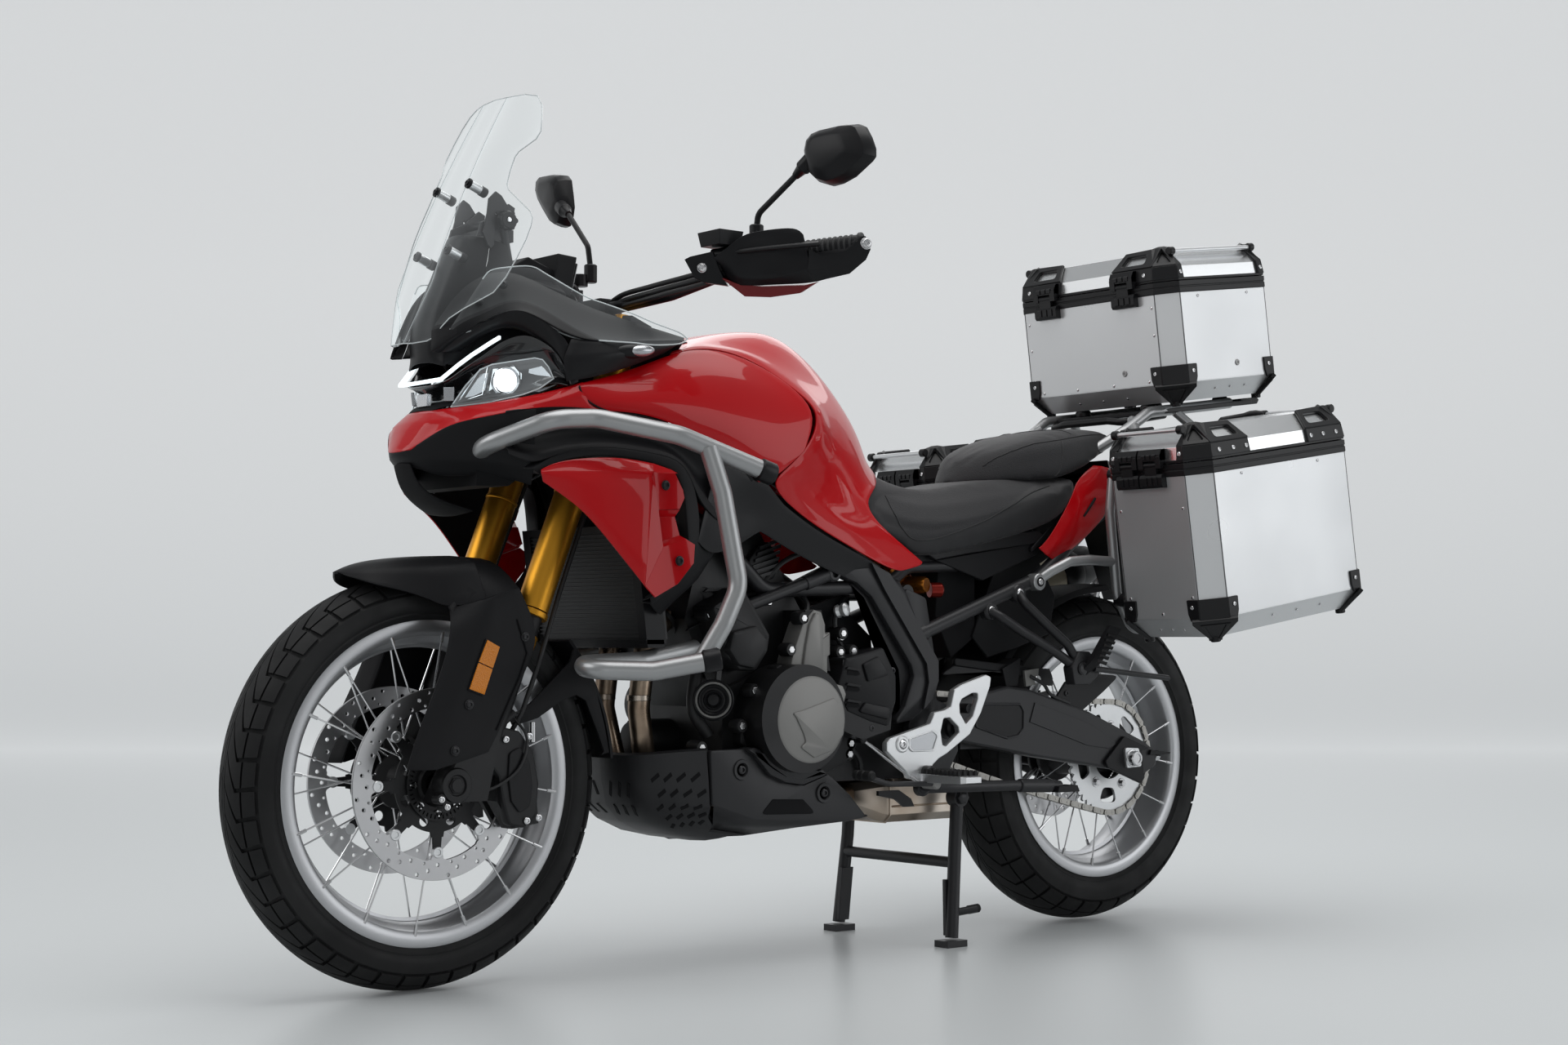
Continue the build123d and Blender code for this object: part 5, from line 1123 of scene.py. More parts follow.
sheet_grid("surround_upper", rows, "chassis", "plastic", 3.0, 2, True, [("row", 3, 0.6), ("row", 4, 1.0)], replaces=("inner_fairings",))
# lip and wall round the shroud
S1 = [(-665, -206, 823), (-622, -205, 848), (-564, -210, 861), (-504, -215, 863), (-446, -224, 856), (-402, -230, 849), (-381, -235, 826), (-365, -236, 786), (-360, -236, 746), (-363, -236, 706),
      (-373, -236, 673), (-410, -232, 636), (-452, -228, 612)]
S2 = [(-650, -208, 812), (-618, -208, 838), (-562, -212, 848), (-506, -218, 850), (-450, -226, 842), (-412, -234, 830), (-400, -238, 812), (-394, -240, 786), (-390, -240, 746), (-386, -240, 712),
      (-388, -240, 684), (-418, -238, 648), (-458, -234, 624)]
S3 = [(x + 4, y + 34, z - 6) for x, y, z in S2]
sheet_grid("shroud_lip", [[(x - 1, y + 26, z + 3) for x, y, z in S1], S1, S2, S3], "chassis", "plastic", 2.0, 2, True, [("row", 1, 0.85), ("row", 2, 0.85)])
# panel behind the bar, below the tank edge
P1 = [(-297, -221, 860), (-249, -221, 833), (-203, -218, 815), (-160, -205, 784), (-80, -190, 744), (16, -175, 712), (95, -164, 684)]
P2 = [(-330, -222, 800), (-290, -216, 784), (-236, -206, 776), (-184, -200, 752), (-116, -186, 724), (-36, -173, 696), (40, -163, 676)]
P3 = [(-362, -232, 716), (-322, -214, 690), (-258, -204, 712), (-206, -198, 738), (-140, -184, 712), (-60, -171, 684), (24, -162, 660)]
sheet_grid("side_inner_panel", [P1, P2, P3], "chassis", "plastic_s", 3.0, 2, True, [("row", 1, 0.9), ("col", 2, 0.9), ("col", 3, 0.9)])
# slanting plate behind the shroud that carries down to the radiator side
sheet_grid("radiator_wing", [[(-362, -232, 722), (-330, -214, 700), (-300, -196, 700)], [(-380, -226, 668), (-352, -206, 650), (-330, -190, 655)], [(-440, -196, 624), (-415, -186, 600), (-396, -176, 596)]],
           "chassis", "plastic", 3.0, 1, True, [("row", 1, 0.6)])
# chin under the beak
un = [[(-797, 0, 853), (-787, -34, 853), (-756, -88, 893), (-727, -126, 902), (-686, -156, 913), (-640, -176, 920)],
      [(-794, 0, 848), (-786, -32, 846), (-756, -80, 844), (-716, -110, 842), (-674, -140, 839), (-641, -172, 829)],
      [(-782, 0, 836), (-776, -24, 832), (-742, -56, 812), (-704, -86, 818), (-662, -116, 814), (-632, -150, 800)]]
sheet_grid("chin_panels", un, "chassis", "plastic", 2.5, 2, True, [("row", 1, 0.8), ("row", 0, 1.0)], join=True)
chin = [[(-786, 0, 838), (-780, -26, 834)], [(-772, 0, 800), (-768, -30, 798)], [(-735, 0, 770), (-735, -44, 775)], [(-690, 0, 752), (-690, -70, 760)]]
sheet_grid("chin_nose", chin, "chassis", "dark", 2.5, 2, True, [("col", 1, 0.8)], outward=(-1, 0, 0), join=True)
# painted shade: a deep-black block that hides the headstock from the front
dk = Bag("nose_core", "chassis")
dk.add(loft([[(-700, -96, 800), (-700, 96, 800), (-700, 110, 900), (-700, -110, 900)], [(-655, -120, 800), (-655, 120, 800), (-655, 130, 908), (-655, -130, 908)],
             [(-622, -138, 830), (-622, 138, 830), (-622, 146, 912), (-622, -146, 912)]]), "dark", False)
dk.make()

# ---------------------------------------------------------------- lamp
lampb = Bag("lamp_body", "chassis")
DU, DL = T_DRL[0], T_DRL[1]
# glowing strip
up = [(-752, 0, 974)] + [tuple(p) for p in DU]
lo = [(-752, 0, 962)] + [tuple(p) for p in DL]
for i in range(len(up)):
    m_ = [(p + q) / 2 for p, q in zip(up[i], lo[i])]
    up[i], lo[i] = (m_[0] - 2, m_[1], m_[2] + 2.6), (m_[0] - 2, m_[1], m_[2] - 2.6)
for i in range(len(up) - 1):
    a, b, c, d = up[i], up[i + 1], lo[i + 1], lo[i]
    lampb.add(extrude([a, b, c, d], (7, 5, 0)), "glow_drl", True, True)
    e, f = (d[0] - 1, d[1], d[2] - 1), (c[0] - 1, c[1], c[2] - 1)
# dark bezel behind
back = [(-700, 0, 985), (-690, -60, 990), (-676, -100, 1010), (-648, -140, 1030), (-600, -160, 1020)]
bez_top = [(-745, 0, 962), (-741, -66, 962), (-716, -78, 985), (-697, -92, 1001), (-680, -118, 1021), (-672, -130, 1030), (-640, -146, 1044), (-612, -164, 1026), (-600, -174, 1010), (-588, -182, 985), (-580, -182, 962)]
bez_bot = [(-748, 0, 924), (-722, -50, 930), (-706, -66, 934), (-690, -84, 938), (-676, -100, 942), (-664, -112, 946), (-644, -130, 950), (-626, -146, 956), (-612, -158, 962), (-598, -168, 966), (-584, -180, 962)]
mid = [(a[0] * .5 + b[0] * .5 + 22, (a[1] + b[1]) * .5 + 16, (a[2] + b[2]) * .5) for a, b in zip(bez_top, bez_bot)]
mid[0] = (-722, 0, 943)
sheet_grid("lamp_bezel", [bez_top, mid, bez_bot], "chassis", "gloss_black", 2.0, 2, True, [("row", 0, 1), ("row", 2, 1)], replaces=("headlight",), join=True)


def push(poly, dx, dy, dz):
    return [(x + dx, y + dy, z + dz) for x, y, z in poly]


def shrink(poly, k):
    c = [sum(p[i] for p in poly) / len(poly) for i in range(3)]
    return [tuple(c[i] + (p[i] - c[i]) * k for i in range(3)) for p in poly]


d_in = (9, 7, -1)
lampb.add(extrude(push(shrink(T_CELL_L, 0.98), *d_in), (6, 5, 0)), "lamp_white", True, True)
lampb.add(extrude(push(shrink(T_CELL_M, 0.96), 7, 5, -1), (6, 5, 0)), "glow_low", True, True)
lampb.add(extrude(push(shrink(T_CELL_R, 0.96), *d_in), (6, 5, 0)), "lamp_white", True, True)
lampb.add(extrude(push(T_LOWER_RED, 12, 9, -1), (6, 5, 0)), "lamp_grey", True, True)
# projector in the middle cell
pc = Vector((-655, -112, 967)); pd = Vector((-0.78, -0.6, 0.05)).normalized()
lampb.add(turn(pc - pd * 6, pd, [(22, 0), (24, 8), (24, 12), (20, 13), (19, 9)], 28, False), "chrome", True, True)
lampb.add(turn(pc - pd * 2, pd, [(19, 0), (17, 6), (11, 10), (0.02, 12)], 28, False), "glow", True, True)
# small grey window low in the middle and the position lamp beside it
lampb.add(extrude([(-735, -52, 958), (-724, -66, 958), (-722, -62, 936), (-733, -50, 936)], (4, 4, 0)), "lamp_grey", False, True)
lampb.add(box(-744, -736, -16, 16, 930, 950), "lamp_grey")
lampb.make(bevel=0.6, slot="lamp")
ln = Bag("lamp_glass", "chassis")
outl = [tuple(p) for p in T_LENS[0]]
ln.add((push(outl, -1.5, -1.5, 0.5), [list(range(len(outl)))]), "lens", False, True)
ln.make(solid=1.6)
eg = Bag("lamp_glass_edges", "chassis")
eg.add(pipe([Vector(p) for p in outl] + [Vector(outl[0])], 1.1, 6), "sheet_edge", True, True)
eg.add(pipe([Vector(p) for p in T_CELL_M] + [Vector(T_CELL_M[0])], 1.2, 6), "gloss_black", True, True)
eg.add(pipe([Vector(p) for p in T_CELL_L] + [Vector(T_CELL_L[0])], 1.0, 6), "lamp_white", True, True)
eg.make()

# ---------------------------------------------------------------- black cowl
bo = [tuple(c[0]) for c in T_BAND]; bi = [tuple(c[1]) for c in T_BAND]
sheet_grid("lamp_band", [[(x + 2, y + 14, z - 2) for x, y, z in bi], bi, bo], "chassis", "plastic_s", 3.0, 1, True, [("row", 1, 0.8), ("row", 2, 1.0)], replaces=("upper_fairing",))
cb = [tuple(p) for p in T_COWL_B]; cc = [tuple(p) for p in T_COWL_C]
low = [(-746, -62, 1012), (-733, -72, 1028), (-701, -112, 1060), (-670, -140, 1079), (-646, -158, 1078), (-612, -176, 1056), (-572, -188, 1036), (-515, -197, 1034), (-443, -196, 1042), (-352, -173, 1052)]
sheet_grid("cowl_skin", [low, cb, cc], "chassis", "plastic", 3.0, 2, True, [("row", 0, 1.0), ("row", 1, 0.45)])
sw = cols_to_rows(T_SIDEWING)
sheet_grid("cowl_wing", [[(-578, -182, 1036), (-515, -197, 1034), (-443, -196, 1042), (-350, -173, 1053)]] + sw[1:], "chassis", "plastic_s", 3.0, 2, True, [("row", 1, 0.5)])
# nose panel in the middle, under the screen
nose = [[(-752, 0, 1000), (-745, -30, 998), (-738, -54, 992)], [(-760, 0, 1040), (-752, -34, 1036), (-730, -56, 1028)], [(-745, 0, 1090), (-738, -34, 1086), (-702, -56, 1075)],
        [(-722, 0, 1140), (-714, -34, 1136), (-668, -56, 1128)], [(-704, 0, 1185), (-696, -32, 1182), (-652, -50, 1172)], [(-690, 0, 1214), (-682, -30, 1212), (-646, -46, 1208)]]
sheet_grid("nose_panel", nose, "chassis", "plastic_s", 3.0, 2, True, [("col", 1, 0.7), ("col", 2, 1.0)], outward=(-1, -0.2, 0.2), join=True)
sheet_grid("nose_flank", [[(-738, -54, 992), (-730, -56, 1028), (-702, -56, 1075), (-668, -56, 1128), (-650, -50, 1172), (-646, -46, 1208)],
                          [(-690, -58, 1010), (-670, -62, 1060), (-645, -64, 1100), (-620, -64, 1135), (-612, -56, 1170), (-616, -48, 1200)]], "chassis", "plastic", 2.0, 1, True, [])
ns = Bag("screen_mounts", "chassis")
for s in (-1, 1):
    for (x, y, z), (x2, y2, z2) in (((-690, 50, 1292), (-650, 50, 1276)), ((-727, 48, 1181), (-694, 48, 1168))):
        d = Vector((x2 - x, 0, z2 - z)).normalized()
        p = Vector((x, s * y, z))
        ns.add(turn(p, d, [(6.5, 0), (7.5, 1), (7.5, 26), (6.5, 28)], 20), "silver")
        ns.add(turn(p - d * 2, d, [(8.5, 0), (8.8, 2.5), (8.5, 5)], 20), "plastic_s")
        ns.add(turn(p + d * 24, d, [(8.5, 0), (8.5, 10), (7, 12)], 20), "plastic_s")
        bolt(ns, tuple(p - d * 2), tuple(-d), 5.0)
    for tb in (T_ARM_L,):
        poly = [(x, z) for x, _, z in tb]
        side_plate(ns, [poly], s * 50, 4.5, "frame_black", 0.6)
    poly = [(-672, 1208), (-640, 1214), (-604, 1240), (-600, 1262), (-612, 1268), (-640, 1244), (-664, 1232)]
    side_plate(ns, [poly], s * 46, 5, "frame_black", 0.6)
# height adjuster with its knob
ns.add(cyl((-628, -56, 1236), (-628, 56, 1236), 9), "frame_black")
ns.add(turn((-622, -52, 1238), (0, -1, 0), [(15, 0), (16, 3), (16, 12), (13, 15), (6, 15), (5, 10), (0.02, 10)], 24), "plastic_s")
for k in range(6):
    a = k * math.pi / 3
    ns.add(cyl((-622 + 13 * math.cos(a), -54, 1238 + 13 * math.sin(a)), (-622 + 13 * math.cos(a), -66, 1238 + 13 * math.sin(a)), 4.4, n=10), "plastic_s")
ns.add(turn((-622, -62, 1238), (0, -1, 0), [(4.5, 0), (4.5, 5), (3.4, 6)], 16), "bolt")
ns.add(box(-648, -600, -44, 44, 1206, 1226), "frame_black", False)
ns.make(bevel=0.8)

# windscreen: a clear sheet in three flat panels, with a waist
SE = [(-30, 1027), (-46.9, 1030.6), (-58.7, 1038), (-66.7, 1051.9), (-78.9, 1065.6), (-100, 1079.5), (-147.3, 1102.5), (-170.6, 1124.4), (-180.1, 1155.6),
      (-187, 1185), (-189, 1207), (-187.5, 1220), (-180.2, 1232), (-154, 1253), (-127.1, 1274), (-121, 1284), (-117, 1308), (-115.4, 1330),
      (-118.7, 1339.4), (-142.5, 1358), (-145.9, 1371), (-136, 1396), (-124.5, 1419.6), (-104.3, 1439), (-75.3, 1446)]
def scx(z):
    return -789 + 0.2936 * (z - 1031) + 3.351e-4 * (z - 1031) ** 2
def slow(z):
    return max(0.0, min(1.0, (1120 - z) / 95.0))
def syf(z):
    return 58 - (z - 1040) * 0.0537 - 40 * slow(z)
def ssx(y, z):
    return max(-790, scx(z)) + (0.62 - (z - 1040) * 8.29e-4 + 0.4 * slow(z)) * max(0.0, abs(y) - syf(z))
rows = []
for y, z in SE:
    yf = -min(syf(z), abs(y) * 0.7)
    ym = (y + yf) / 2
    rows.append([(ssx(y, z), y, z), (ssx(ym, z), ym, z), (ssx(yf, z), yf, z), (ssx(0, z), 0, z + (2 if z > 1440 else 0))])
wsb = Bag("windscreen_sheet", "chassis")
nr_ = len(rows)
full = [r + [(p[0], -p[1], p[2]) for p in reversed(r[:3])] for r in rows]
for a_, b_ in ((0, 2), (2, 4), (4, 6)):
    w_ = b_ - a_ + 1
    vs_ = [p for r in full for p in r[a_:b_ + 1]]
    wsb.add((vs_, [[i * w_ + k, (i + 1) * w_ + k, (i + 1) * w_ + k + 1, i * w_ + k + 1] for i in range(nr_ - 1) for k in range(w_ - 1)]), "sheet", True)
wsb.make(solid=2.6, slot="clear_screen", replaces=("windscreen",))
DFL = [[(x - 3, y - 6, z + 3) for x, y, z in row] for row in T_DEFL]
de = sheet_grid("side_deflectors", DFL, "chassis", "sheet", 0, 1, True, [("row", 0, 1), ("row", 1, 1)])
s_ = de.modifiers.new("solid", "SOLIDIFY"); s_.thickness = 0.0028; s_.offset = 1
se = Bag("screen_edges", "chassis")
edge = [Vector(r[0]) for r in rows]
se.add(pipe(edge, 1.0, 6), "sheet_edge", True, True)
se.add(pipe([Vector(r[2]) for r in rows], 0.5, 6), "sheet_edge", True, True)
top = [Vector(rows[-3][0]), Vector(rows[-2][0]), Vector(rows[-1][0]), Vector(rows[-1][2]), Vector(rows[-1][3])]
se.add(pipe(top, 0.8, 6), "sheet_edge", True, True)
botm = [Vector(rows[0][3]), Vector(rows[0][2]), Vector(rows[0][0]), Vector(rows[1][0])]
se.add(pipe(botm, 1.0, 6), "sheet_edge", True, True)
se.add(pipe(spline([Vector(p) for p in DFL[0]], 4), 1.1, 6), "sheet_edge", True, True)
se.add(pipe(spline([Vector(p) for p in DFL[1]], 4), 1.3, 6), "sheet_edge", True, True)
bolt(se, (-700, -100, 1092), (-0.5, -0.8, 0.3), 6.0, mirror=True, washer=8)
bolt(se, (-664, -114, 1122), (-0.5, -0.8, 0.3), 6.0, mirror=True, washer=8)
se.make()

# indicators in their pods
ind = Bag("indicators", "chassis")
ip = Vector((-470, -196, 1022))
u = Vector((0.94, -0.1, 0.10)).normalized()
def ell(c, ax, ay, az, ux, n=20, m=10):
    ux = Vector(ux).normalized(); uy = Vector((ux.y, -ux.x, 0)).normalized(); uz = ux.cross(uy)
    vs, fs = [], []
    for i in range(m + 1):
        t = math.pi * i / m
        for k in range(n):
            a = 2 * math.pi * k / n
            vs.append(tuple(Vector(c) + ux * (ax * math.cos(t)) + (uy * math.cos(a) * ay + uz * math.sin(a) * az) * math.sin(t)))
    for i in range(m):
        for k in range(n):
            j = (k + 1) % n
            fs.append([i * n + k, (i + 1) * n + k, (i + 1) * n + j, i * n + j])
    return vs, fs
ind.add(ell(ip, 44, 12, 12, u), "plastic_s", True, True)
ind.add(ell(ip + u * 14 + Vector((0, -5, 0)), 25, 11, 9.5, u), "lamp_grey", True, True)
ind.make(slot="lamp")

# dash
da = Bag("dash_unit", "chassis")
da.add(loft([[(-556, -96, 1124), (-556, 96, 1124), (-544, 92, 1188), (-544, -92, 1188)], [(-520, -92, 1118), (-520, 92, 1118), (-504, 88, 1186), (-504, -88, 1186)]]), "plastic", False)
da.add(extrude([(-512, -80, 1128), (-512, 80, 1128), (-500, 80, 1178), (-500, -80, 1178)], (4, 0, -1)), "screen_lcd", False)
da.add(loft([[(-700, -50, 1010), (-700, 50, 1010), (-680, 50, 1120), (-680, -50, 1120)], [(-600, -80, 1010), (-600, 80, 1010), (-590, 74, 1180), (-590, -74, 1180)],
             [(-540, -90, 1030), (-540, 90, 1030), (-545, 84, 1160), (-545, -84, 1160)]]), "plastic", False)
for s in (-1, 1):
    da.add(cyl((-604, s * 40, 1160), (-622, s * 44, 1232), 7), "frame_black")
    da.add(loft([[(-640, s * 60, 1060), (-640, s * 92, 1060), (-626, s * 88, 1148), (-626, s * 60, 1148)], [(-540, s * 90, 1070), (-540, s * 120, 1070), (-545, s * 116, 1120), (-545, s * 88, 1140)]]), "plastic", False)
da.make(bevel=4, seg=3, slot="black_plastic", replaces=("dash_display",))
# inner deck between the cowls and the tank
sheet_grid("inner_deck", [[(-640, -92, 1146), (-557, -128, 1110), (-448, -146, 1079), (-334, -156, 1056)], [(-600, -60, 1040), (-540, -80, 1030), (-448, -90, 1020), (-330, -100, 1010)],
                          [(-600, 0, 1020), (-540, 0, 1000), (-448, 0, 985), (-330, 0, 985)]], "chassis", "plastic", 2.0, 1, True, [], outward=(0, 0, 1), join=True)
# ---------------------------------------------------------------- front end
FT = [
    [(-899, 0, 662), (-898, -4, 661.5), (-897, -8, 661), (-895, -11, 660)],
    [(-877, 0, 672), (-876, -22, 669), (-876, -38, 660), (-875, -50, 647)],
    [(-850, 0, 680), (-849, -30, 677), (-847, -50, 664), (-847, -64, 639)],
    [(-808, 0, 686), (-808, -36, 683), (-808, -60, 666), (-808, -72, 631)],
    [(-767, 0, 689), (-767, -40, 686), (-767, -66, 668), (-767, -78, 618)],
    [(-745, 0, 690), (-745, -44, 688), (-746, -78, 668), (-748, -92, 604)],
    [(-706, 0, 691), (-706, -50, 690), (-707, -104, 678), (-708, -141, 620)],
    [(-662, 0, 689), (-662, -52, 688), (-662, -112, 674), (-651, -147, 638)],
    [(-622, 0, 684), (-622, -52, 683), (-624, -100, 672), (-622, -147, 600)],
]
# leave room for the legs: the roof ends ahead of them in the middle
sheet_grid("fender_roof", cols_to_rows([c[::-1] for c in FT[:7]]), "steering", "plastic", 3.0, 2, True, [("row", 1, 0.5), ("row", 0, 1.0), ("col", 6, 1.0)], outward=(0, -0.3, 1),
           replaces=("front_fender",), join=True)
GR = [  # height rows of the fork guard: inner return, front edge, crease, rear edge
    [(-720, -100, 640), (-748, -92, 604), (-708, -141, 620), (-651, -147, 638)],
    [(-742, -96, 585), (-762, -122, 580), (-712, -147, 598), (-630, -147, 600)],
    [(-748, -98, 548), (-767, -127, 548), (-726, -147, 552), (-612, -147, 556)],
    [(-770, -100, 485), (-792, -133, 485), (-750, -147, 490), (-644, -147, 496)],
    [(-806, -104, 411), (-830, -138, 411), (-776, -147, 411), (-686, -147, 413)],
    [(-826, -106, 357), (-848, -140, 357), (-800, -147, 355), (-706, -147, 380)],
]
sheet_grid("fork_guards", GR, "steering", "plastic", 3.0, 2, True, [("col", 1, 0.9), ("col", 2, 0.85), ("row", 0, 0.9), ("row", 5, 1.0)])
sheet_grid("fender_shoulder", [[(-745, 0, 690), (-745, -44, 688), (-747, -78, 666), (-748, -92, 606)], [(-706, 0, 691), (-706, -50, 690), (-707, -104, 678), (-708, -141, 620)],
                               [(-664, 0, 689), (-664, -52, 688), (-662, -108, 676), (-651, -146, 638)]], "steering", "plastic", 3.0, 1, True, [("row", 0, 1), ("row", 1, 0.5)], outward=(0, 0, 1), join=True)
fg = Bag("fork_guard_details", "steering")
fg.add(extrude([(-713, -146, 557), (-688, -146, 545), (-717, -146, 468), (-745, -146, 478)], (0, -4.5, 0)), "plastic_s", False, True)
for q in ([(-711.5, -150, 555), (-689.5, -150, 544), (-702, -150, 511), (-727, -150, 521)], [(-727.6, -150, 519.4), (-702.6, -150, 509.4), (-717, -150, 470), (-743.5, -150, 479)]):
    fg.add(extrude(q, (0, -2.4, 0)), "amber", False, True)
for x, z in ((-742, 455), (-767, 384)):
    bolt(fg, (x, -148, z), (0, -1, 0), 6.2, mirror=True, washer=8)
bolt(fg, (-640, -148, 560), (0, -1, 0), 5.5, mirror=True, washer=7.5)
# painted shade: a deep-black line for the recess pressed into the rear of the guard
rl = [(-655, -148.2, 588), (-641, -148.2, 548), (-636, -148.2, 534), (-650, -148.2, 496), (-692, -148.2, 414)]
fg.add(pipe(rl, 1.3, 6), "dark", True, True)
fg.make(bevel=0.8)
# rear part of the fender
RO = [(x, z) for x, _, z in T_REARF[0]]; RI = [(x, z) for x, _, z in T_REARF[1][:7]]
rf = Bag("fender_rear", "steering")
for s in (-1, 1):
    side_plate(rf, [RO + RI[::-1]], s * 67, 5, "plastic", 1.0)
n = 26
pr = []
for i in range(n + 1):
    a = math.radians(5 + 37 * i / n)
    pr.append((XF + 334 * math.cos(a), ZF + 334 * math.sin(a), XF + 339 * math.cos(a), ZF + 339 * math.sin(a)))
vs, fs = [], []
for x0, z0, x1, z1 in pr:
    vs += [(x0, -69, z0), (x1, -69, z1), (x1, 69, z1), (x0, 69, z0)]
for i in range(n):
    for k in range(4):
        fs.append([4 * i + k, 4 * i + (k + 1) % 4, 4 * i + 4 + (k + 1) % 4, 4 * i + 4 + k])
fs.append([0, 1, 2, 3]); fs.append([4 * n + 3, 4 * n + 2, 4 * n + 1, 4 * n])
rf.add((vs, fs), "plastic", False)
bolt(rf, (-604, -70, 432), (0, -1, 0), 6, mirror=True, washer=8)
rf.make(merge=0.01, sharp=35)

# forks
dress("fork_tubes", "gold"); dress("fork_yokes", "frame_black", 2.0); dress("fork_legs", "engine", 2.0); dress("front_calipers", "engine", 3.0); dress("brake_hoses", "hose")
fl = Bag("fork_leg_details", "steering")
base = Vector((-538, 0, 762))
for s in (-1, 1):
    A0 = Vector((-538, s * 105, 762))
    # silver stanchion end, seal and clamp rings
    for t0, t1, r, m in ((-232, -212, 24.0, "gold"), (-182, -172, 28.4, "gold"), (28, 34, 28.0, "gold")):
        p = A0 + AX * t0
        fl.add(cyl(p, p + AX * (t1 - t0), r, n=32, bev=1.0), m)
    # axle clamp
    c = Vector((XF, s * 120, ZF))
    fl.add(turn(c - Vector((0, s * 20, 0)), (0, s, 0), [(27, 0), (28, 4), (28, 30), (26, 33), (17, 33), (15, 30), (15, 6), (0.02, 6)], 40), "engine")
    fl.add(turn(c + Vector((0, s * 8, 0)), (0, s, 0), [(14, 0), (14, 3.5), (12.5, 4.5), (9, 4.5), (8.6, -8), (0.02, -8)], 6), "engine", False)
    for dx, dz in ((-30, -20), (-20, -32)):
        fl.add(cyl((XF + dx, s * 118, ZF + dz), (XF + dx, s * 136, ZF + dz), 8), "engine")
        bolt(fl, (XF + dx, s * 136, ZF + dz), (0, s, 0), 5.4, "torx", "bolt")
    # caliper: body, bridge, bolts
    side_plate(fl, [rnd([(-700, 372), (-690, 404), (-664, 418), (-632, 410), (-606, 376), (-596, 326), (-600, 276), (-622, 256), (-652, 262), (-664, 300), (-672, 340)], 12)], s * 112, 22, "engine", 4)
    side_plate(fl, [rnd([(-654, 376), (-634, 386), (-616, 360), (-610, 322), (-616, 290), (-634, 280), (-650, 300), (-656, 340)], 8)], s * 124, 5, "plastic_s", 1.5)
    for x, z in ((-660, 398), (-616, 402), (-620, 268), (-598, 272)):
        bolt(fl, (x, s * 124, z), (0, s, 0), 6.0, "torx", "bolt")
    fl.add(cyl((-606, s * 118, 392), (-606, s * 118, 424), 5), "bolt")
    fl.add(cyl((-700, s * 112, 352), (-742, s * 116, 340), 9), "engine")
    fl.add(cyl((-690, s * 112, 402), (-640, s * 116, 440), 7), "engine")
# wheel-speed sensor lead on the left
fl.add(pipe(spline([(-640, -100, 440), (-622, -126, 400), (-640, -130, 350), (-690, -124, 320), (-716, -112, 330)], 6), 2.4, 8), "hose")
fl.make(bevel=0.6, slot="engine_black")

# handlebar, controls, levers
dress("handlebar", "plastic_s")
hb = Bag("handlebar_controls", "steering")
for s in (-1, 1):
    g0, g1 = Vector((-262, s * 300, 1187)), Vector((-176, s * 428, 1198))
    d = (g1 - g0).normalized()
    L = (g1 - g0).length
    for k in range(14):
        p = g0 + d * (16 + k * (L - 26) / 14)
        hb.add(cyl(p, p + d * 4.6, 18.0, n=20, bev=0.8), "hose")
    hb.add(cyl(g1 - d * 6, g1 + d * 2, 19.5, n=24, bev=1.5), "hose")
    # switch box
    c = g0 - d * 34
    u_, w_, _ = frame_of(d)
    hb.add(cyl(g0 - d * 62, g0 - d * 6, 21, n=28, bev=4), "plastic_s")
    hb.add(box(c.x - 24, c.x + 20, c.y - 18, c.y + 18, c.z - 30, c.z + 8), "plastic_s", False)
    # master cylinder and its reservoir
    hb.add(cyl(g0 - d * 84 + Vector((-22, 0, 6)), g0 - d * 20 + Vector((-30, 0, 6)), 12), "plastic_s")
    rp = g0 - d * 62 + Vector((-30, 0, 18))
    hb.add(loft([[(rp.x - 24, rp.y - 26, rp.z), (rp.x + 18, rp.y - 26, rp.z), (rp.x + 18, rp.y + 26, rp.z), (rp.x - 24, rp.y + 26, rp.z)],
                 [(rp.x - 28, rp.y - 30, rp.z + 24), (rp.x + 22, rp.y - 30, rp.z + 24), (rp.x + 22, rp.y + 30, rp.z + 24), (rp.x - 28, rp.y + 30, rp.z + 24)]]), "plastic_s", False)
    # lever
    hb.add(pipe(spline([g0 - d * 44 + Vector((-30, 0, 4)), g0 - d * 6 + Vector((-52, 0, 2)), g0 + d * 60 + Vector((-58, 0, 0)), g0 + d * 118 + Vector((-46, 0, 0))], 6), 6.0, 10, flat=0.7), "engine")
    # cables running in towards the headstock
    for j, (dy, dz) in enumerate(((0, 0), (12, -8), (-10, 10))):
        pts = [g0 - d * 70 + Vector((-26, 0, 4 + j * 5)), (-330, s * (232 + dy * .3), 1158 + dz), (-392, s * (160 + dy), 1132 + dz), (-412, s * (100 + dy), 1122 + dz), (-418, s * (54 + dy * .4), 1112 + dz * .5)]
        hb.add(pipe(spline(pts, 8), 4.6 if j else 5.4, 8), "hose")
# bar clamp
hb.add(loft([[(-440, -60, 1096), (-392, -60, 1096), (-392, 60, 1096), (-440, 60, 1096)], [(-436, -56, 1128), (-396, -56, 1128), (-396, 56, 1128), (-436, 56, 1128)]]), "frame_black", False)
hb.make(bevel=2.5, seg=3, angle=40)

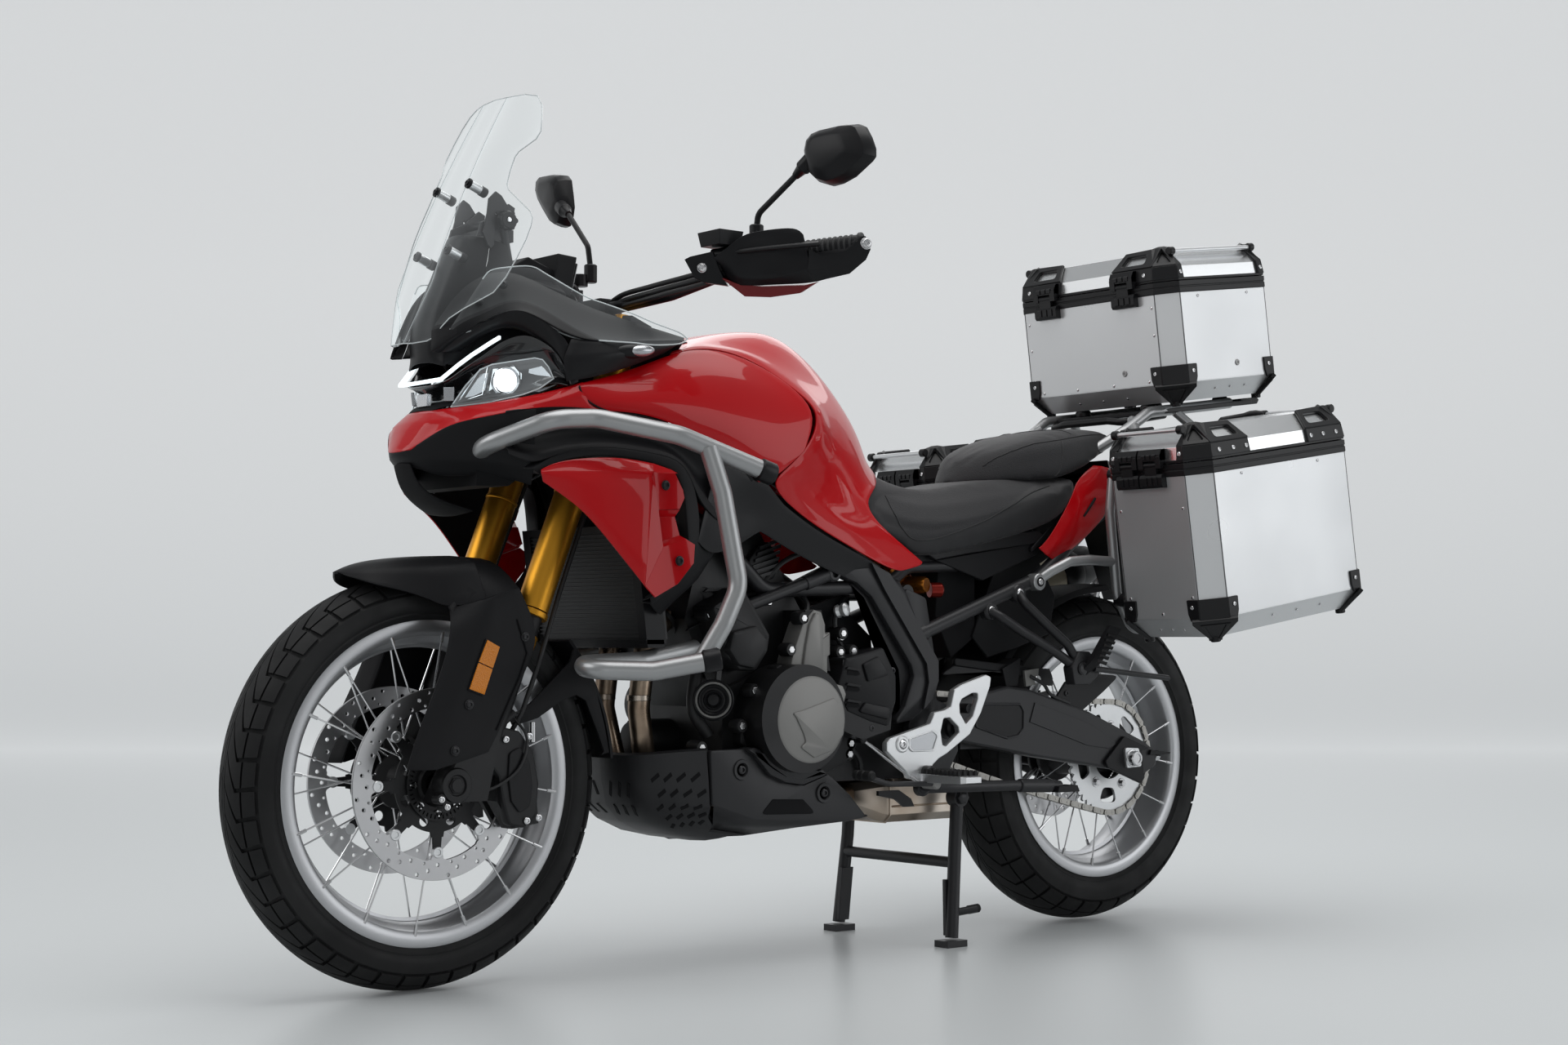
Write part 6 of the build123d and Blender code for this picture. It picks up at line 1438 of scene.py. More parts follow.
# hand guards
GC = [[tuple(p) for p in c] for c in T_GUARDHAND]
sheet_grid("handguard_shells", cols_to_rows(GC), "steering", "plastic_s", 3.0, 2, True, [("row", 1, 0.9), ("row", 2, 0.9), ("row", 3, 1.0), ("row", 0, 0.8)], replaces=("handguards",))
GE = [[tuple(p) for p in c] for c in T_GUARDEND]
hg = Bag("handguard_frames", "steering")
secs = []
for c in GE:
    o = c[::-1]
    secs.append(list(c) + [(c[3][0] + 8, c[3][1] + 12, c[3][2] + 2), (c[0][0] + 8, c[0][1] + 12, c[0][2] - 2)])
hg.add(loft(secs), "plastic_s", False, True)
hb_o = [tuple(p) for p in T_HANDBR[0]]
hg.add(extrude(hb_o, (9, 7, 0)), "plastic_s", False, True)
bolt(hg, (-366, -247, 1162), (-0.7, -0.7, 0), 6.5, "torx", "bolt", mirror=True, washer=8)
bolt(hg, (-190, -453, 1194), (-0.25, -0.95, 0.1), 8.0, "torx", "bolt", mirror=True, washer=10)
# painted shade: a darker copy of the red on the guards' underside
rb = [(-331, -250, 1150), (-312, -272, 1138), (-281, -296, 1134), (-264, -318, 1134), (-235, -352, 1134), (-223, -368, 1138), (-236, -340, 1122), (-270, -306, 1116), (-300, -276, 1118)]
hg.add(([tuple(p) for p in rb] + [(p[0] + 14, p[1] + 10, p[2] + 4) for p in rb], [list(range(9)), list(range(9, 18))[::-1]] + [[i, 9 + i, 9 + (i + 1) % 9, (i + 1) % 9] for i in range(9)]), "red_painted_shade", False, True)
hg.make(bevel=1.5)


# mirrors
def mirror_head(name, ring, stem, s):
    bag = Bag(name, "steering")
    n = len(ring)
    c = Vector([sum(p[i] for p in ring) / n for i in range(3)])
    nor = Vector((-0.985, -0.17 * (-s), 0)).normalized() if s > 0 else Vector((-0.985, -0.17, 0)).normalized()
    R0 = [Vector(p) for p in ring]
    def rg(k, off, dy=0.0, dz=0.0):
        return [tuple(c + (p - c) * k + nor * off + Vector((0, dy, dz))) for p in R0]
    inn = -s * 8.0
    bag.add(loft([rg(0.985, -13), rg(1.0, -9), rg(0.99, 0), rg(0.90, 14), rg(0.62, 25, inn, 2), rg(0.50, 27, inn, 2)], True), "plastic_s")
    bag.add(loft([rg(0.94, -14.2), rg(0.93, -14.0)], True), "mirror", False)
    st = [Vector(p) for p in stem]
    path = fillet([st[0]] + [(st[1] + st[2]) / 2] + [st[4]], 22, 10)
    bag.add(pipe(path, 5.2, 12), "plastic_s")
    bag.add(cyl(st[0] - Vector((0, 0, 26)), st[0] + Vector((0, 0, 8)), 12, n=24, bev=2), "plastic_s")
    dd = (st[5] - st[4]).normalized()
    bag.add(turn(st[4] - dd * 4, dd, [(6.5, 0), (10, 16), (13, 20), (13, 44), (10, 50)], 24), "plastic_s")
    bag.make(bevel=1.2, sharp=30)
    return bag


mirror_head("mirror_left", [(x, -353 + (y + 353) * 0.86, z) for x, y, z in T_MIR_L], T_STEM_L, -1)
mirror_head("mirror_right", [(x, 414 + (y - 450) * 0.78, z - 8) for x, y, z in T_MIR_R], T_STEM_R, 1)
mm = Bag("mirror_mounts", "steering")
mm.add(cyl((-262, -262, 1200), (-262, -262, 1222), 14, n=20), "plastic_s", mirror=True)
mm.make(bevel=1, replaces=("mirrors",))
# ---------------------------------------------------------------- cases
CASES = {
    "top_case": (796.8, 1232.3, 0.0, 214.5, 35.0, 326.7, 178.0, 36.0, 7.7),
    "left_case": (591.5, 853.4, -348.0, 124.5, 36.3, 456.0, 265.0, 38.0, 8.6),
    "right_case": (591.5, 853.4, 348.0, 124.5, 36.3, 456.0, 265.0, 38.0, 8.6),
}
BAND_H, LID_W0, LID_CREASE, LID_TOP, CT = 22.0, 24.0, 52.0, 84.0, 2.4


def case(name):
    x0, z0, yc, hw, chm, ln, dep, bev, tilt = CASES[name]
    ct, st = math.cos(math.radians(tilt)), math.sin(math.radians(tilt))

    def G(u, v, w):
        return (x0 + u * ct - w * st, yc + v, z0 + u * st + w * ct)

    def ring(w, i):
        c = chm
        p = [(i, -hw + c + i * 0.42), (c + i * 0.42, -hw + i), (ln - c - i * 0.42, -hw + i), (ln - i, -hw + c + i * 0.42),
             (ln - i, hw - c - i * 0.42), (ln - c - i * 0.42, hw - i), (c + i * 0.42, hw - i), (i, hw - c - i * 0.42)]
        return [G(u, v, w) for u, v in p]

    def facet(k, w0, i0, w1, i1):
        A, B = ring(w0, i0), ring(w1, i1)
        a0, a1, b0 = Vector(A[k]), Vector(A[(k + 1) % 8]), Vector(B[k])
        ux = (a1 - a0).normalized()
        uy = (b0 - a0) - ux * (b0 - a0).dot(ux)
        return a0, ux, uy.normalized(), (a1 - a0).length, uy.length

    def on(bag, fc, loops, t, mat, bevel=0.8, lift=0.0):
        a0, ux, uy, L, H = fc
        vs, fs = plate2d(loops, t, bevel)
        uz = ux.cross(uy)
        bag.add(([tuple(a0 + ux * x + uy * y + uz * (z + t / 2 + lift)) for x, y, z in vs], fs), mat)

    def wall(bag, rings, mat, cap=None, flip=False):
        vs = [p for r in rings for p in r]
        fs = []
        for j in range(len(rings) - 1):
            for k in range(8):
                q = [j * 8 + k, j * 8 + (k + 1) % 8, (j + 1) * 8 + (k + 1) % 8, (j + 1) * 8 + k]
                fs.append(q[::-1] if flip else q)
        if cap is not None:
            o = cap * 8
            f = [o + k for k in range(8)]
            fs.append(f if (cap != 0) != flip else f[::-1])
        bag.add((vs, fs), mat, False)
    body, lid = name + "_body", name + "_lid"
    b = Bag(name + "_shell", "chassis")
    wall(b, [ring(-dep - bev, bev), ring(-dep, 0), ring(0.5, 0)], "alu", 0)
    wall(b, [ring(-dep - bev + CT, bev + CT * 0.4), ring(-dep + CT * 0.4, CT), ring(BAND_H, CT)], "case_in", 0, True)
    wall(b, [ring(BAND_H, CT), ring(BAND_H, 0)], "alu_edge", None, True)
    # sheets folded over the corners: thin raised panels on the flats
    mats = {0: "alu", 1: "alu", 2: "alu", 3: "alu", 4: "alu", 5: "alu", 6: "alu", 7: "alu"}
    for k in (7, 1, 3, 5):
        fc = facet(k, -dep, 0, 0, 0)
        L, H = fc[3], fc[4]
        on(b, fc, [[(1.5, 1.5), (L - 1.5, 1.5), (L - 1.5, H - 1), (1.5, H - 1)]], 0.9, "alu", 0.25)
        for x in (0.0, L):
            on(b, fc, [[(x - 0.9, 0), (x + 0.9, 0), (x + 0.9, H - 1), (x - 0.9, H - 1)]], 0.5, "case_seam", 0.0)
    # band of black edging
    wall(b, [ring(-1.0, -1.2), ring(0.5, -2.6), ring(9, -2.6), ring(10, -1.4), ring(12, -1.4), ring(13, -2.6), ring(BAND_H, -2.6), ring(BAND_H + 0.4, 1.0)], "corner", None)
    # bottom corner pieces
    for k in (0, 2, 4, 6):
        fc = facet(k, -dep, 0, 0, 0)
        L = fc[3]
        on(b, fc, [[(-1.5, -2), (L + 1.5, -2), (L + 1.5, 36), (-1.5, 36)]], 5.0, "corner", 1.2)
        for kk, side in (((k - 1) % 8, 1), ((k + 1) % 8, 0)):
            g = facet(kk, -dep, 0, 0, 0)
            W_ = g[3]
            q = [(-2, -4), (20, -4), (25, 10), (26, 36), (-2, 36)]
            if side:
                q = [(W_ - x, y) for x, y in q][::-1]
            on(b, g, [rnd(q, 2.5, 3)], 4.6, "corner", 1.0)
            xb = 13 if not side else W_ - 13
            n_ = g[1].cross(g[2])
            bolt(b, tuple(g[0] + g[1] * xb + g[2] * 22 + n_ * 4.6), tuple(n_), 4.0, "torx", "bolt")
        h = facet(k, -dep - bev, bev, -dep, 0)
        L, H = h[3], h[4]
        Lt = fc[3] / 2
        on(b, h, [[(L / 2 - 12, -3), (L / 2 + 12, -3), (L / 2 + 13, 4), (L / 2 + Lt + 16, H - 7), (L / 2 + Lt + 16, H + 2), (L / 2 - Lt - 16, H + 2), (L / 2 - Lt - 16, H - 7), (L / 2 - 13, 4)]], 8.0, "corner", 1.6)
        on(b, h, [[(L / 2 - 8, 3), (L / 2 + 8, 3), (L / 2 + Lt + 2, H - 8), (L / 2 - Lt - 2, H - 8)], [(L / 2 - 6, 6), (L / 2 + 6, 6), (L / 2 + Lt - 6, H - 11), (L / 2 - Lt + 6, H - 11)]], 2.0, "corner", 0.6, 7.6)
        c = h[0] + h[1] * (L / 2) + h[2] * 1 + h[1].cross(h[2]) * 2
        dn = Vector(G(0, 0, -1)) - Vector(G(0, 0, 0))
        b.add(cyl(c + dn * -4, c + dn * 9, 9.5, n=20, bev=1.5), "corner")
    # rivets
    front = facet(7, -dep, 0, 0, 0)
    def riv(fc, pts, r=3.2):
        n_ = fc[1].cross(fc[2])
        for x, y in pts:
            rivet(b, tuple(fc[0] + fc[1] * x + fc[2] * y + n_ * 0.9), tuple(n_), r)
    for k in (7, 3):
        fc = facet(k, -dep, 0, 0, 0)
        L, H = fc[3], fc[4]
        if name == "top_case":
            riv(fc, [(10, H - 26), (10, H * 0.55), (10, 34), (L - 10, H - 26), (L - 10, H * 0.55), (L - 10, 34), (34, 8), (L * 0.36, 8), (L * 0.64, 8), (L - 34, 8)])
        else:
            riv(fc, [(12, 40), (L - 12, 40), (L / 2, 10), (12, H - 60), (L - 12, H - 60)])
        hb_ = facet(k, -dep - bev, bev, -dep, 0)
        riv(hb_, [(hb_[3] * f, hb_[4] * 0.45) for f in (0.3, 0.5, 0.7)], 2.8)
    for k in (1, 5):
        fc = facet(k, -dep, 0, 0, 0)
        L, H = fc[3], fc[4]
        riv(fc, [(L * 0.2, H - 9), (L * 0.78, H - 9)])
        hb_ = facet(k, -dep - bev, bev, -dep, 0)
        riv(hb_, [(hb_[3] * f, hb_[4] * 0.55) for f in (0.36, 0.56, 0.76)], 2.8)
    if name == "top_case":
        for kk, x, y in ((7, 179.5 - 83 + 0, dep - 148), (1, 186 - chm, dep - 148), (5, 70, dep - 148)):
            fc = facet(kk, -dep, 0, 0, 0)
            if kk == 7:
                x = fc[3] / 2 + 83
            n_ = fc[1].cross(fc[2])
            b.add(turn(fc[0] + fc[1] * x + fc[2] * y, n_, [(6.4, 0), (6.4, 2.0), (5.4, 3.0), (2.4, 3.0), (2.0, 1.6), (0.02, 1.6)], 20), "lock_grey")
    # hinges on the front face
    if name == "top_case":
        hin = [(-107.0, 60.0), (107.0, 60.0)]
    else:
        sgn = 1 if name == "left_case" else -1
        hin = [(sgn * 41.0, 54.0), (sgn * -17.0, 54.0)]
    li = Bag(name + "_cover", lid)
    for vc, wd in hin:
        q = [(0.5, 8), (-12, 6), (-15, 0), (-15, -14), (-12, -19), (0.5, -20)]
        b.add(extrude([G(u, vc - wd / 2, w) for u, w in q], (0, wd, 0)), "corner", False)
        for j in range(3):
            v0 = vc - wd / 2 + 8 + j * (wd - 16) / 3
            b.add(extrude([G(u, v0 + 2, w) for u, w in ((-15, 2), (-17, 0), (-17, -12), (-15, -14))], (0, (wd - 16) / 3 - 4, 0)), "corner", False)
        b.add(extrude([G(u, vc - wd * 0.26, w) for u, w in ((-13, 0), (-13, BAND_H), (-6, BAND_H), (-6, 0))], (0, wd * 0.52, 0)), "corner", False)
        b.add(cyl(G(-9, vc - wd * 0.265, BAND_H + 1), G(-9, vc + wd * 0.265, BAND_H + 1), 5.5, n=20), "corner")
        for e in (-1, 1):
            y0 = vc + (wd * 0.275 if e > 0 else -wd * 0.5)
            li.add(extrude([G(u, y0, w) for u, w in ((2.5, LID_W0 + 2), (2.5, LID_W0 + 27), (-7, LID_W0 + 27), (-15, LID_W0 + 14), (-15, BAND_H - 5), (-6.6, BAND_H - 5), (-4, LID_W0 + 2))],
                           (0, wd * 0.225, 0)), "corner", False)
        li.add(extrude([G(u, vc - wd / 2, w) for u, w in ((4, LID_W0 + 7), (4, LID_W0 + 28), (-9, LID_W0 + 28), (-14, LID_W0 + 18), (-14, LID_W0 + 7))], (0, wd, 0)), "corner", False)
        for j in range(3):
            v0 = vc - wd / 2 + 8 + j * (wd - 16) / 3
            li.add(extrude([G(u, v0 + 2, w) for u, w in ((-13, LID_W0 + 20), (-16, LID_W0 + 17), (-16, LID_W0 + 10), (-13, LID_W0 + 9))], (0, (wd - 16) / 3 - 4, 0)), "corner", False)
    shell = b.make(bevel=0.5, seg=1, sharp=25, slot="case_aluminium", replaces=(body,))
    for v_ in shell.data.vertices:
        v_.co.x = min(v_.co.x, HI0[0] - 0.0003)

    # lid
    def ins(w):
        return 1.5 + (w - LID_W0) / (LID_CREASE - LID_W0) * 4.5 if w <= LID_CREASE else 6 + (w - LID_CREASE) / (LID_TOP - LID_CREASE) * 30
    wall(li, [ring(LID_W0 + 3, ins(LID_W0 + 3)), ring(LID_CREASE, 6), ring(LID_TOP, 36)], "alu_lid", 2)
    wall(li, [ring(LID_W0, 1.5 + CT), ring(LID_CREASE, 6 + CT), ring(LID_TOP - CT, 36 + CT * 0.6)], "case_in", 2, True)
    wall(li, [ring(LID_W0, 1.5 + CT), ring(LID_W0, -1.6), ring(LID_W0 + 4, -1.6), ring(LID_W0 + 5, 1.5)], "corner", None)
    long_ = (7, 3) if name == "top_case" else (1, 5)
    short_ = (1, 5) if name == "top_case" else (7, 3)
    HL = 106.0
    for k in (0, 2, 4, 6):
        lo_, up_ = facet(k, LID_W0 + 3, ins(LID_W0 + 3), LID_CREASE, 6), facet(k, LID_CREASE, 6, LID_TOP, 36)
        L = lo_[3]
        on(li, lo_, [[(-2, 0), (L + 2, 0), (L + 2, lo_[4] + 1), (-2, lo_[4] + 1)]], 5.5, "corner", 1.2)
        L, H = up_[3], up_[4]
        cx = L / 2
        tri = [(8, 6), (L - 8, 6), (cx, H - 4)]
        on(li, up_, [[(-1, -2), (L + 1, -2), (L - 3, H + 4), (cx + 6, H + 9), (cx - 6, H + 9), (3, H + 4)], rnd(tri, 3, 3)], 6.5, "corner", 1.2)
        on(li, up_, [[(2, 0), (L - 2, 0), (L - 6, H), (6, H)]], 2.0, "corner", 0.3)
        for kk, near0 in (((k - 1) % 8, False), ((k + 1) % 8, True)):
            A_, B_ = facet(kk, LID_W0 + 3, ins(LID_W0 + 3), LID_CREASE, 6), facet(kk, LID_CREASE, 6, LID_TOP, 36)
            if kk in long_:
                lowq = [(-2, 0), (HL, 0), (HL, A_[4] + 1), (-2, A_[4] + 1)]
                upq = [(-2, -2), (HL, -2), (HL - 6, 14), (HL - 16, B_[4] + 2), (6, B_[4] + 5), (-2, B_[4] + 4)]
                hole = [(22, 9), (HL - 20, 9), (HL - 26, B_[4] - 9), (28, B_[4] - 9)]
                blt = [(20, 12), (HL * 0.56, 12), (HL - 10, 12)]
            else:
                lowq = [(-2, 0), (14, 0), (14, A_[4] + 1), (-2, A_[4] + 1)]
                upq = [(-2, -2), (14, -2), (12, B_[4] + 4), (-2, B_[4] + 6)]
                hole = None
                blt = [(6, 12)]
            W0_, W1_ = A_[3], B_[3]
            fl_ = (lambda q, W_: [(W_ - x, y) for x, y in q][::-1])
            lq, uq = (lowq, upq) if near0 else (fl_(lowq, W0_), fl_(upq, W1_))
            on(li, A_, [lq], 5.2, "corner", 1.0)
            loops = [rnd(uq, 2, 2)]
            if hole:
                loops.append(rnd(hole if near0 else fl_(hole, W1_), 6, 4))
            on(li, B_, loops, 6.0 if hole else 5.0, "corner", 1.2, 1.0 if hole else 0.0)
            n_ = A_[1].cross(A_[2])
            for x, y in blt:
                xx = x if near0 else W0_ - x
                bolt(li, tuple(A_[0] + A_[1] * xx + A_[2] * y + n_ * 5.2), tuple(n_), 4.2, "torx", "bolt")
    # tie rods along the short ends
    if name == "top_case":
        ends = [((chm + 8, v), (ln - chm - 8, v)) for v in (-hw + 20, hw - 20)]
    else:
        ends = [((u, -hw + chm + 8), (u, hw - chm - 8)) for u in (11, ln - 11)]
    for (ua, va), (ub, vb) in ends:
        li.add(cyl(G(ua, va, LID_TOP - 1), G(ub, vb, LID_TOP - 1), 4.6, n=18), "silver")
        for u_, v_ in ((ua, va), (ub, vb)):
            dd = (Vector(G(ub, vb, 0)) - Vector(G(ua, va, 0))).normalized()
            c = Vector(G(u_, v_, LID_TOP - 1))
            li.add(cyl(c - dd * 7, c + dd * 7, 8.5, n=18, bev=1.5), "corner")
    li.make(bevel=0.5, seg=1, sharp=25, slot="case_aluminium", replaces=(lid,))


for nm in CASES:
    case(nm)
# ---------------------------------------------------------------- frame and engine
mf = Bag("frame_tubes", "chassis")
for pts, r in (([(-425, -16, 932), (-330, -62, 890), (-250, -136, 838), (-60, -142, 760), (150, -142, 640), (210, -142, 520), (214, -142, 430)], 17),
               ([(-400, -14, 1000), (-300, -62, 958), (-200, -120, 880), (-20, -134, 780)], 13), ([(-262, -130, 842), (-235, -132, 720), (-150, -136, 640), (150, -142, 650)], 13),
               ([(190, -146, 560), (513, -140, 672), (700, -118, 800), (790, -80, 862)], 13), ([(130, -136, 650), (200, -114, 686), (330, -112, 692), (440, -112, 724), (600, -112, 762), (790, -80, 866)], 11)):
    mf.add(pipe(fillet(pts, 50, 6), r, 22), "frame_black", True, True)
mf.add(cyl((186, -146, 558), (214, -145, 568), 15.5, n=22, bev=1), "frame_black", True, True)
mf.add(cyl((-459.6, 0, 879.2), (-396.5, 0, 1039.3), 29, n=32, bev=2), "frame_black")
for y0, y1 in ((-90, 90),):
    mf.add(cyl((790, y0, 866), (790, y1, 866), 12), "frame_black")
mf.add(cyl((250, -150, 320), (250, 150, 320), 14), "frame_black"); mf.add(cyl((180, -140, 640), (180, 140, 640), 14), "frame_black")
mf.make(replaces=("main_frame",))


def inset2(pts, d):
    n = len(pts)
    area = sum(pts[i][0] * pts[(i + 1) % n][1] - pts[(i + 1) % n][0] * pts[i][1] for i in range(n))
    s = 1 if area > 0 else -1
    out = []
    for i in range(n):
        p0, p1, p2 = pts[i - 1], pts[i], pts[(i + 1) % n]
        e1 = Vector((p1[0] - p0[0], p1[1] - p0[1])); e2 = Vector((p2[0] - p1[0], p2[1] - p1[1]))
        if e1.length < 1e-6 or e2.length < 1e-6:
            out.append(p1); continue
        n1 = Vector((-e1.y, e1.x)).normalized() * s; n2 = Vector((-e2.y, e2.x)).normalized() * s
        m = n1 + n2
        if m.length < 1e-3:
            out.append(p1); continue
        m.normalize()
        k = d / max(0.5, m.dot(n1))
        out.append((p1[0] + m.x * k, p1[1] + m.y * k))
    return out


def flat_on(bag, pts, y, t, mat, bevel=1.5, mirror=False):
    """A plate in a side plane: y is its outer face, t its depth inwards."""
    s = -1 if y < 0 else 1
    n = len(pts)
    rings = [(pts, y - s * t), (pts, y - s * bevel), (inset2(pts, bevel * 0.3), y - s * bevel * 0.3), (inset2(pts, bevel), y)]
    vs, fs = [], []
    for q, yy in rings:
        vs += [(x, yy, z) for x, z in q]
    area = sum(pts[i][0] * pts[(i + 1) % n][1] - pts[(i + 1) % n][0] * pts[i][1] for i in range(n))
    flip = (area > 0) == (s > 0)
    for r in range(3):
        for k in range(n):
            f = [r * n + k, r * n + (k + 1) % n, (r + 1) * n + (k + 1) % n, (r + 1) * n + k]
            fs.append(f[::-1] if flip else f)
    cap = [3 * n + k for k in range(n)]
    fs.append(cap[::-1] if flip else cap)
    bag.add((vs, fs), mat, False, mirror)


fc_ = Bag("frame_covers", "chassis")
flat_on(fc_, rnd([(160, 650), (214, 630), (236, 520), (238, 446), (286, 430), (292, 352), (262, 306), (186, 306), (170, 400), (196, 470)], 10, 4), -152, 14, "frame_black", 2, True)
flat_on(fc_, rnd(T_SPAR, 6, 4), -164, 20, "frame_black", 4, True)
flat_on(fc_, rnd(T_SPAR_IN, 4, 3), -154, 14, "plastic_s", 3, True)
flat_on(fc_, rnd(T_TRI, 5, 3), -152, 16, "plastic", 4, True)
fc_.add(extrude([(x, -166, z) for x, z in ((67, 690), (110, 672), (146, 630), (226, 515), (226, 482), (212, 448), (190, 430), (203, 478), (198, 512), (100, 640))], (0, -5, 0)), "frame_black", False, True)
# bolt head of the spar
fc_.add(turn((-33, -152, 712), (0, -1, 0), [(17, 0), (17, 9), (14, 12), (9, 12), (8, 7), (0.02, 7)], 28), "plastic_s", True, True)
bolt(fc_, (-33, -160, 712), (0, -1, 0), 6.5, "hex", "bolt_black", mirror=True)
# link tube with its eye
fc_.add(cyl((-190, -146, 613), (-16, -152, 670), 10.5, n=24), "frame_black", True, True)
fc_.add(cyl((-70, -150, 652), (-16, -152, 670), 12.5, n=24, bev=1), "frame_black", True, True)
fc_.add(turn((-12, -136, 671), (0, -1, 0), [(15, 0), (15, 26), (12, 29), (8, 29), (7, 22), (0.02, 22)], 28), "frame_black", True, True)
# rear part: pivot plate below the spar
fc_.add(turn((264, -166, 396), (0, -1, 0), [(20, 0), (20, 8), (16, 12), (9, 12), (8, 9), (0.02, 9)], 28), "plastic_s", True, True)
fc_.make(bevel=1.2, seg=2)

en = Bag("engine_details", "chassis")
dress("engine", "engine", 3.0)
# left side: casing wall, generator cover, grey upper cover
flat_on(en, rnd(T_CASING, 10, 4), -150, 30, "engine", 4)
gc = (-106, 415)
en.add(turn((gc[0], -140, gc[1]), (0, -1, 0), [(100, 0), (99, 8), (93, 22), (85, 38), (80, 42), (74, 42)], 64, False), "engine")
en.add(turn((gc[0] + 6, -178, gc[1] + 4), (0, -1, 0), [(80, 0), (80, 16), (78, 24), (74, 28), (70, 29.5), (0.02, 29.5)], 64), "engine_grey")
flat_on(en, rnd(T_DISC_RELIEF, 5, 4), -210.5, 8, "engine_grey", 2)
flat_on(en, rnd(T_DISC_TAB, 5, 4), -204, 16, "engine_grey", 3)
flat_on(en, rnd(T_GREYC, 4, 4), -174, 40, "engine_grey", 3)
flat_on(en, rnd(T_GREYF, 5, 3), -180, 10, "engine_grey", 4)
for x, z in T_ENGB:
    en.add(turn((x, -150, z), (0, -1, 0), [(12, 0), (12, 20), (10, 24), (0.02, 24)], 24), "engine")
    bolt(en, (x, -172, z), (0, -1, 0), 6.5, "hex", "bolt")
for x, z in T_ENGB2:
    en.add(turn((x, -120, z), (0, -1, 0), [(12, 0), (12, 26), (10, 30), (0.02, 30)], 24), "engine")
    bolt(en, (x, -148, z), (0, -1, 0), 6.5, "hex", "bolt")
# sprocket cover with its raised frame and three vents
flat_on(en, rnd(T_SPRC, 8, 4), -181, 43, "plastic_s", 5)
flat_on(en, rnd([(46, 481), (97, 493), (71, 526), (34, 512)], 5, 3), -186, 8, "plastic_s", 2.5)
flat_on(en, rnd([(40, 445), (98, 435), (93, 414), (24, 429)], 5, 3), -186, 8, "plastic_s", 2.5)
# painted shade: deep-black prisms inside the three vents
for j, z in enumerate((498, 470, 442)):
    en.add(prism([(0 - j * 2, z - 4), (2, z + 6), (26, z + 2), (30, z - 3), (24, z - 6)], -182, -172), "dark", False)
    en.add(prism([(-4, z + 6), (0, z + 10), (30, z + 5), (26, z + 2)], -186, -172), "plastic_s", False)
for x, z in ((98, 430), (60, 400), (110, 500)):
    bolt(en, (x, -176, z), (0, -1, 0), 6, "torx", "bolt_black")
# black thermostat housing, cam cover and ribs
flat_on(en, rnd(T_THERM, 8, 4), -172, 60, "engine", 8)
flat_on(en, rnd(T_THERMF, 7, 4), -184, 20, "engine", 6)
flat_on(en, rnd(T_HEADC, 6, 4), -124, 40, "engine", 4)
for j in range(6):
    z = 655 + j * 11
    en.add(extrude([(-176 + j * 5, -128, z), (-112 + j * 2, -128, z + 16), (-112 + j * 2, -128, z + 20), (-176 + j * 5, -128, z + 4)], (0, 12, 0)), "engine", False)
    en.add(extrude([(-176 + j * 5, -129, z + 4), (-112 + j * 2, -129, z + 20), (-112 + j * 2, -129, z + 21.5), (-176 + j * 5, -129, z + 5.5)], (0, 6, 0)), "frame_black", False)
# horn
hd = Vector((-0.62, -0.78, 0.05)).normalized()
hc = Vector((-268, -150, 454))
en.add(turn(tuple(hc - hd * 16), tuple(hd), [(26, 0), (34, 6), (35, 14), (33, 16), (30, 13), (26, 13), (24, 16), (20, 13), (17, 13), (15, 17), (11, 14), (9, 19), (0.02, 20)], 40), "plastic_s")
en.add(turn(tuple(hc - hd * 2.5), tuple(hd), [(31, 0), (29, 1.2), (27, 0)], 40, False), "engine_grey")
en.add(prism([(-262, 484), (-252, 484), (-246, 540), (-256, 540)], -150, -144), "frame_black", False)
# front of the crankcase: oil filter, covers and hoses in shadow
en.add(turn((-232, 30, 380), (-1, 0, 0), [(38, 0), (38, 70), (34, 78), (0.02, 78)], 32), "engine")
for j in range(10):
    a_ = math.tau * j / 10
    en.add(turn((-300, 30 + 34 * math.cos(a_), 380 + 34 * math.sin(a_)), (-1, 0, 0), [(3, 0), (3, 8), (0.02, 8)], 6), "engine", False)
en.add(pipe(spline([(-232, -70, 520), (-262, -96, 500), (-276, -104, 440), (-250, -112, 392)], 8), 11, 14), "hose")
en.add(pipe(spline([(-240, -118, 610), (-262, -100, 640), (-330, -90, 660), (-380, -110, 690)], 8), 13, 14), "hose")
en.add(pipe(spline([(-376, 118, 590), (-330, 120, 560), (-270, 110, 520), (-232, 90, 500)], 8), 13, 14), "hose")
for q in ([(-150, -118, 640), (-100, -130, 690), (-40, -136, 712), (30, -120, 726)], [(60, -118, 640), (20, -128, 600), (20, -132, 560), (52, -128, 520)],
          [(-60, -120, 640), (-56, -140, 618), (-66, -150, 600)], [(26, -130, 380), (60, -140, 350), (72, -136, 320)], [(80, -126, 640), (120, -130, 560), (130, -128, 480), (120, -120, 400)]):
    en.add(pipe(spline(q, 8), 4.5, 8), "hose")
# knurled silver coupling and small fittings in the dark area behind the covers
en.add(turn((12, -140, 604), (0.3, -0.9, 0.2), [(11, 0), (12, 4), (9, 10), (12, 14), (12, 20), (6, 24), (0.02, 24)], 20), "silver")
en.add(turn((18, -136, 560), (0, -1, 0), [(8, 0), (9, 8), (6, 12), (0.02, 12)], 16), "bolt")
# painted shade: a deep-black plate behind the covers
en.add(prism([(-40, 610), (60, 640), (60, 600), (110, 560), (120, 470), (100, 380), (-20, 380)], -118, -112), "dark", False)
# bolts on the cylinder block side
for x, z in ((-232, 560), (-206, 600), (-150, 560), (-120, 620)):
    bolt(en, (x, -114, z), (0, -1, 0), 6, "hex", "bolt")
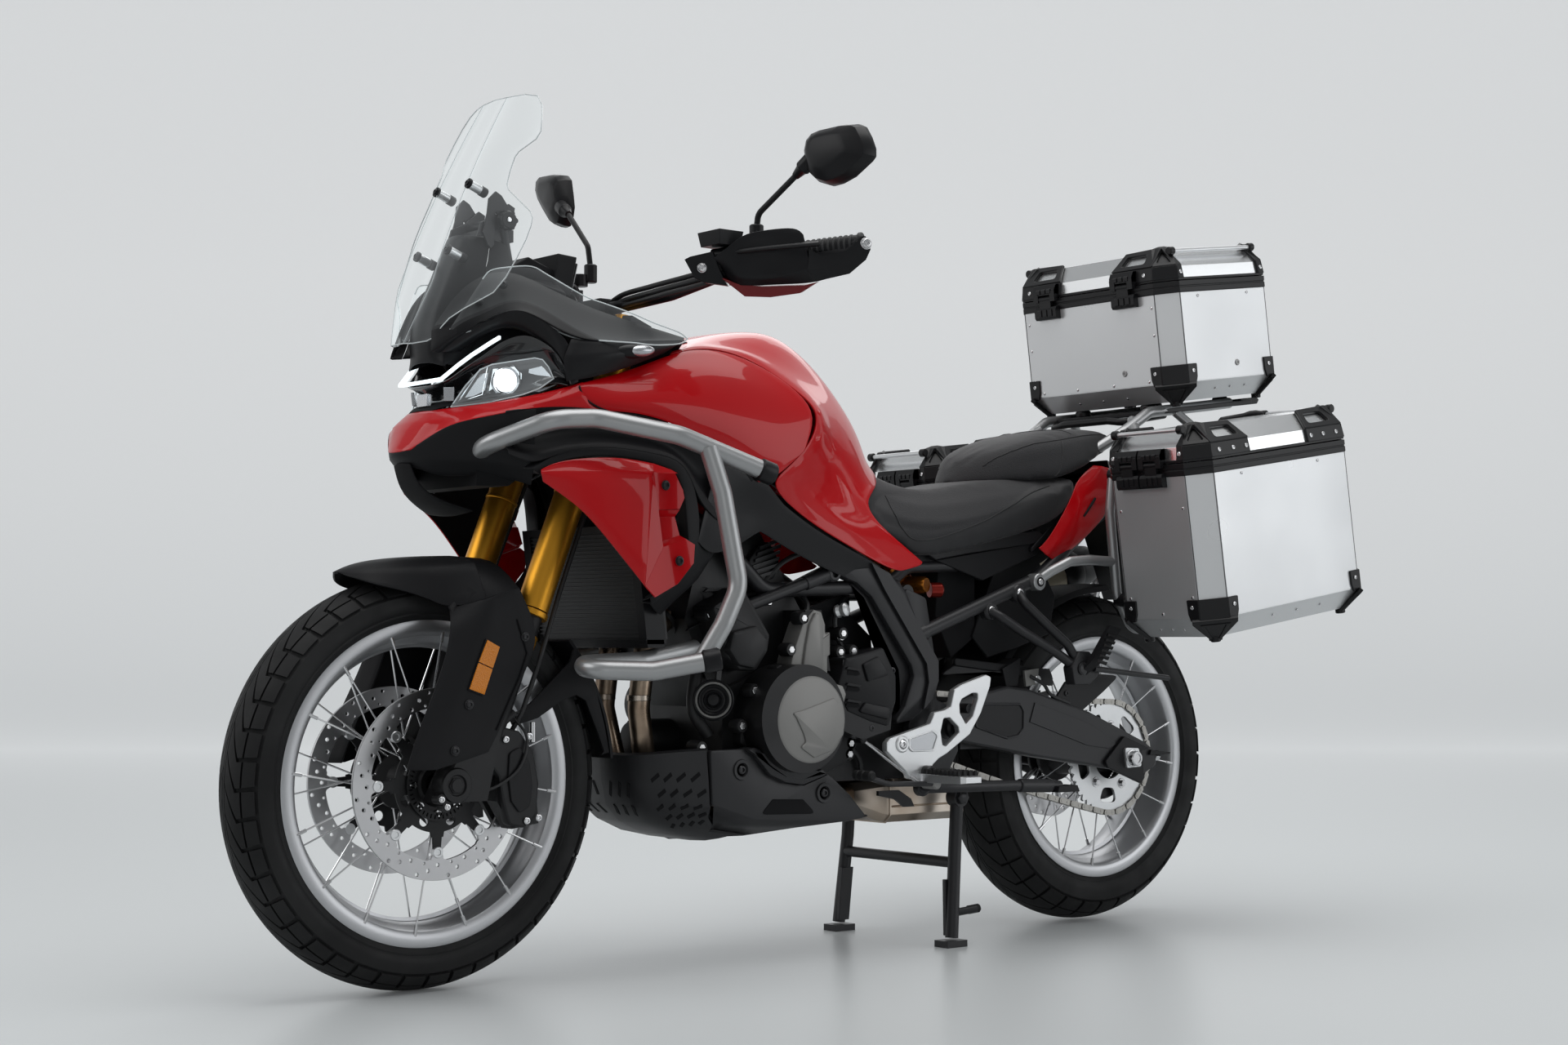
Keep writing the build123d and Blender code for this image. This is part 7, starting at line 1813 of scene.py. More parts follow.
# right side: clutch cover
en.add(turn((-40, 180, 415), (0, 1, 0), [(104, 0), (104, 4), (98, 10), (90, 12), (88, 9), (60, 9), (56, 14), (30, 15), (0.02, 15)], 64), "engine")
en.add(turn((-40, 190, 415), (0, 1, 0), [(72, 0), (72, 6), (68, 8), (0.02, 8)], 48), "engine_grey")
for j in range(10):
    a_ = math.tau * (j + 0.3) / 10
    bolt(en, (-40 + 97 * math.cos(a_), 186, 415 + 97 * math.sin(a_)), (0, 1, 0), 5.5, "hex", "bolt")
en.add(turn((-186, 120, 440), (0, 1, 0), [(46, 0), (46, 40), (42, 46), (20, 46), (18, 42), (0.02, 42)], 40), "engine")
flat_on(en, rnd([(-124, 520), (-92, 606), (-52, 606), (-36, 540), (-30, 500)], 6, 3), 176, 50, "engine", 4)
flat_on(en, rnd([(80, 400), (80, 510), (150, 520), (182, 480), (176, 380)], 8, 3), 160, 34, "engine", 4)
# barrel fins and head joints seen from the front and the right
for s in (-1, 1):
    for j in range(4):
        a = 0.34
        en.add(prism([(-300 + j * 12, 570 + j * 22), (-292 + j * 12, 576 + j * 22), (-110 + j * 12, 640 + j * 4), (-112 + j * 12, 634 + j * 4)], s * 116 - 3, s * 116 + 3), "engine", False)
en.make(bevel=0.8, seg=2)

# ---------------------------------------------------------------- radiator
rd_ = Bag("radiator_core", "chassis")
RN = Vector((-0.985, 0, -0.115))
dress("radiator", "fins", 0)
def rad(u, v, off=0.0):
    """u across, v down from the top edge, off forwards of the face."""
    return (-438 + v * 0.127 - off, u, 738 - v * 0.992)
for j in range(27):
    v = 8 + j * 6.6
    rd_.add(loft([[rad(-150, v, 0.5), rad(150, v, 0.5), rad(150, v, 3.4), rad(-150, v, 3.4)], [rad(-150, v + 1.7, 0.5), rad(150, v + 1.7, 0.5), rad(150, v + 1.7, 3.4), rad(-150, v + 1.7, 3.4)]]), "frame_black", False)
for s in (-1, 1):
    rd_.add(loft([[rad(s * 148, 0, 5), rad(s * 170, 0, 5), rad(s * 170, 0, -34), rad(s * 148, 0, -34)], [rad(s * 148, 192, 5), rad(s * 170, 192, 5), rad(s * 170, 192, -34), rad(s * 148, 192, -34)]]), "plastic_s", False)
rd_.add(loft([[rad(-170, -6, 5), rad(170, -6, 5), rad(170, -6, -30), rad(-170, -6, -30)], [rad(-170, 6, 5), rad(170, 6, 5), rad(170, 6, -30), rad(-170, 6, -30)]]), "plastic_s", False)
rd_.add(loft([[rad(-170, 184, 6), rad(170, 184, 6), rad(170, 184, -30), rad(-170, 184, -30)], [rad(-170, 198, 4), rad(170, 198, 4), rad(170, 198, -30), rad(-170, 198, -30)]]), "plastic_s", False)
rd_.make(bevel=0.3, seg=1)

# ---------------------------------------------------------------- exhaust
ex = Bag("exhaust_pipes", "chassis")
for s in (-1, 1):
    pts = [(-290, s * 52, 596), (-336, s * 52, 560), (-352, s * 52, 440), (-330, s * 42, 330), (-262, s * 36, 264), (-150, s * 36, 262), (136, s * 36, 278)]
    ex.add(pipe(fillet(pts, 44, 8), 19, 24), "bronze")
    ex.add(turn((-300, s * 52, 588), (0.78, 0, 0.62), [(30, -6), (30, 2), (26, 4), (22, 4)], 28, False), "engine")
    ex.add(cyl((-351.5, s * 52, 452), (-351.5, s * 52, 462), 20.6, n=24), "cat")
def oct_(x, hy, z0, z1, c=14):
    return [(x, -hy + c, z0), (x, hy - c, z0), (x, hy, z0 + c), (x, hy, z1 - c), (x, hy - c, z1), (x, -hy + c, z1), (x, -hy, z1 - c), (x, -hy, z0 + c)]
ex.add(loft([oct_(112, 70, 246, 296), oct_(150, 104, 228, 304), oct_(164, 108, 225, 305), oct_(344, 108, 225, 298), oct_(358, 92, 232, 292)]), "cat", False)
for x in (164, 342):
    ex.add(loft([oct_(x - 1.5, 110, 223.5, 306 if x < 200 else 300), oct_(x + 1.5, 110, 223.5, 306 if x < 200 else 300)]), "cat", False)
ex.add(loft([oct_(168, 109.5, 252, 256, 1), oct_(340, 109.5, 252, 256, 1)]), "bronze", False)
mid = [(330, 92, 276), (360, 148, 292), (384, 170, 366), (418, 170, 500), (462, 148, 574), (520, 132, 592)]
ex.add(pipe(fillet(mid, 36, 8), 20, 24), "bronze")
ex.add(turn((330, 96, 276), (0.5, 0.85, 0.2), [(24, 10), (24, 24)], 28, False), "cat")
m0, m1 = Vector((500, 134, 582)), Vector((935, 134, 716))
md = (m1 - m0).normalized()
ex.add(turn(tuple(m0), tuple(md), [(20, 0), (34, 12), (42.5, 30), (43, 44), (43, 350)], 48, False), "beige")
ex.add(turn(tuple(m0), tuple(md), [(44, 340), (46, 344), (46, 392), (44, 396)], 48, False), "plastic_s")
ex.add(turn(tuple(m0), tuple(md), [(43, 396), (43, 430), (38, 447), (30, 452), (26, 452), (24, 440), (22, 440), (22, 400), (0.02, 400)], 48, False), "engine")
ex.add(turn(tuple(m0), tuple(md), [(22.2, 396), (22.2, 430)], 32, False), "dark")
ex.add(turn(tuple(m0), tuple(md), [(44, 60), (45.5, 62), (45.5, 74), (44, 76)], 48, False), "silver")
# heat shield outboard of the muffler
hs = [(tuple(m0 + md * t)) for t in (70, 330)]
ex.add(loft([[(p[0] + dx, p[1] + 45 * math.cos(a), p[2] + 45 * math.sin(a)) for dx, a in ((0, -0.7), (0, -0.3), (0, 0.1), (0, 0.5), (0, 0.8))] + [(p[0] + dx, p[1] + 48 * math.cos(a), p[2] + 48 * math.sin(a)) for dx, a in ((0, 0.8), (0, 0.5), (0, 0.1), (0, -0.3), (0, -0.7))] for p in hs]), "plastic_s", False)
ex.make(bevel=0.8, seg=1, replaces=("exhaust",))

# ---------------------------------------------------------------- skid plate
sk = Bag("skid_plate_shell", "chassis")
for s in (-1, 1):
    def q(x, y, z):
        return (x, s * y, z)
    # bow: rows run down the front and under, columns run from the middle out to the side plate
    rows = [[q(-396, 0, 362), q(-394, 70, 362), q(-376, 108, 364), q(-340, 138, 368), q(-296, 168, 371)],
            [q(-392, 0, 320), q(-390, 74, 320), q(-374, 112, 320), q(-338, 142, 320), q(-294, 172, 320)],
            [q(-382, 0, 276), q(-380, 74, 276), q(-364, 110, 278), q(-330, 140, 280), q(-290, 170, 278)],
            [q(-356, 0, 248), q(-352, 70, 248), q(-338, 100, 250), q(-310, 126, 254), q(-280, 152, 258)],
            [q(-310, 0, 226), q(-306, 64, 226), q(-296, 92, 228), q(-276, 114, 232), q(-256, 136, 240)],
            [q(-250, 0, 213), q(-248, 60, 213), q(-240, 90, 214), q(-226, 110, 218), q(-200, 132, 226)]]
    vs = [p for r in rows for p in r]
    back = [(p[0] + 6, p[1] * 0.97, p[2] + 4) for p in vs]
    n_ = len(vs)
    fs = []
    for i in range(5):
        for j in range(4):
            f = [i * 5 + j, i * 5 + j + 1, (i + 1) * 5 + j + 1, (i + 1) * 5 + j]
            fs.append(f if s < 0 else f[::-1])
            g = [n_ + k for k in f]
            fs.append(g[::-1] if s < 0 else g)
    for j in range(4):
        for r0 in (0, 25):
            fs.append([r0 + j, n_ + r0 + j, n_ + r0 + j + 1, r0 + j + 1])
    sk.add((vs + back, fs), "frame_black", False)
    # slanting slots, as painted shade: deep-black blocks on the plate where the openings are
    def at(u, v):
        i = min(int(v), 4); j = min(int(u), 3); a, b = v - i, u - j
        P = [Vector(rows[i][j]), Vector(rows[i][j + 1]), Vector(rows[i + 1][j]), Vector(rows[i + 1][j + 1])]
        p = (P[0] * (1 - b) + P[1] * b) * (1 - a) + (P[2] * (1 - b) + P[3] * b) * a
        nn = (P[1] - P[0] + P[3] - P[2]).cross(P[2] - P[0] + P[3] - P[1]).normalized()
        if nn.x > 0:
            nn = -nn
        return p, nn
    slots = []
    for r_ in range(5):
        for c_ in range(4):
            slots.append((2.12 + c_ * 0.45 + (r_ % 2) * 0.16, 0.75 + r_ * 0.62, 0.26, 0.22))
    for c_ in range(3):
        for r_ in range(2):
            slots.append((0.25 + c_ * 0.34, 1.1 + r_ * 0.9, 0.10, 0.5))
    for u, v, du, dv in slots:
        if u + du > 3.95 or v + dv > 4.9:
            continue
        pA, nA = at(u, v + dv); pB, nB = at(u + du, v)
        d_ = (pB - pA).normalized(); side_ = nA.cross(d_).normalized() * 3.2
        base = [pA - side_ - d_ * 2, pB - side_, pB + side_ + d_ * 2, pA + side_]
        lo_ = [tuple(p + nA * -1.0) for p in base]; hi_ = [tuple(p + nA * 0.7) for p in base]
        sk.add((lo_ + hi_, [[0, 1, 2, 3][::-1], [4, 5, 6, 7], [0, 1, 5, 4], [1, 2, 6, 5], [2, 3, 7, 6], [3, 0, 4, 7]]), "dark", False)
# side plates: flat above, folded in below
top_ = rnd(T_SKIDS, 5, 3)
flat_on(sk, top_, -176, 10, "frame_black", 2.5, True)
flat_on(sk, rnd(T_SKIDLIP, 5, 3), -186, 30, "frame_black", 3, True)
# painted shade: a thin deep-black plate on the side plate's opening
flat_on(sk, rnd(T_SKIDO, 5, 3), -177.2, 4, "dark", 0.3, True)
for x, z in T_SKIDB:
    sk.add(turn((x, -170, z), (0, -1, 0), [(20, 0), (17, 9), (12, 9), (10, 6), (0.02, 6)], 28), "frame_black", True, True)
    bolt(sk, (x, -176, z), (0, -1, 0), 7.5, "torx", "bolt_black", mirror=True)
sf = Bag("skid_plate_floor", "chassis")
sf.add(loft([[(-286, -176, 281), (-198, -176, 252), (4, -176, 240), (51, -176, 246)], [(-256, -132, 236), (-190, -128, 224), (0, -124, 236), (62, -124, 246)]], False, False), "frame_black", False, True)
sf.add(loft([[(-256, -134, 234), (-190, -130, 222), (0, -126, 234), (62, -126, 244)], [(-250, 0, 211), (-186, 0, 216), (0, 0, 232), (66, 0, 246)]], False, False), "frame_black", False, True)
sk.make(bevel=0.8, seg=1, replaces=("skid_plate",))
sf.make(solid=3.0)
# ---------------------------------------------------------------- swingarm, axle, shock and mudguards
ar = Bag("swingarm_arms", "chassis")
ARM = [(236, 380), (236, 418), (262, 432), (330, 450), (430, 468), (486, 462), (650, 416), (806, 354), (838, 334), (838, 306), (800, 290), (739, 300), (500, 334), (300, 368)]
side_plate(ar, [rnd(ARM, 14, 5)], -125.5, 29, "frame_black", 5, True)
# raised rim round the long recess, then its floor
rec = rnd(T_ARM_REC, 8, 4)
cx_ = sum(p[0] for p in rec) / len(rec); cz_ = sum(p[1] for p in rec) / len(rec)
big = [(cx_ + (x - cx_) * 1.06, cz_ + (z - cz_) * 1.14) for x, z in rec]
side_plate(ar, [big, rec], -140.5, 5, "frame_black", 1.5, True)
side_plate(ar, [rec], -139.6, 1.6, "plastic_s", 0.4, True)
ar.add(extrude([(x, -139, z) for x, z in ((486, 400), (640, 352), (700, 344), (720, 352), (650, 392), (500, 436))], (0, -3.2, 0)), "frame_black", False, True)
# dark end plates with the chain adjuster and axle nut
side_plate(ar, [rnd(T_ARM_END, 5, 3)], -144, 8, "plastic_s", 1.5, True)
ar.add(prism([(816, 338), (872, 332), (870, 328), (812, 328)], -146, -138), "plastic_s", False, True)
side_plate(ar, [rnd(T_ARM_ADJ, 5, 3)], -150, 8, "silver", 1.2, True)
ar.add(cyl((786, -132, 324), (852, -132, 324), 5, n=16), "bolt", True, True)
ar.add(cyl((836, -132, 324), (848, -132, 324), 9.5, n=6), "bolt", False, True)
ar.add(turn((XR, -150, ZR), (0, -1, 0), [(17, 0), (17, 5), (15, 6), (14.5, 6), (14.5, 16), (12.5, 18), (9, 18), (8.5, 15), (0.02, 15)], 36), "bolt", True, True)
ar.add(cyl((XR, -154, ZR), (XR, -166, ZR), 15.5, n=6, bev=1.5), "bolt", False, True)
ar.add(box(332, 402, -114, 114, 352, 436), "frame_black", False)
ar.add(turn((264, -142, 396), (0, -1, 0), [(24, 0), (24, 8), (20, 12), (0.02, 12)], 36), "frame_black", True, True)
# chain guards: textured upper strip and the strip along the top run
side_plate(ar, [rnd(T_CG_TOP, 6, 3)], -116, 8, "plastic", 2)
side_plate(ar, [rnd(T_CG_LOW, 4, 3)], -118, 6, "plastic_s", 1.5)
side_plate(ar, [rnd(T_FIN, 6, 3)], -126, 6, "plastic_s", 1.5)
for x, z in ((596, 452), (560, 446)):
    bolt(ar, (x, -129, z), (0, -1, 0), 5.5, "torx", "bolt_black")
ar.add(turn((520, -120, 478), (0.2, -0.95, 0.1), [(9, 0), (10, 5), (7, 10), (0.02, 10)], 16), "silver")
ar.add(prism([(486, 496), (524, 500), (520, 470), (490, 466)], -128, -122), "engine_grey", False)
ar.add(pipe(spline([(500, -128, 486), (530, -134, 470), (548, -136, 450), (600, -134, 432)], 8), 3.6, 8), "hose")
ar.make(bevel=0.6, seg=1, replaces=("swingarm", "rear_axle"))

sh = Bag("shock_details", "chassis")
a0, a1 = Vector((206, -20, 706)), Vector((300, -20, 440))
ad = (a1 - a0).normalized()
sh.add(turn(tuple(a0), tuple(ad), [(16, -14), (20, -4), (27, 2), (27, 62), (24, 66), (20, 70)], 36), "oil_amber")
sh.add(cyl(tuple(a0 + ad * 66), tuple(a0 + ad * 250), 12, n=24), "chrome")
hx = []
for i in range(8 * 18 + 1):
    t = i / 18.0
    a = math.tau * t
    hx.append(t)
e1 = ad.cross(Vector((0, 1, 0))).normalized(); e2 = ad.cross(e1).normalized()
path = [tuple(a0 + ad * (70 + 22 * t) + (e1 * math.cos(math.tau * t) + e2 * math.sin(math.tau * t)) * 24) for t in hx]
sh.add(pipe(path, 5.4, 10), "red")
sh.add(cyl(tuple(a1 - ad * 20), tuple(a1 + ad * 18), 18, n=28, bev=2), "engine")
sh.add(turn((196, -60, 692), tuple(Vector((54, 0, -40)).normalized()), [(14, 0), (20, 4), (20, 50), (17, 58), (0.02, 58)], 32), "oil_amber")
sh.add(turn((238, -60, 661), tuple(Vector((54, 0, -40)).normalized()), [(21, 0), (21, 10)], 32, False), "oil_red")
sh.add(turn((245, -100, 655), tuple(Vector((0.3, -0.9, 0)).normalized()), [(16, -40), (16, 10), (13, 15), (0.02, 15)], 32), "oil_amber")
sh.add(turn((275, -104, 646), tuple(Vector((0.9, -0.3, 0)).normalized()), [(14, -8), (14, 14), (10, 18), (0.02, 18)], 32), "oil_red")
sh.make(bevel=0.5, seg=1, replaces=("rear_shock",))

# hugger over the rear tyre and the inner mudguard under the seat
hu = Bag("rear_hugger_shell", "chassis")
secs = []
for i in range(15):
    a = math.radians(88 + i * 5.2)
    ro = 338.5 + (3 if i in (0, 14) else 0)
    c = []
    for y, dr in ((-86, -14), (-80, -3), (-50, 0), (0, 1), (50, 0), (80, -3), (86, -14)):
        c.append((XR + (ro + dr) * math.cos(a), y, ZR + (ro + dr) * math.sin(a)))
    for y, dr in ((84, -14), (77, -6), (48, -3), (0, -2), (-48, -3), (-77, -6), (-84, -14)):
        c.append((XR + (ro + dr) * math.cos(a), y, ZR + (ro + dr) * math.sin(a)))
    secs.append(c)
hu.add(loft(secs), "plastic", True)
for s in (-1, 1):
    hu.add(extrude([(430, s * 84, 500), (478, s * 84, 520), (470, s * 84, 468), (440, s * 84, 466)], (0, s * 42, 0)), "plastic", False)
hu.make(bevel=0.5, seg=1, replaces=("rear_hugger",))

mu = Bag("inner_mudguard", "chassis")
prof = [(392, 560), (420, 640), (470, 700), (560, 742), (680, 786), (790, 828), (806, 820), (790, 812), (690, 772), (568, 722), (480, 682), (434, 628), (404, 556)]
mu.add(prism(prof, -96, 96), "plastic", False)
for s in (-1, 1):
    mu.add(extrude([(x, s * 92, z) for x, z in ((380, 560), (420, 520), (500, 540), (585, 566), (600, 640), (560, 700), (700, 770), (790, 815), (780, 826), (560, 752), (440, 690))], (0, s * 5, 0)), "plastic", False)
# painted shade: a deep-black block filling the gap under the seat ahead of the mudguard
mu.add(prism([(300, 706), (392, 690), (392, 560), (330, 520), (290, 600)], -92, 92), "dark", False)
# battery box and side covers beneath the rider's seat
mu.add(loft([[(210, -118, 690), (210, 118, 690), (210, 118, 735), (210, -118, 735)], [(520, -118, 716), (520, 118, 716), (520, 118, 770), (520, -118, 770)]]), "plastic", False)
mu.add(extrude([(x, -132, z) for x, z in ((232, 712), (257, 700), (340, 714), (520, 738), (547, 728), (560, 742), (520, 762), (330, 742))], (0, 14, 0)), "plastic_s", False, True)
mu.add(extrude([(x, -126, z) for x, z in ((262, 700), (380, 664), (540, 722), (520, 740))], (0, 10, 0)), "plastic", False, True)
mu.add(cyl((790, -92, 866), (790, 92, 866), 10, n=16), "frame_black")
mu.make(bevel=2.0, seg=2)

# rear caliper
dress("rear_caliper", "engine", 3.0)
rcb = Bag("rear_caliper_bolts", "chassis")
for x, z in ((676, 412), (722, 430)):
    rcb.add(turn((x, 106, z), (0, 1, 0), [(10, 0), (10, 5), (6, 5), (5, 3), (0.02, 3)], 24), "bolt_black")
rcb.make()

# ---------------------------------------------------------------- foot pegs, levers and passenger pegs
fp = Bag("foot_controls", "chassis")
side_plate(fp, [rnd(T_BRK, 5, 4), rnd(T_BRK_H1, 4, 3), rnd(T_BRK_H2, 4, 3)], -192, 13, "silver", 1.6, True)
pk = rnd(T_RPP, 5, 3)
cxp = sum(p[0] for p in pk) / len(pk); czp = sum(p[1] for p in pk) / len(pk)
pkb = [(cxp + (x - cxp) * 1.14, czp + (z - czp) * 1.18) for x, z in pk]
side_plate(fp, [pkb, pk], -199.5, 3.0, "silver", 1.0, True)
side_plate(fp, [pk], -198.9, 0.8, "lamp_grey", 0.2, True)
fp.add(turn((113, -192, 371), (0, -1, 0), [(15, 0), (15, 8), (13, 9.5), (9, 9.5), (8.5, 8)], 32, False), "silver", True, True)
bolt(fp, (113, -199, 371), (0, -1, 0), 8.0, "torx", "bolt", mirror=True)
fp.add(turn((170, -194, 319), (0, -1, 0), [(13, 0), (13, 18), (11, 20), (8, 20), (7.5, 17), (0.02, 17)], 28), "bolt_black", True, True)
for x, z in ((196, 318), (288, 430)):
    fp.add(cyl((x, -187, z), (x, -158, z), 9, n=20), "frame_black", True, True)
# the peg: silver body, black rubber teeth
pg = [(152, 303), (206, 303), (206, 318), (152, 318)]
fp.add(loft([[(150, -199, 302), (206, -199, 302), (206, -199, 318), (150, -199, 318)], [(158, -300, 304), (208, -300, 304), (208, -300, 316), (158, -300, 316)], [(166, -306, 305), (202, -306, 305), (202, -306, 315), (166, -306, 315)]]), "silver", False, True)
for i in range(9):
    for j in range(4):
        x = 160 + j * 13.5; y = -208 - i * 10.6
        fp.add(loft([[(x - 4, y - 3.5, 317), (x + 4, y - 3.5, 317), (x + 4, y + 3.5, 317), (x - 4, y + 3.5, 317)], [(x - 2.4, y - 2, 326), (x + 2.4, y - 2, 326), (x + 2.4, y + 2, 326), (x - 2.4, y + 2, 326)]]), "rubber", False, True)
fp.add(prism([(150, 300), (214, 300), (214, 322), (150, 322)], -199, -194), "silver", False, True)
# gear lever with its tread, link rod and clevis
fp.add(pipe(fillet([(176, -214, 300), (60, -222, 304), (-10, -232, 322)], 40, 6), 6.0, 14, flat=0.8), "frame_black")
fp.add(turn((-10, -214, 322), (0, -1, 0), [(6, 0), (9, 3), (9, 12), (7.6, 14), (9, 16), (9, 26), (7.6, 28), (9, 30), (9, 44), (6, 48), (0.02, 48)], 20), "rubber")
fp.add(cyl((176, -186, 300), (176, -222, 300), 10, n=24, bev=2), "engine_grey")
fp.add(cyl((150, -206, 300), (60, -150, 380), 4.0, n=12), "bolt")
fp.add(turn((60, -140, 380), (0, -1, 0), [(8, 0), (8, 16), (6, 18), (0.02, 18)], 20), "frame_black")
fp.add(prism([(44, 292), (92, 292), (120, 276), (128, 262), (104, 262), (84, 276), (44, 284)], -214, -208), "plastic_s", False)
# brake pedal with its tread, master cylinder and heel guard
fp.add(pipe(fillet([(186, 214, 298), (60, 226, 290), (-6, 240, 300)], 40, 6), 6.0, 14, flat=0.8), "frame_black")
fp.add(loft([[(-24, 224, 296), (16, 224, 296), (16, 266, 296), (-24, 266, 296)], [(-22, 226, 306), (14, 226, 306), (14, 264, 306), (-22, 264, 306)]]), "silver", False)
fp.add(cyl((186, 186, 298), (186, 222, 298), 10, n=24, bev=2), "engine_grey")
fp.add(cyl((250, 178, 330), (238, 180, 410), 12, n=24, bev=2), "engine")
fp.add(cyl((256, 178, 290), (250, 178, 330), 4, n=12), "bolt")
fp.add(cyl((236, 170, 430), (236, 170, 462), 14, n=24, bev=2), "plastic_s")
# passenger pegs: two black stays, a boss and the folding peg
for pts, r in (([(372, -152, 608), (386, -168, 596), (424, -180, 572), (505, -190, 532), (560, -194, 500)], 9.0), ([(448, -150, 642), (450, -166, 622), (480, -182, 590), (536, -192, 545), (566, -194, 505)], 9.0)):
    fp.add(pipe(fillet(pts, 20, 6), r, 16), "frame_black", True, True)
for x, z in T_PBOLT[:2]:
    fp.add(turn((x, -138, z), (0, -1, 0), [(17, 0), (17, 14), (14, 18), (0.02, 18)], 28), "frame_black", True, True)
    bolt(fp, (x, -154, z), (0, -1, 0), 8.5, "torx", "bolt", mirror=True)
pb = [(x + 12, z - 2) for x, z in T_PBLOCK]
flat_on(fp, rnd(pb, 5, 3), -206, 24, "frame_black", 3, True)
fp.add(turn((560, -204, 500), (0, -1, 0), [(12, 0), (12, 5), (9, 7), (0.02, 7)], 24), "bolt_black", True, True)
fp.add(loft([[(556, -206, 492), (572, -206, 488), (590, -226, 510), (570, -226, 518)], [(604, -230, 582), (634, -230, 576), (634, -238, 574), (604, -238, 582)]]), "plastic", False, True)
for i in range(6):
    t = i / 6
    x, z = 578 + 34 * t, 512 + 58 * t
    fp.add(loft([[(x - 10, -238, z), (x + 12, -238, z - 6), (x + 14, -238, z), (x - 8, -238, z + 6)], [(x - 8, -243, z + 1), (x + 10, -243, z - 4), (x + 12, -243, z), (x - 6, -243, z + 4)]]), "rubber", False, True)
fp.add(cyl((584, -214, 500), (790, -214, 480), 5.5, n=14), "frame_black", True, True)
fp.make(bevel=0.8, seg=2, replaces=("footpegs",))

# ---------------------------------------------------------------- stands
dress("side_stand", "frame_black", 0.8)
dress("centre_stand", "frame_black", 0.8)
st_ = Bag("side_stand_details", "side_stand")
st_.add(cyl((186, -160, 290), (186, -176, 290), 15, n=24, bev=2), "frame_black")
st_.add(cyl((400, -198, 287), (478, -203, 284), 12.5, n=20, bev=1.5), "frame_black")
st_.add(prism([(482, 284), (530, 284), (536, 272), (478, 272)], -222, -188), "plastic_s", False)
st_.make(bevel=1.0)
ct_ = Bag("centre_stand_details", "centre_stand")
for s in (-1, 1):
    ct_.add(loft([[(262, s * 140, 120), (290, s * 140, 120), (290, s * 148, 120), (262, s * 148, 120)], [(258, s * 146, 20), (284, s * 146, 20), (284, s * 154, 20), (258, s * 154, 20)]]), "frame_black", False)
    ct_.add(turn((290, s * 162, 268), (0, s, 0), [(13, 0), (13, 6), (9, 8), (0.02, 8)], 6), "bolt_black")
ct_.add(turn((318, -168, 66), tuple(Vector((44, -14, 6)).normalized()), [(8, -16), (8, 6), (5, 9), (0.02, 9)], 20), "rubber")
ct_.make(bevel=0.8)

# ---------------------------------------------------------------- crash bars
cb = Bag("crash_bar_tubes", "chassis")
BARS = [[(-690, -70, 846), (-709, -134, 861), (-640, -226, 900), (-565, -236, 905), (-450, -300, 880), (-303, -330, 828)],
        [(-403, -314, 862), (-384, -326, 790), (-361, -340, 640), (-392, -340, 580), (-424, -330, 526)],
        [(-424, -344, 522), (-500, -300, 506), (-590, -250, 509), (-560, -190, 516), (-420, -150, 520), (-290, -128, 540)]]
for pts in BARS:
    cb.add(pipe(fillet(pts, 62, 5), 15.5, 28), "bar", True, True)
for p, q in ((BARS[0][-2], BARS[0][-1]), (BARS[2][1], BARS[2][0])):
    d_ = (Vector(q) - Vector(p)).normalized()
    cb.add(turn(tuple(Vector(q) - d_ * 10), tuple(d_), [(15.6, 0), (18.6, 3), (18.6, 26), (16.5, 29), (13, 29), (12.5, 28), (0.02, 28)], 36), "plastic_s", True, True)
cb.make(replaces=("crash_bars",))

# ---------------------------------------------------------------- luggage racks
lr = Bag("rack_tubes", "chassis")
for pts, r in (([(700, -112, 926), (752, -138, 962), (820, -142, 1004), (1010, -134, 1030), (1086, -120, 1041)], 11),
               ([(790, -124, 988), (742, -188, 940), (664, -191, 884), (654, -191, 800), (672, -191, 640), (716, -191, 572), (1000, -191, 612), (1024, -191, 680), (980, -191, 930), (900, -140, 1010)], 9.5)):
    lr.add(pipe(fillet(pts, 34, 6), r, 18), "bar", True, True)
lr.add(pipe(fillet([(654, -191, 830), (800, -191, 850), (1004, -191, 880)], 20, 6), 7, 14), "bar", True, True)
for x, z in ((664, 870), (1000, 890), (680, 630), (1012, 640)):
    lr.add(turn((x, -186, z), (0, -1, 0), [(13, 0), (13, 26), (11, 30), (0.02, 30)], 24), "plastic_s", True, True)
lr.make(replaces=("luggage_racks",))
bx = Bag("rack_details", "chassis")
for x, y, z in ((493, -146, 663), ):
    bx.add(turn((x, y + 6, z), (0, -1, 0), [(16, 0), (16, 22), (14, 24), (9, 24)], 32, False), "bar", True, True)
    bx.add(turn((x, y + 6, z), (0, -1, 0), [(9.5, 20), (9, 25), (0.02, 25)], 28), "plastic_s", True, True)
    bolt(bx, (x, y - 18, z), (0, -1, 0), 6, "torx", "bolt", mirror=True)
bx.add(pipe(fillet([(493, -150, 663), (520, -166, 684), (556, -178, 702), (600, -186, 706), (660, -190, 704)], 24, 6), 9.6, 18), "bar", True, True)
bx.make(bevel=0.6)
# ---------------------------------------------------------------- seats
from mathutils.bvhtree import BVHTree


def resample(pts, n):
    P = [Vector(p) for p in spline(pts, 10)]
    L = [0.0]
    for a, b in zip(P, P[1:]):
        L.append(L[-1] + (b - a).length)
    out, k = [], 0
    for i in range(n):
        t = L[-1] * i / (n - 1)
        while k < len(L) - 2 and L[k + 1] < t:
            k += 1
        f = (t - L[k]) / max(1e-6, L[k + 1] - L[k])
        out.append(P[k].lerp(P[k + 1], min(1.0, f)))
    return out


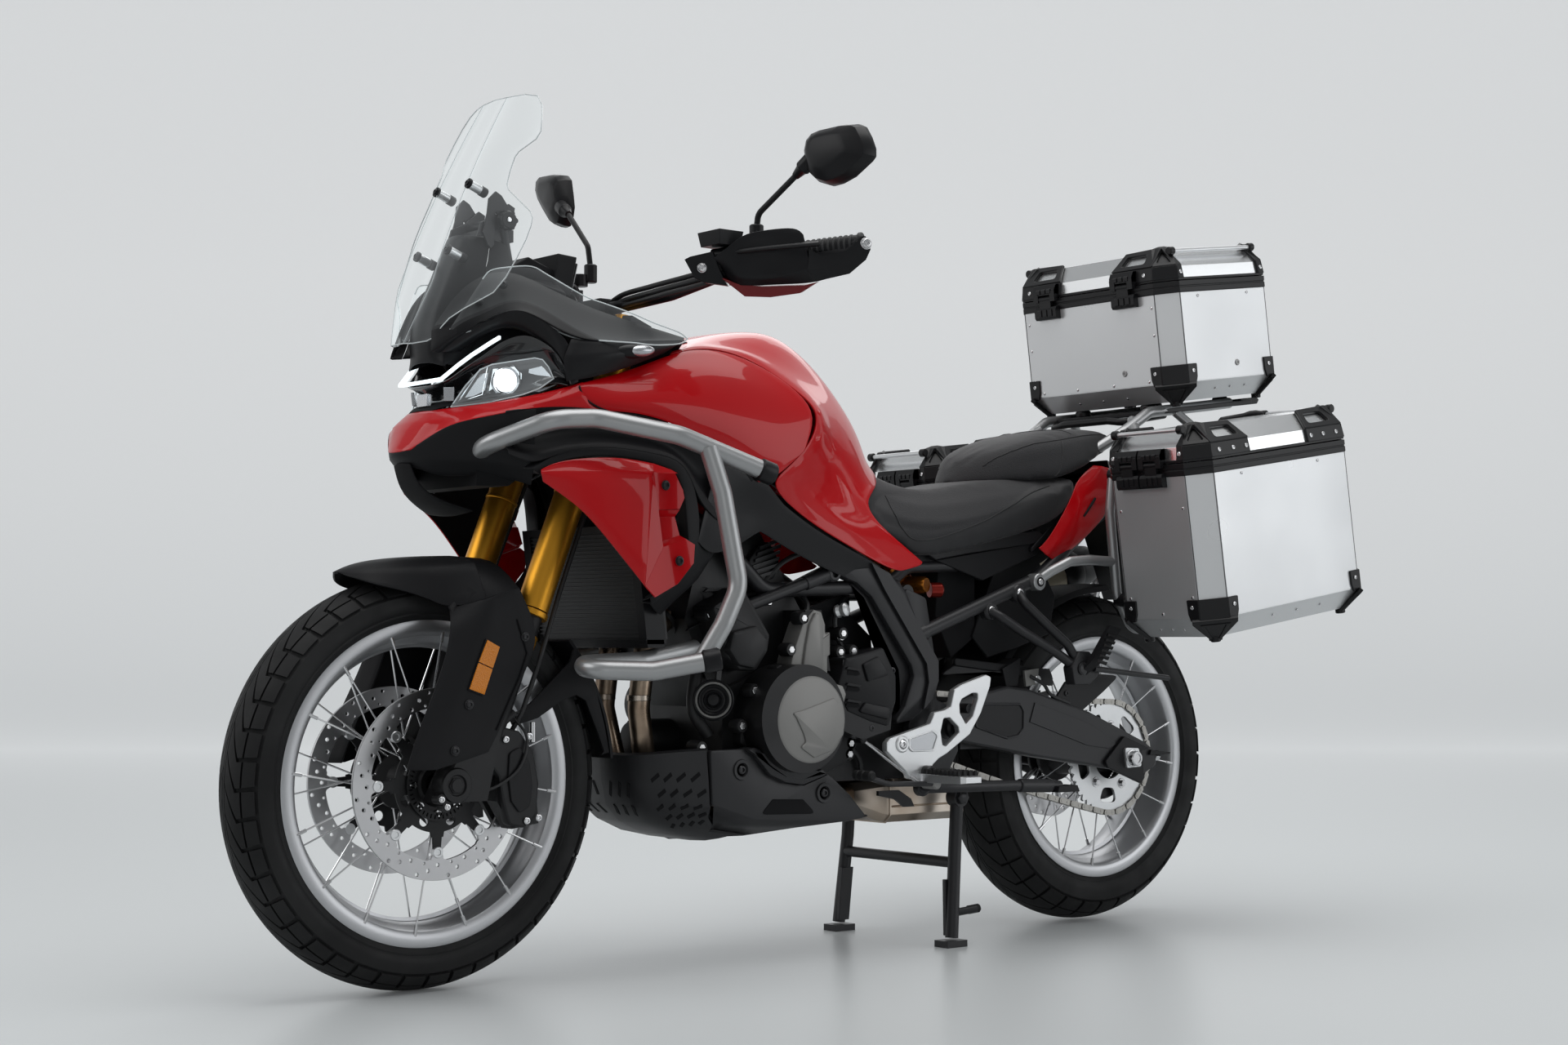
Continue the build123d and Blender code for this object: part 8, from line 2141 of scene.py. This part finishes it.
def seat(name, top, low, seam, mid_out, crown, node, tex, vox=5.5, cap=5.0):
    """A padded seat from its upper edge, seam line and lower edge on the left side."""
    n = 26
    T, S, B = resample(top, n), resample(seam, n), resample(low, n)
    secs = []
    for i in range(n):
        t, s, b = T[i], S[i], B[i]
        m1 = (t + s) / 2 + Vector((0, -mid_out, mid_out * 0.7))
        m2 = (s + b) / 2 + Vector((0, -mid_out * 0.5, 0))
        half = [b, m2, s, m1, t, Vector((t.x, t.y * 0.5, t.z + crown))]
        L = [(p.x, min(p.y, -4), p.z) for p in half]
        secs.append(L + [(t.x, 0, t.z + crown * 1.1)] + [(x, -y, z) for x, y, z in reversed(L)] + [(b.x, 0, b.z + 6)])
    bag = Bag(name + "_form", "chassis")
    bag.add(loft(secs), "vinyl")
    me = bpy.data.meshes.new(name)
    me.from_pydata([W(p) for p in bag.v], [], bag.f)
    bmx = bmesh.new(); bmx.from_mesh(me)
    bmesh.ops.triangulate(bmx, faces=[f for f in bmx.faces if len(f.verts) > 4])
    bmesh.ops.recalc_face_normals(bmx, faces=bmx.faces)
    bmx.to_mesh(me); bmx.free()
    ob = bpy.data.objects.new(name, me)
    bpy.context.scene.collection.objects.link(ob)
    r = ob.modifiers.new("remesh", "REMESH"); r.mode = "VOXEL"; r.voxel_size = vox * 0.001
    dg_ = bpy.context.evaluated_depsgraph_get(); dg_.update()
    m2_ = bpy.data.meshes.new_from_object(ob.evaluated_get(dg_))
    ob.modifiers.clear(); ob.data = m2_
    # ease the form before it is filled
    bmx = bmesh.new(); bmx.from_mesh(ob.data)
    for _ in range(5):
        bmesh.ops.smooth_vert(bmx, verts=bmx.verts, factor=0.5, use_axis_x=True, use_axis_y=True, use_axis_z=True)
    bmx.to_mesh(ob.data); bmx.free()
    rest = [v.co.copy() for v in ob.data.vertices]
    nor = [v.normal.copy() for v in ob.data.vertices]
    vg = ob.vertex_groups.new(name="pin")
    for i, v in enumerate(ob.data.vertices):
        w_ = 1.0 if nor[i].z < -0.35 else (0.35 if nor[i].z < 0 else 0.0)
        if w_:
            vg.add([i], w_, "REPLACE")
    c = ob.modifiers.new("cloth", "CLOTH")
    c.settings.quality = 4; c.settings.mass = 0.3
    c.settings.tension_stiffness = c.settings.compression_stiffness = 22; c.settings.shear_stiffness = 12; c.settings.bending_stiffness = 1.2
    c.settings.use_pressure = True; c.settings.uniform_pressure_force = 4.0
    c.settings.vertex_group_mass = "pin"
    c.settings.effector_weights.gravity = 0.0
    c.collision_settings.use_collision = False; c.collision_settings.use_self_collision = False
    c.point_cache.frame_start, c.point_cache.frame_end = 1, 20
    for fr in range(1, 21):
        bpy.context.scene.frame_set(fr)
    dg_ = bpy.context.evaluated_depsgraph_get()
    ev = ob.evaluated_get(dg_); em = ev.to_mesh()
    new = [v.co.copy() for v in em.vertices]
    ev.to_mesh_clear()
    ob.modifiers.clear(); ob.vertex_groups.clear()
    lim = cap * 0.001
    bm_ = bmesh.new(); bm_.from_mesh(ob.data); bm_.verts.ensure_lookup_table()
    for v, b in zip(bm_.verts, new):
        v.co = b
    for _ in range(4):
        bmesh.ops.smooth_vert(bm_, verts=bm_.verts, factor=0.5, use_axis_x=True, use_axis_y=True, use_axis_z=True)
    new = [v.co.copy() for v in bm_.verts]; bm_.free()
    for v, a, b in zip(ob.data.vertices, rest, new):
        d = b - a
        if d.length > lim:
            d = d.normalized() * lim
        v.co = a + d
    bpy.context.scene.frame_set(1)
    ob.data.materials.clear()
    ob.data.materials.append(M["vinyl"]); ob.data.materials.append(M["vinyl_top"])
    ob.data.update()
    for p in ob.data.polygons:
        p.use_smooth = True
        x, y, z = p.center.x * 1000 - SH, p.center.y * 1000, p.center.z * 1000
        p.material_index = 1 if tex(x, abs(y), z) else 0
    s_ = ob.modifiers.new("sub", "SUBSURF"); s_.levels = s_.render_levels = 1
    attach(ob, "chassis"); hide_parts(node)
    return ob


def along(poly, x):
    for (x0, _, z0), (x1, _, z1) in zip(poly, poly[1:]):
        if x0 <= x <= x1:
            return z0 + (z1 - z0) * (x - x0) / max(1e-6, x1 - x0)
    return poly[0][2] if x < poly[0][0] else poly[-1][2]


def snap_seam(bag, ob, pts, r=1.2, mirror=True, mat="vinyl"):
    bm = bmesh.new(); bm.from_mesh(ob.data)
    tree = BVHTree.FromBMesh(bm)
    for s in ((1, -1) if mirror else (1,)):
        out = []
        for p in resample(pts, 60):
            q = Vector(W((p.x, p.y * s, p.z)))
            loc, nn, _, _ = tree.find_nearest(q)
            loc = loc + nn * 0.0002
            out.append((loc.x * 1000 - SH, loc.y * 1000, loc.z * 1000))
        bag.add(pipe(out, r, 6, True), mat)
    bm.free()


top_r = [(96, -40, 868), (118, -52, 862), (150, -64, 856), (200, -76, 838), (242, -84, 828), (300, -90, 830), (399, -100, 846), (502, -104, 856), (582, -108, 862), (620, -112, 868)]
low_r = [(96, -118, 790), (110, -136, 762), (150, -142, 732), (205, -144, 708), (271, -144, 712), (354, -144, 728), (460, -144, 752), (547, -144, 778), (590, -142, 806), (612, -138, 832)]
seam_r = [(90, -96, 838), (104, -112, 812), (140, -132, 784), (208, -146, 768), (287, -150, 771), (369, -151, 784), (454, -151, 806), (530, -150, 830), (582, -146, 848), (618, -140, 856)]
rs_ob = seat("rider_seat_pad", top_r, low_r, seam_r, 5.0, 3.0, "rider_seat", lambda x, y, z: x > 108 and z > along(T_SEAM_R, x) + 1 and x < 600 and not (z < 740))
top_p = [(428, -8, 886), (440, -34, 900), (462, -64, 912), (506, -88, 928), (571, -100, 945), (663, -99, 961), (725, -94, 965), (758, -84, 958)]
low_p = [(404, -8, 848), (416, -40, 848), (448, -82, 850), (510, -114, 857), (578, -134, 864), (640, -136, 884), (690, -128, 908), (731, -118, 926), (752, -104, 938)]
seam_p = [(413, -10, 864), (424, -42, 868), (454, -80, 876), (512, -108, 888), (580, -124, 900), (650, -126, 922), (700, -120, 936), (735, -110, 945), (757, -98, 949)]
ps_ob = seat("pillion_seat_pad", top_p, low_p, seam_p, 3.0, 5.0, "pillion_seat", lambda x, y, z: x < 612 - (z - 865) * -0.5 and z > 852 + (x - 330) * 0.02)
sb = Bag("seat_seams", "chassis")
snap_seam(sb, rs_ob, T_SEAM_R)
snap_seam(sb, ps_ob, T_SEAM_P1)
snap_seam(sb, ps_ob, T_SEAM_P2)
snap_seam(sb, ps_ob, [(640, -108, 968), (640, -60, 976), (640, 0, 978), (640, 60, 976), (640, 108, 968)], mirror=False)
sb.make()

# ---------------------------------------------------------------- tail
sheet_grid("tail_skin", [list(c) for c in T_TAILP], "chassis", "red", 3.0, 2, True, [("row", 0, 0.9), ("row", 1, 0.55), ("row", 2, 0.9), ("col", 0, 0.8), ("col", 6, 0.8)], replaces=("tail_panels",))
tb = Bag("tail_details", "chassis")
tb.add(extrude([(x, -151.5 if x < 650 else -148.5, z) for x, z in ((624, 792), (628, 790), (664, 826), (662, 830))], (0, 6, 0)), "dark", False, True)
tb.add(loft([[(500, -134, 720), (500, 134, 720), (500, 134, 728), (500, -134, 728)], [(640, -128, 800), (640, 128, 800), (640, 128, 840), (640, -128, 840)], [(800, -96, 866), (800, 96, 866), (800, 92, 888), (800, -92, 888)]]), "plastic_s", False)
tb.add(loft([[(740, -112, 884), (740, 112, 884), (740, 104, 908), (740, -104, 908)], [(806, -76, 868), (806, 76, 868), (806, 70, 902), (806, -70, 902)]]), "plastic_s", False)
tb.make(bevel=3.0, seg=3)
dress("tail_light", "plastic_s", 1.0)
tl_ = Bag("tail_lens", "chassis")
tl_.add(loft([[(836, -66, 870), (836, 66, 870), (836, 66, 896), (836, -66, 896)], [(842, -60, 874), (842, 60, 874), (842, 60, 892), (842, -60, 892)]]), "red_lens")
for s in (-1, 1):
    tl_.add(turn((880, s * 120, 772), (0, s, 0), [(8, 0), (13, 6), (14, 14), (13, 34), (9, 40), (0.02, 40)], 24), "plastic_s")
    tl_.add(turn((890, s * 140, 772), (1, 0, 0), [(11, -2), (12, 2), (9, 6), (0.02, 7)], 24), "amber")
tl_.make(bevel=1.0)

# top of the rack: a dark plate with a folded front handle
ct8, st8 = math.cos(math.radians(7.7)), math.sin(math.radians(7.7))
def tcw(u, v, w):
    return (796.8 + u * ct8 - w * st8, v, 1232.3 + u * st8 + w * ct8)
rk = Bag("rack_plate_top", "chassis")
o8 = [(3, -120), (30, -151), (296, -151), (325, -120), (325, 120), (296, 151), (30, 151), (3, 120)]
vs8 = [tcw(u, v, -235.2) for u, v in o8] + [tcw(u, v, -225.8) for u, v in o8]
rk.add((vs8, [list(range(8))[::-1], list(range(8, 16))] + [[i, (i + 1) % 8, 8 + (i + 1) % 8, 8 + i] for i in range(8)]), "corner", False)
hdl = [tcw(60, -122, -238), tcw(4, -122, -240), tcw(-34, -96, -244), tcw(-40, -60, -238), tcw(-40, 60, -238), tcw(-34, 96, -244), tcw(4, 122, -240), tcw(60, 122, -238)]
rk.add(pipe(fillet(hdl, 26, 6), 7.5, 16), "corner")
for s in (-1, 1):
    rk.add(extrude([tcw(270, s * 100, -222), tcw(320, s * 100, -222), tcw(327, s * 100, -228), tcw(320, s * 100, -236), tcw(270, s * 100, -236)], (0, s * 46, 0)), "corner", False)
    for u in (50, 270):
        rk.add(turn(tcw(u, s * 90, -222), tuple(Vector((-st8, 0, ct8))), [(16, -4), (16, 5), (14, 8), (0.02, 8)], 24), "corner")
rk.make(bevel=1.5)

# seams of the tank's side panels, laid on the skin where the line from the camera's side meets it
tse = Bag("tank_seams", "chassis")
bm_t = bmesh.new()
dg_t = bpy.context.evaluated_depsgraph_get()
for nm_ in ("tank_skin", "cover_skin"):
    bm_t.from_object(bpy.data.objects[nm_], dg_t)
tree_t = BVHTree.FromBMesh(bm_t)
eye = Vector((-2.70838, -3.31399, 0.56071))
for pts_ in ([(-568, -190, 963), (-565, -190, 953), (-557, -190, 942), (-539, -190, 931), (-516, -190, 924), (-484, -190, 920)],
             [(-568, -190, 963), (-535, -190, 980), (-498, -190, 999), (-455, -190, 1015), (-412, -190, 1029), (-354, -190, 1046)]):
    out = []
    for p in resample([Vector(q) for q in pts_], 26):
        d_ = (Vector(W((p.x, p.y, p.z))) - eye).normalized()
        loc, nn, _, dist = tree_t.ray_cast(eye, d_)
        if loc is None:
            continue
        loc = loc + nn * (0.0003 if nn.y < 0 else -0.0003)
        out.append((loc.x * 1000 - SH, loc.y * 1000, loc.z * 1000))
    if len(out) > 4:
        tse.add(pipe([Vector(q) for q in out], 1.7, 6, True), "plastic_s", True, True)
bm_t.free()
tse.make()
# ---------------------------------------------------------------- floor, light and camera
def stage():
    import bpy
    sc = bpy.context.scene
    me = bpy.data.meshes.new("floor")
    # floor that turns up into the backdrop far behind
    rows = [(-14.0, 0.0), (7.5, 0.0)]
    R = 5.0
    for i in range(1, 25):
        a = math.pi / 2 * i / 24
        rows.append((7.5 + R * math.sin(a), R - R * math.cos(a)))
    rows.append((12.5, 16.0))
    az = math.radians(-38.939)
    fw = Vector((-math.sin(az), math.cos(az), 0)); rt = Vector((math.cos(az), math.sin(az), 0))
    vs, fs = [], []
    for d, z in rows:
        for w in (-22, 22):
            p = fw * d + rt * w
            vs.append((p.x, p.y, z))
    for i in range(len(rows) - 1):
        fs.append([2 * i, 2 * i + 1, 2 * i + 3, 2 * i + 2])
    me.from_pydata(vs, [], fs)
    for p in me.polygons:
        p.use_smooth = True
    fl = bpy.data.objects.new("studio_floor", me)
    sc.collection.objects.link(fl)
    m = bpy.data.materials.new("studio_floor"); m.use_nodes = True
    n, l, b = nodes_of(m)
    b.inputs["Base Color"].default_value = (0.62, 0.65, 0.665, 1)
    b.inputs["Roughness"].default_value = 0.30
    b.inputs["Specular IOR Level"].default_value = 0.22
    b.inputs["Coat Weight"].default_value = 0.0
    # painted light and shade: a little colder and darker down on the floor, lighter and warmer up the backdrop
    geo = n.new("ShaderNodeNewGeometry"); sep = n.new("ShaderNodeSeparateXYZ")
    l.new(geo.outputs["Position"], sep.inputs[0])
    mr = n.new("ShaderNodeMapRange"); mr.inputs["From Min"].default_value = 0.0; mr.inputs["From Max"].default_value = 3.0
    l.new(sep.outputs["Z"], mr.inputs["Value"])
    rp = n.new("ShaderNodeValToRGB")
    rp.color_ramp.elements[0].color = (0.51, 0.532, 0.54, 1)
    rp.color_ramp.elements[1].color = (0.68, 0.685, 0.688, 1)
    l.new(mr.outputs["Result"], rp.inputs["Fac"]); l.new(rp.outputs["Color"], b.inputs["Base Color"])
    rr = n.new("ShaderNodeMapRange"); rr.inputs["From Min"].default_value = 0.0; rr.inputs["From Max"].default_value = 0.3
    rr.inputs["To Min"].default_value = 0.30; rr.inputs["To Max"].default_value = 0.9
    l.new(sep.outputs["Z"], rr.inputs["Value"]); l.new(rr.outputs["Result"], b.inputs["Roughness"])
    # painted light: the floor and backdrop glow more the further back and higher they lie
    dv = n.new("ShaderNodeVectorMath"); dv.operation = "DOT_PRODUCT"
    dv.inputs[1].default_value = (fw.x, fw.y, 0.35)
    l.new(geo.outputs["Position"], dv.inputs[0])
    er = n.new("ShaderNodeMapRange"); er.interpolation_type = "SMOOTHSTEP"
    er.inputs["From Min"].default_value = -0.5; er.inputs["From Max"].default_value = 13.0
    er.inputs["To Min"].default_value = 0.03; er.inputs["To Max"].default_value = 0.42
    l.new(dv.outputs["Value"], er.inputs["Value"]); l.new(er.outputs["Result"], b.inputs["Emission Strength"])
    b.inputs["Emission Color"].default_value = (0.955, 0.97, 0.98, 1)
    me.materials.append(m)

    def area(name, loc, target, size, power, color=(1, 1, 1), sy=None, spread=None):
        d = bpy.data.lights.new(name, "AREA"); d.energy = power; d.color = color
        d.shape = "RECTANGLE"; d.size = size; d.size_y = sy or size
        if spread:
            d.spread = spread
        o = bpy.data.objects.new(name, d); sc.collection.objects.link(o)
        o.location = loc
        o.rotation_euler = (Vector(target) - Vector(loc)).to_track_quat("-Z", "Y").to_euler()
        return o
    # large soft boxes: overhead, from the camera's left, a card behind the left end, and one from its right
    area("top_soft", (0.2, -0.5, 4.6), (0, 0, 0.4), 5.0, 150, (1, 0.995, 0.985), 4.0)
    area("key_left", (-4.6, 1.4, 3.4), (-0.2, 0, 0.7), 3.6, 62, (1, 1, 1), 2.6)
    area("card_left", (-4.8, 5.0, 1.9), (0.5, -0.2, 0.8), 5.0, 32, (1, 1, 1), 3.4)
    area("fill_right", (3.7, -4.5, 1.8), (0.4, 0, 0.6), 4.4, 64, (0.97, 0.985, 1), 3.0)
    area("rim_back", (3.6, 3.6, 3.8), (0.1, 0, 0.8), 3.6, 34, (1, 1, 1), 2.2)
    area("low_front", (-3.4, -4.4, 0.9), (-0.4, 0, 0.5), 3.0, 9, (1, 1, 1), 1.6)
    w = bpy.data.worlds.new("world"); sc.world = w; w.use_nodes = True
    bg = w.node_tree.nodes["Background"]
    bg.inputs["Color"].default_value = (0.90, 0.93, 0.945, 1); bg.inputs["Strength"].default_value = 0.33
    cam = bpy.data.cameras.new("camera"); co = bpy.data.objects.new("camera", cam)
    sc.collection.objects.link(co)
    cam.sensor_width = 36; cam.lens = 54.22; cam.clip_end = 100
    a, e = math.radians(-38.939), math.radians(2.761)
    f = Vector((-math.sin(a) * math.cos(e), math.cos(a) * math.cos(e), math.sin(e)))
    co.location = (-2.70838, -3.31399, 0.56071)
    co.rotation_euler = f.to_track_quat("-Z", "Y").to_euler()
    cam.dof.use_dof = False
    sc.camera = co
    sc.view_settings.view_transform = "Standard"
    sc.view_settings.look = "None"
    sc.view_settings.exposure = 0.0
    sc.render.resolution_x, sc.render.resolution_y = 1920, 1280
    sc.cycles.max_bounces = 10; sc.cycles.transparent_max_bounces = 16; sc.cycles.glossy_bounces = 5; sc.cycles.diffuse_bounces = 4
    sc.cycles.transmission_bounces = 8


stage()

bpy.context.view_layer.update()
dg = bpy.context.evaluated_depsgraph_get()
for o in bpy.context.scene.objects:
    if o.type in ("MESH", "CURVE", "SURFACE") and not o.hide_render:
        ev = o.evaluated_get(dg); me = ev.to_mesh()
        me.calc_loop_triangles()
        ev.to_mesh_clear()
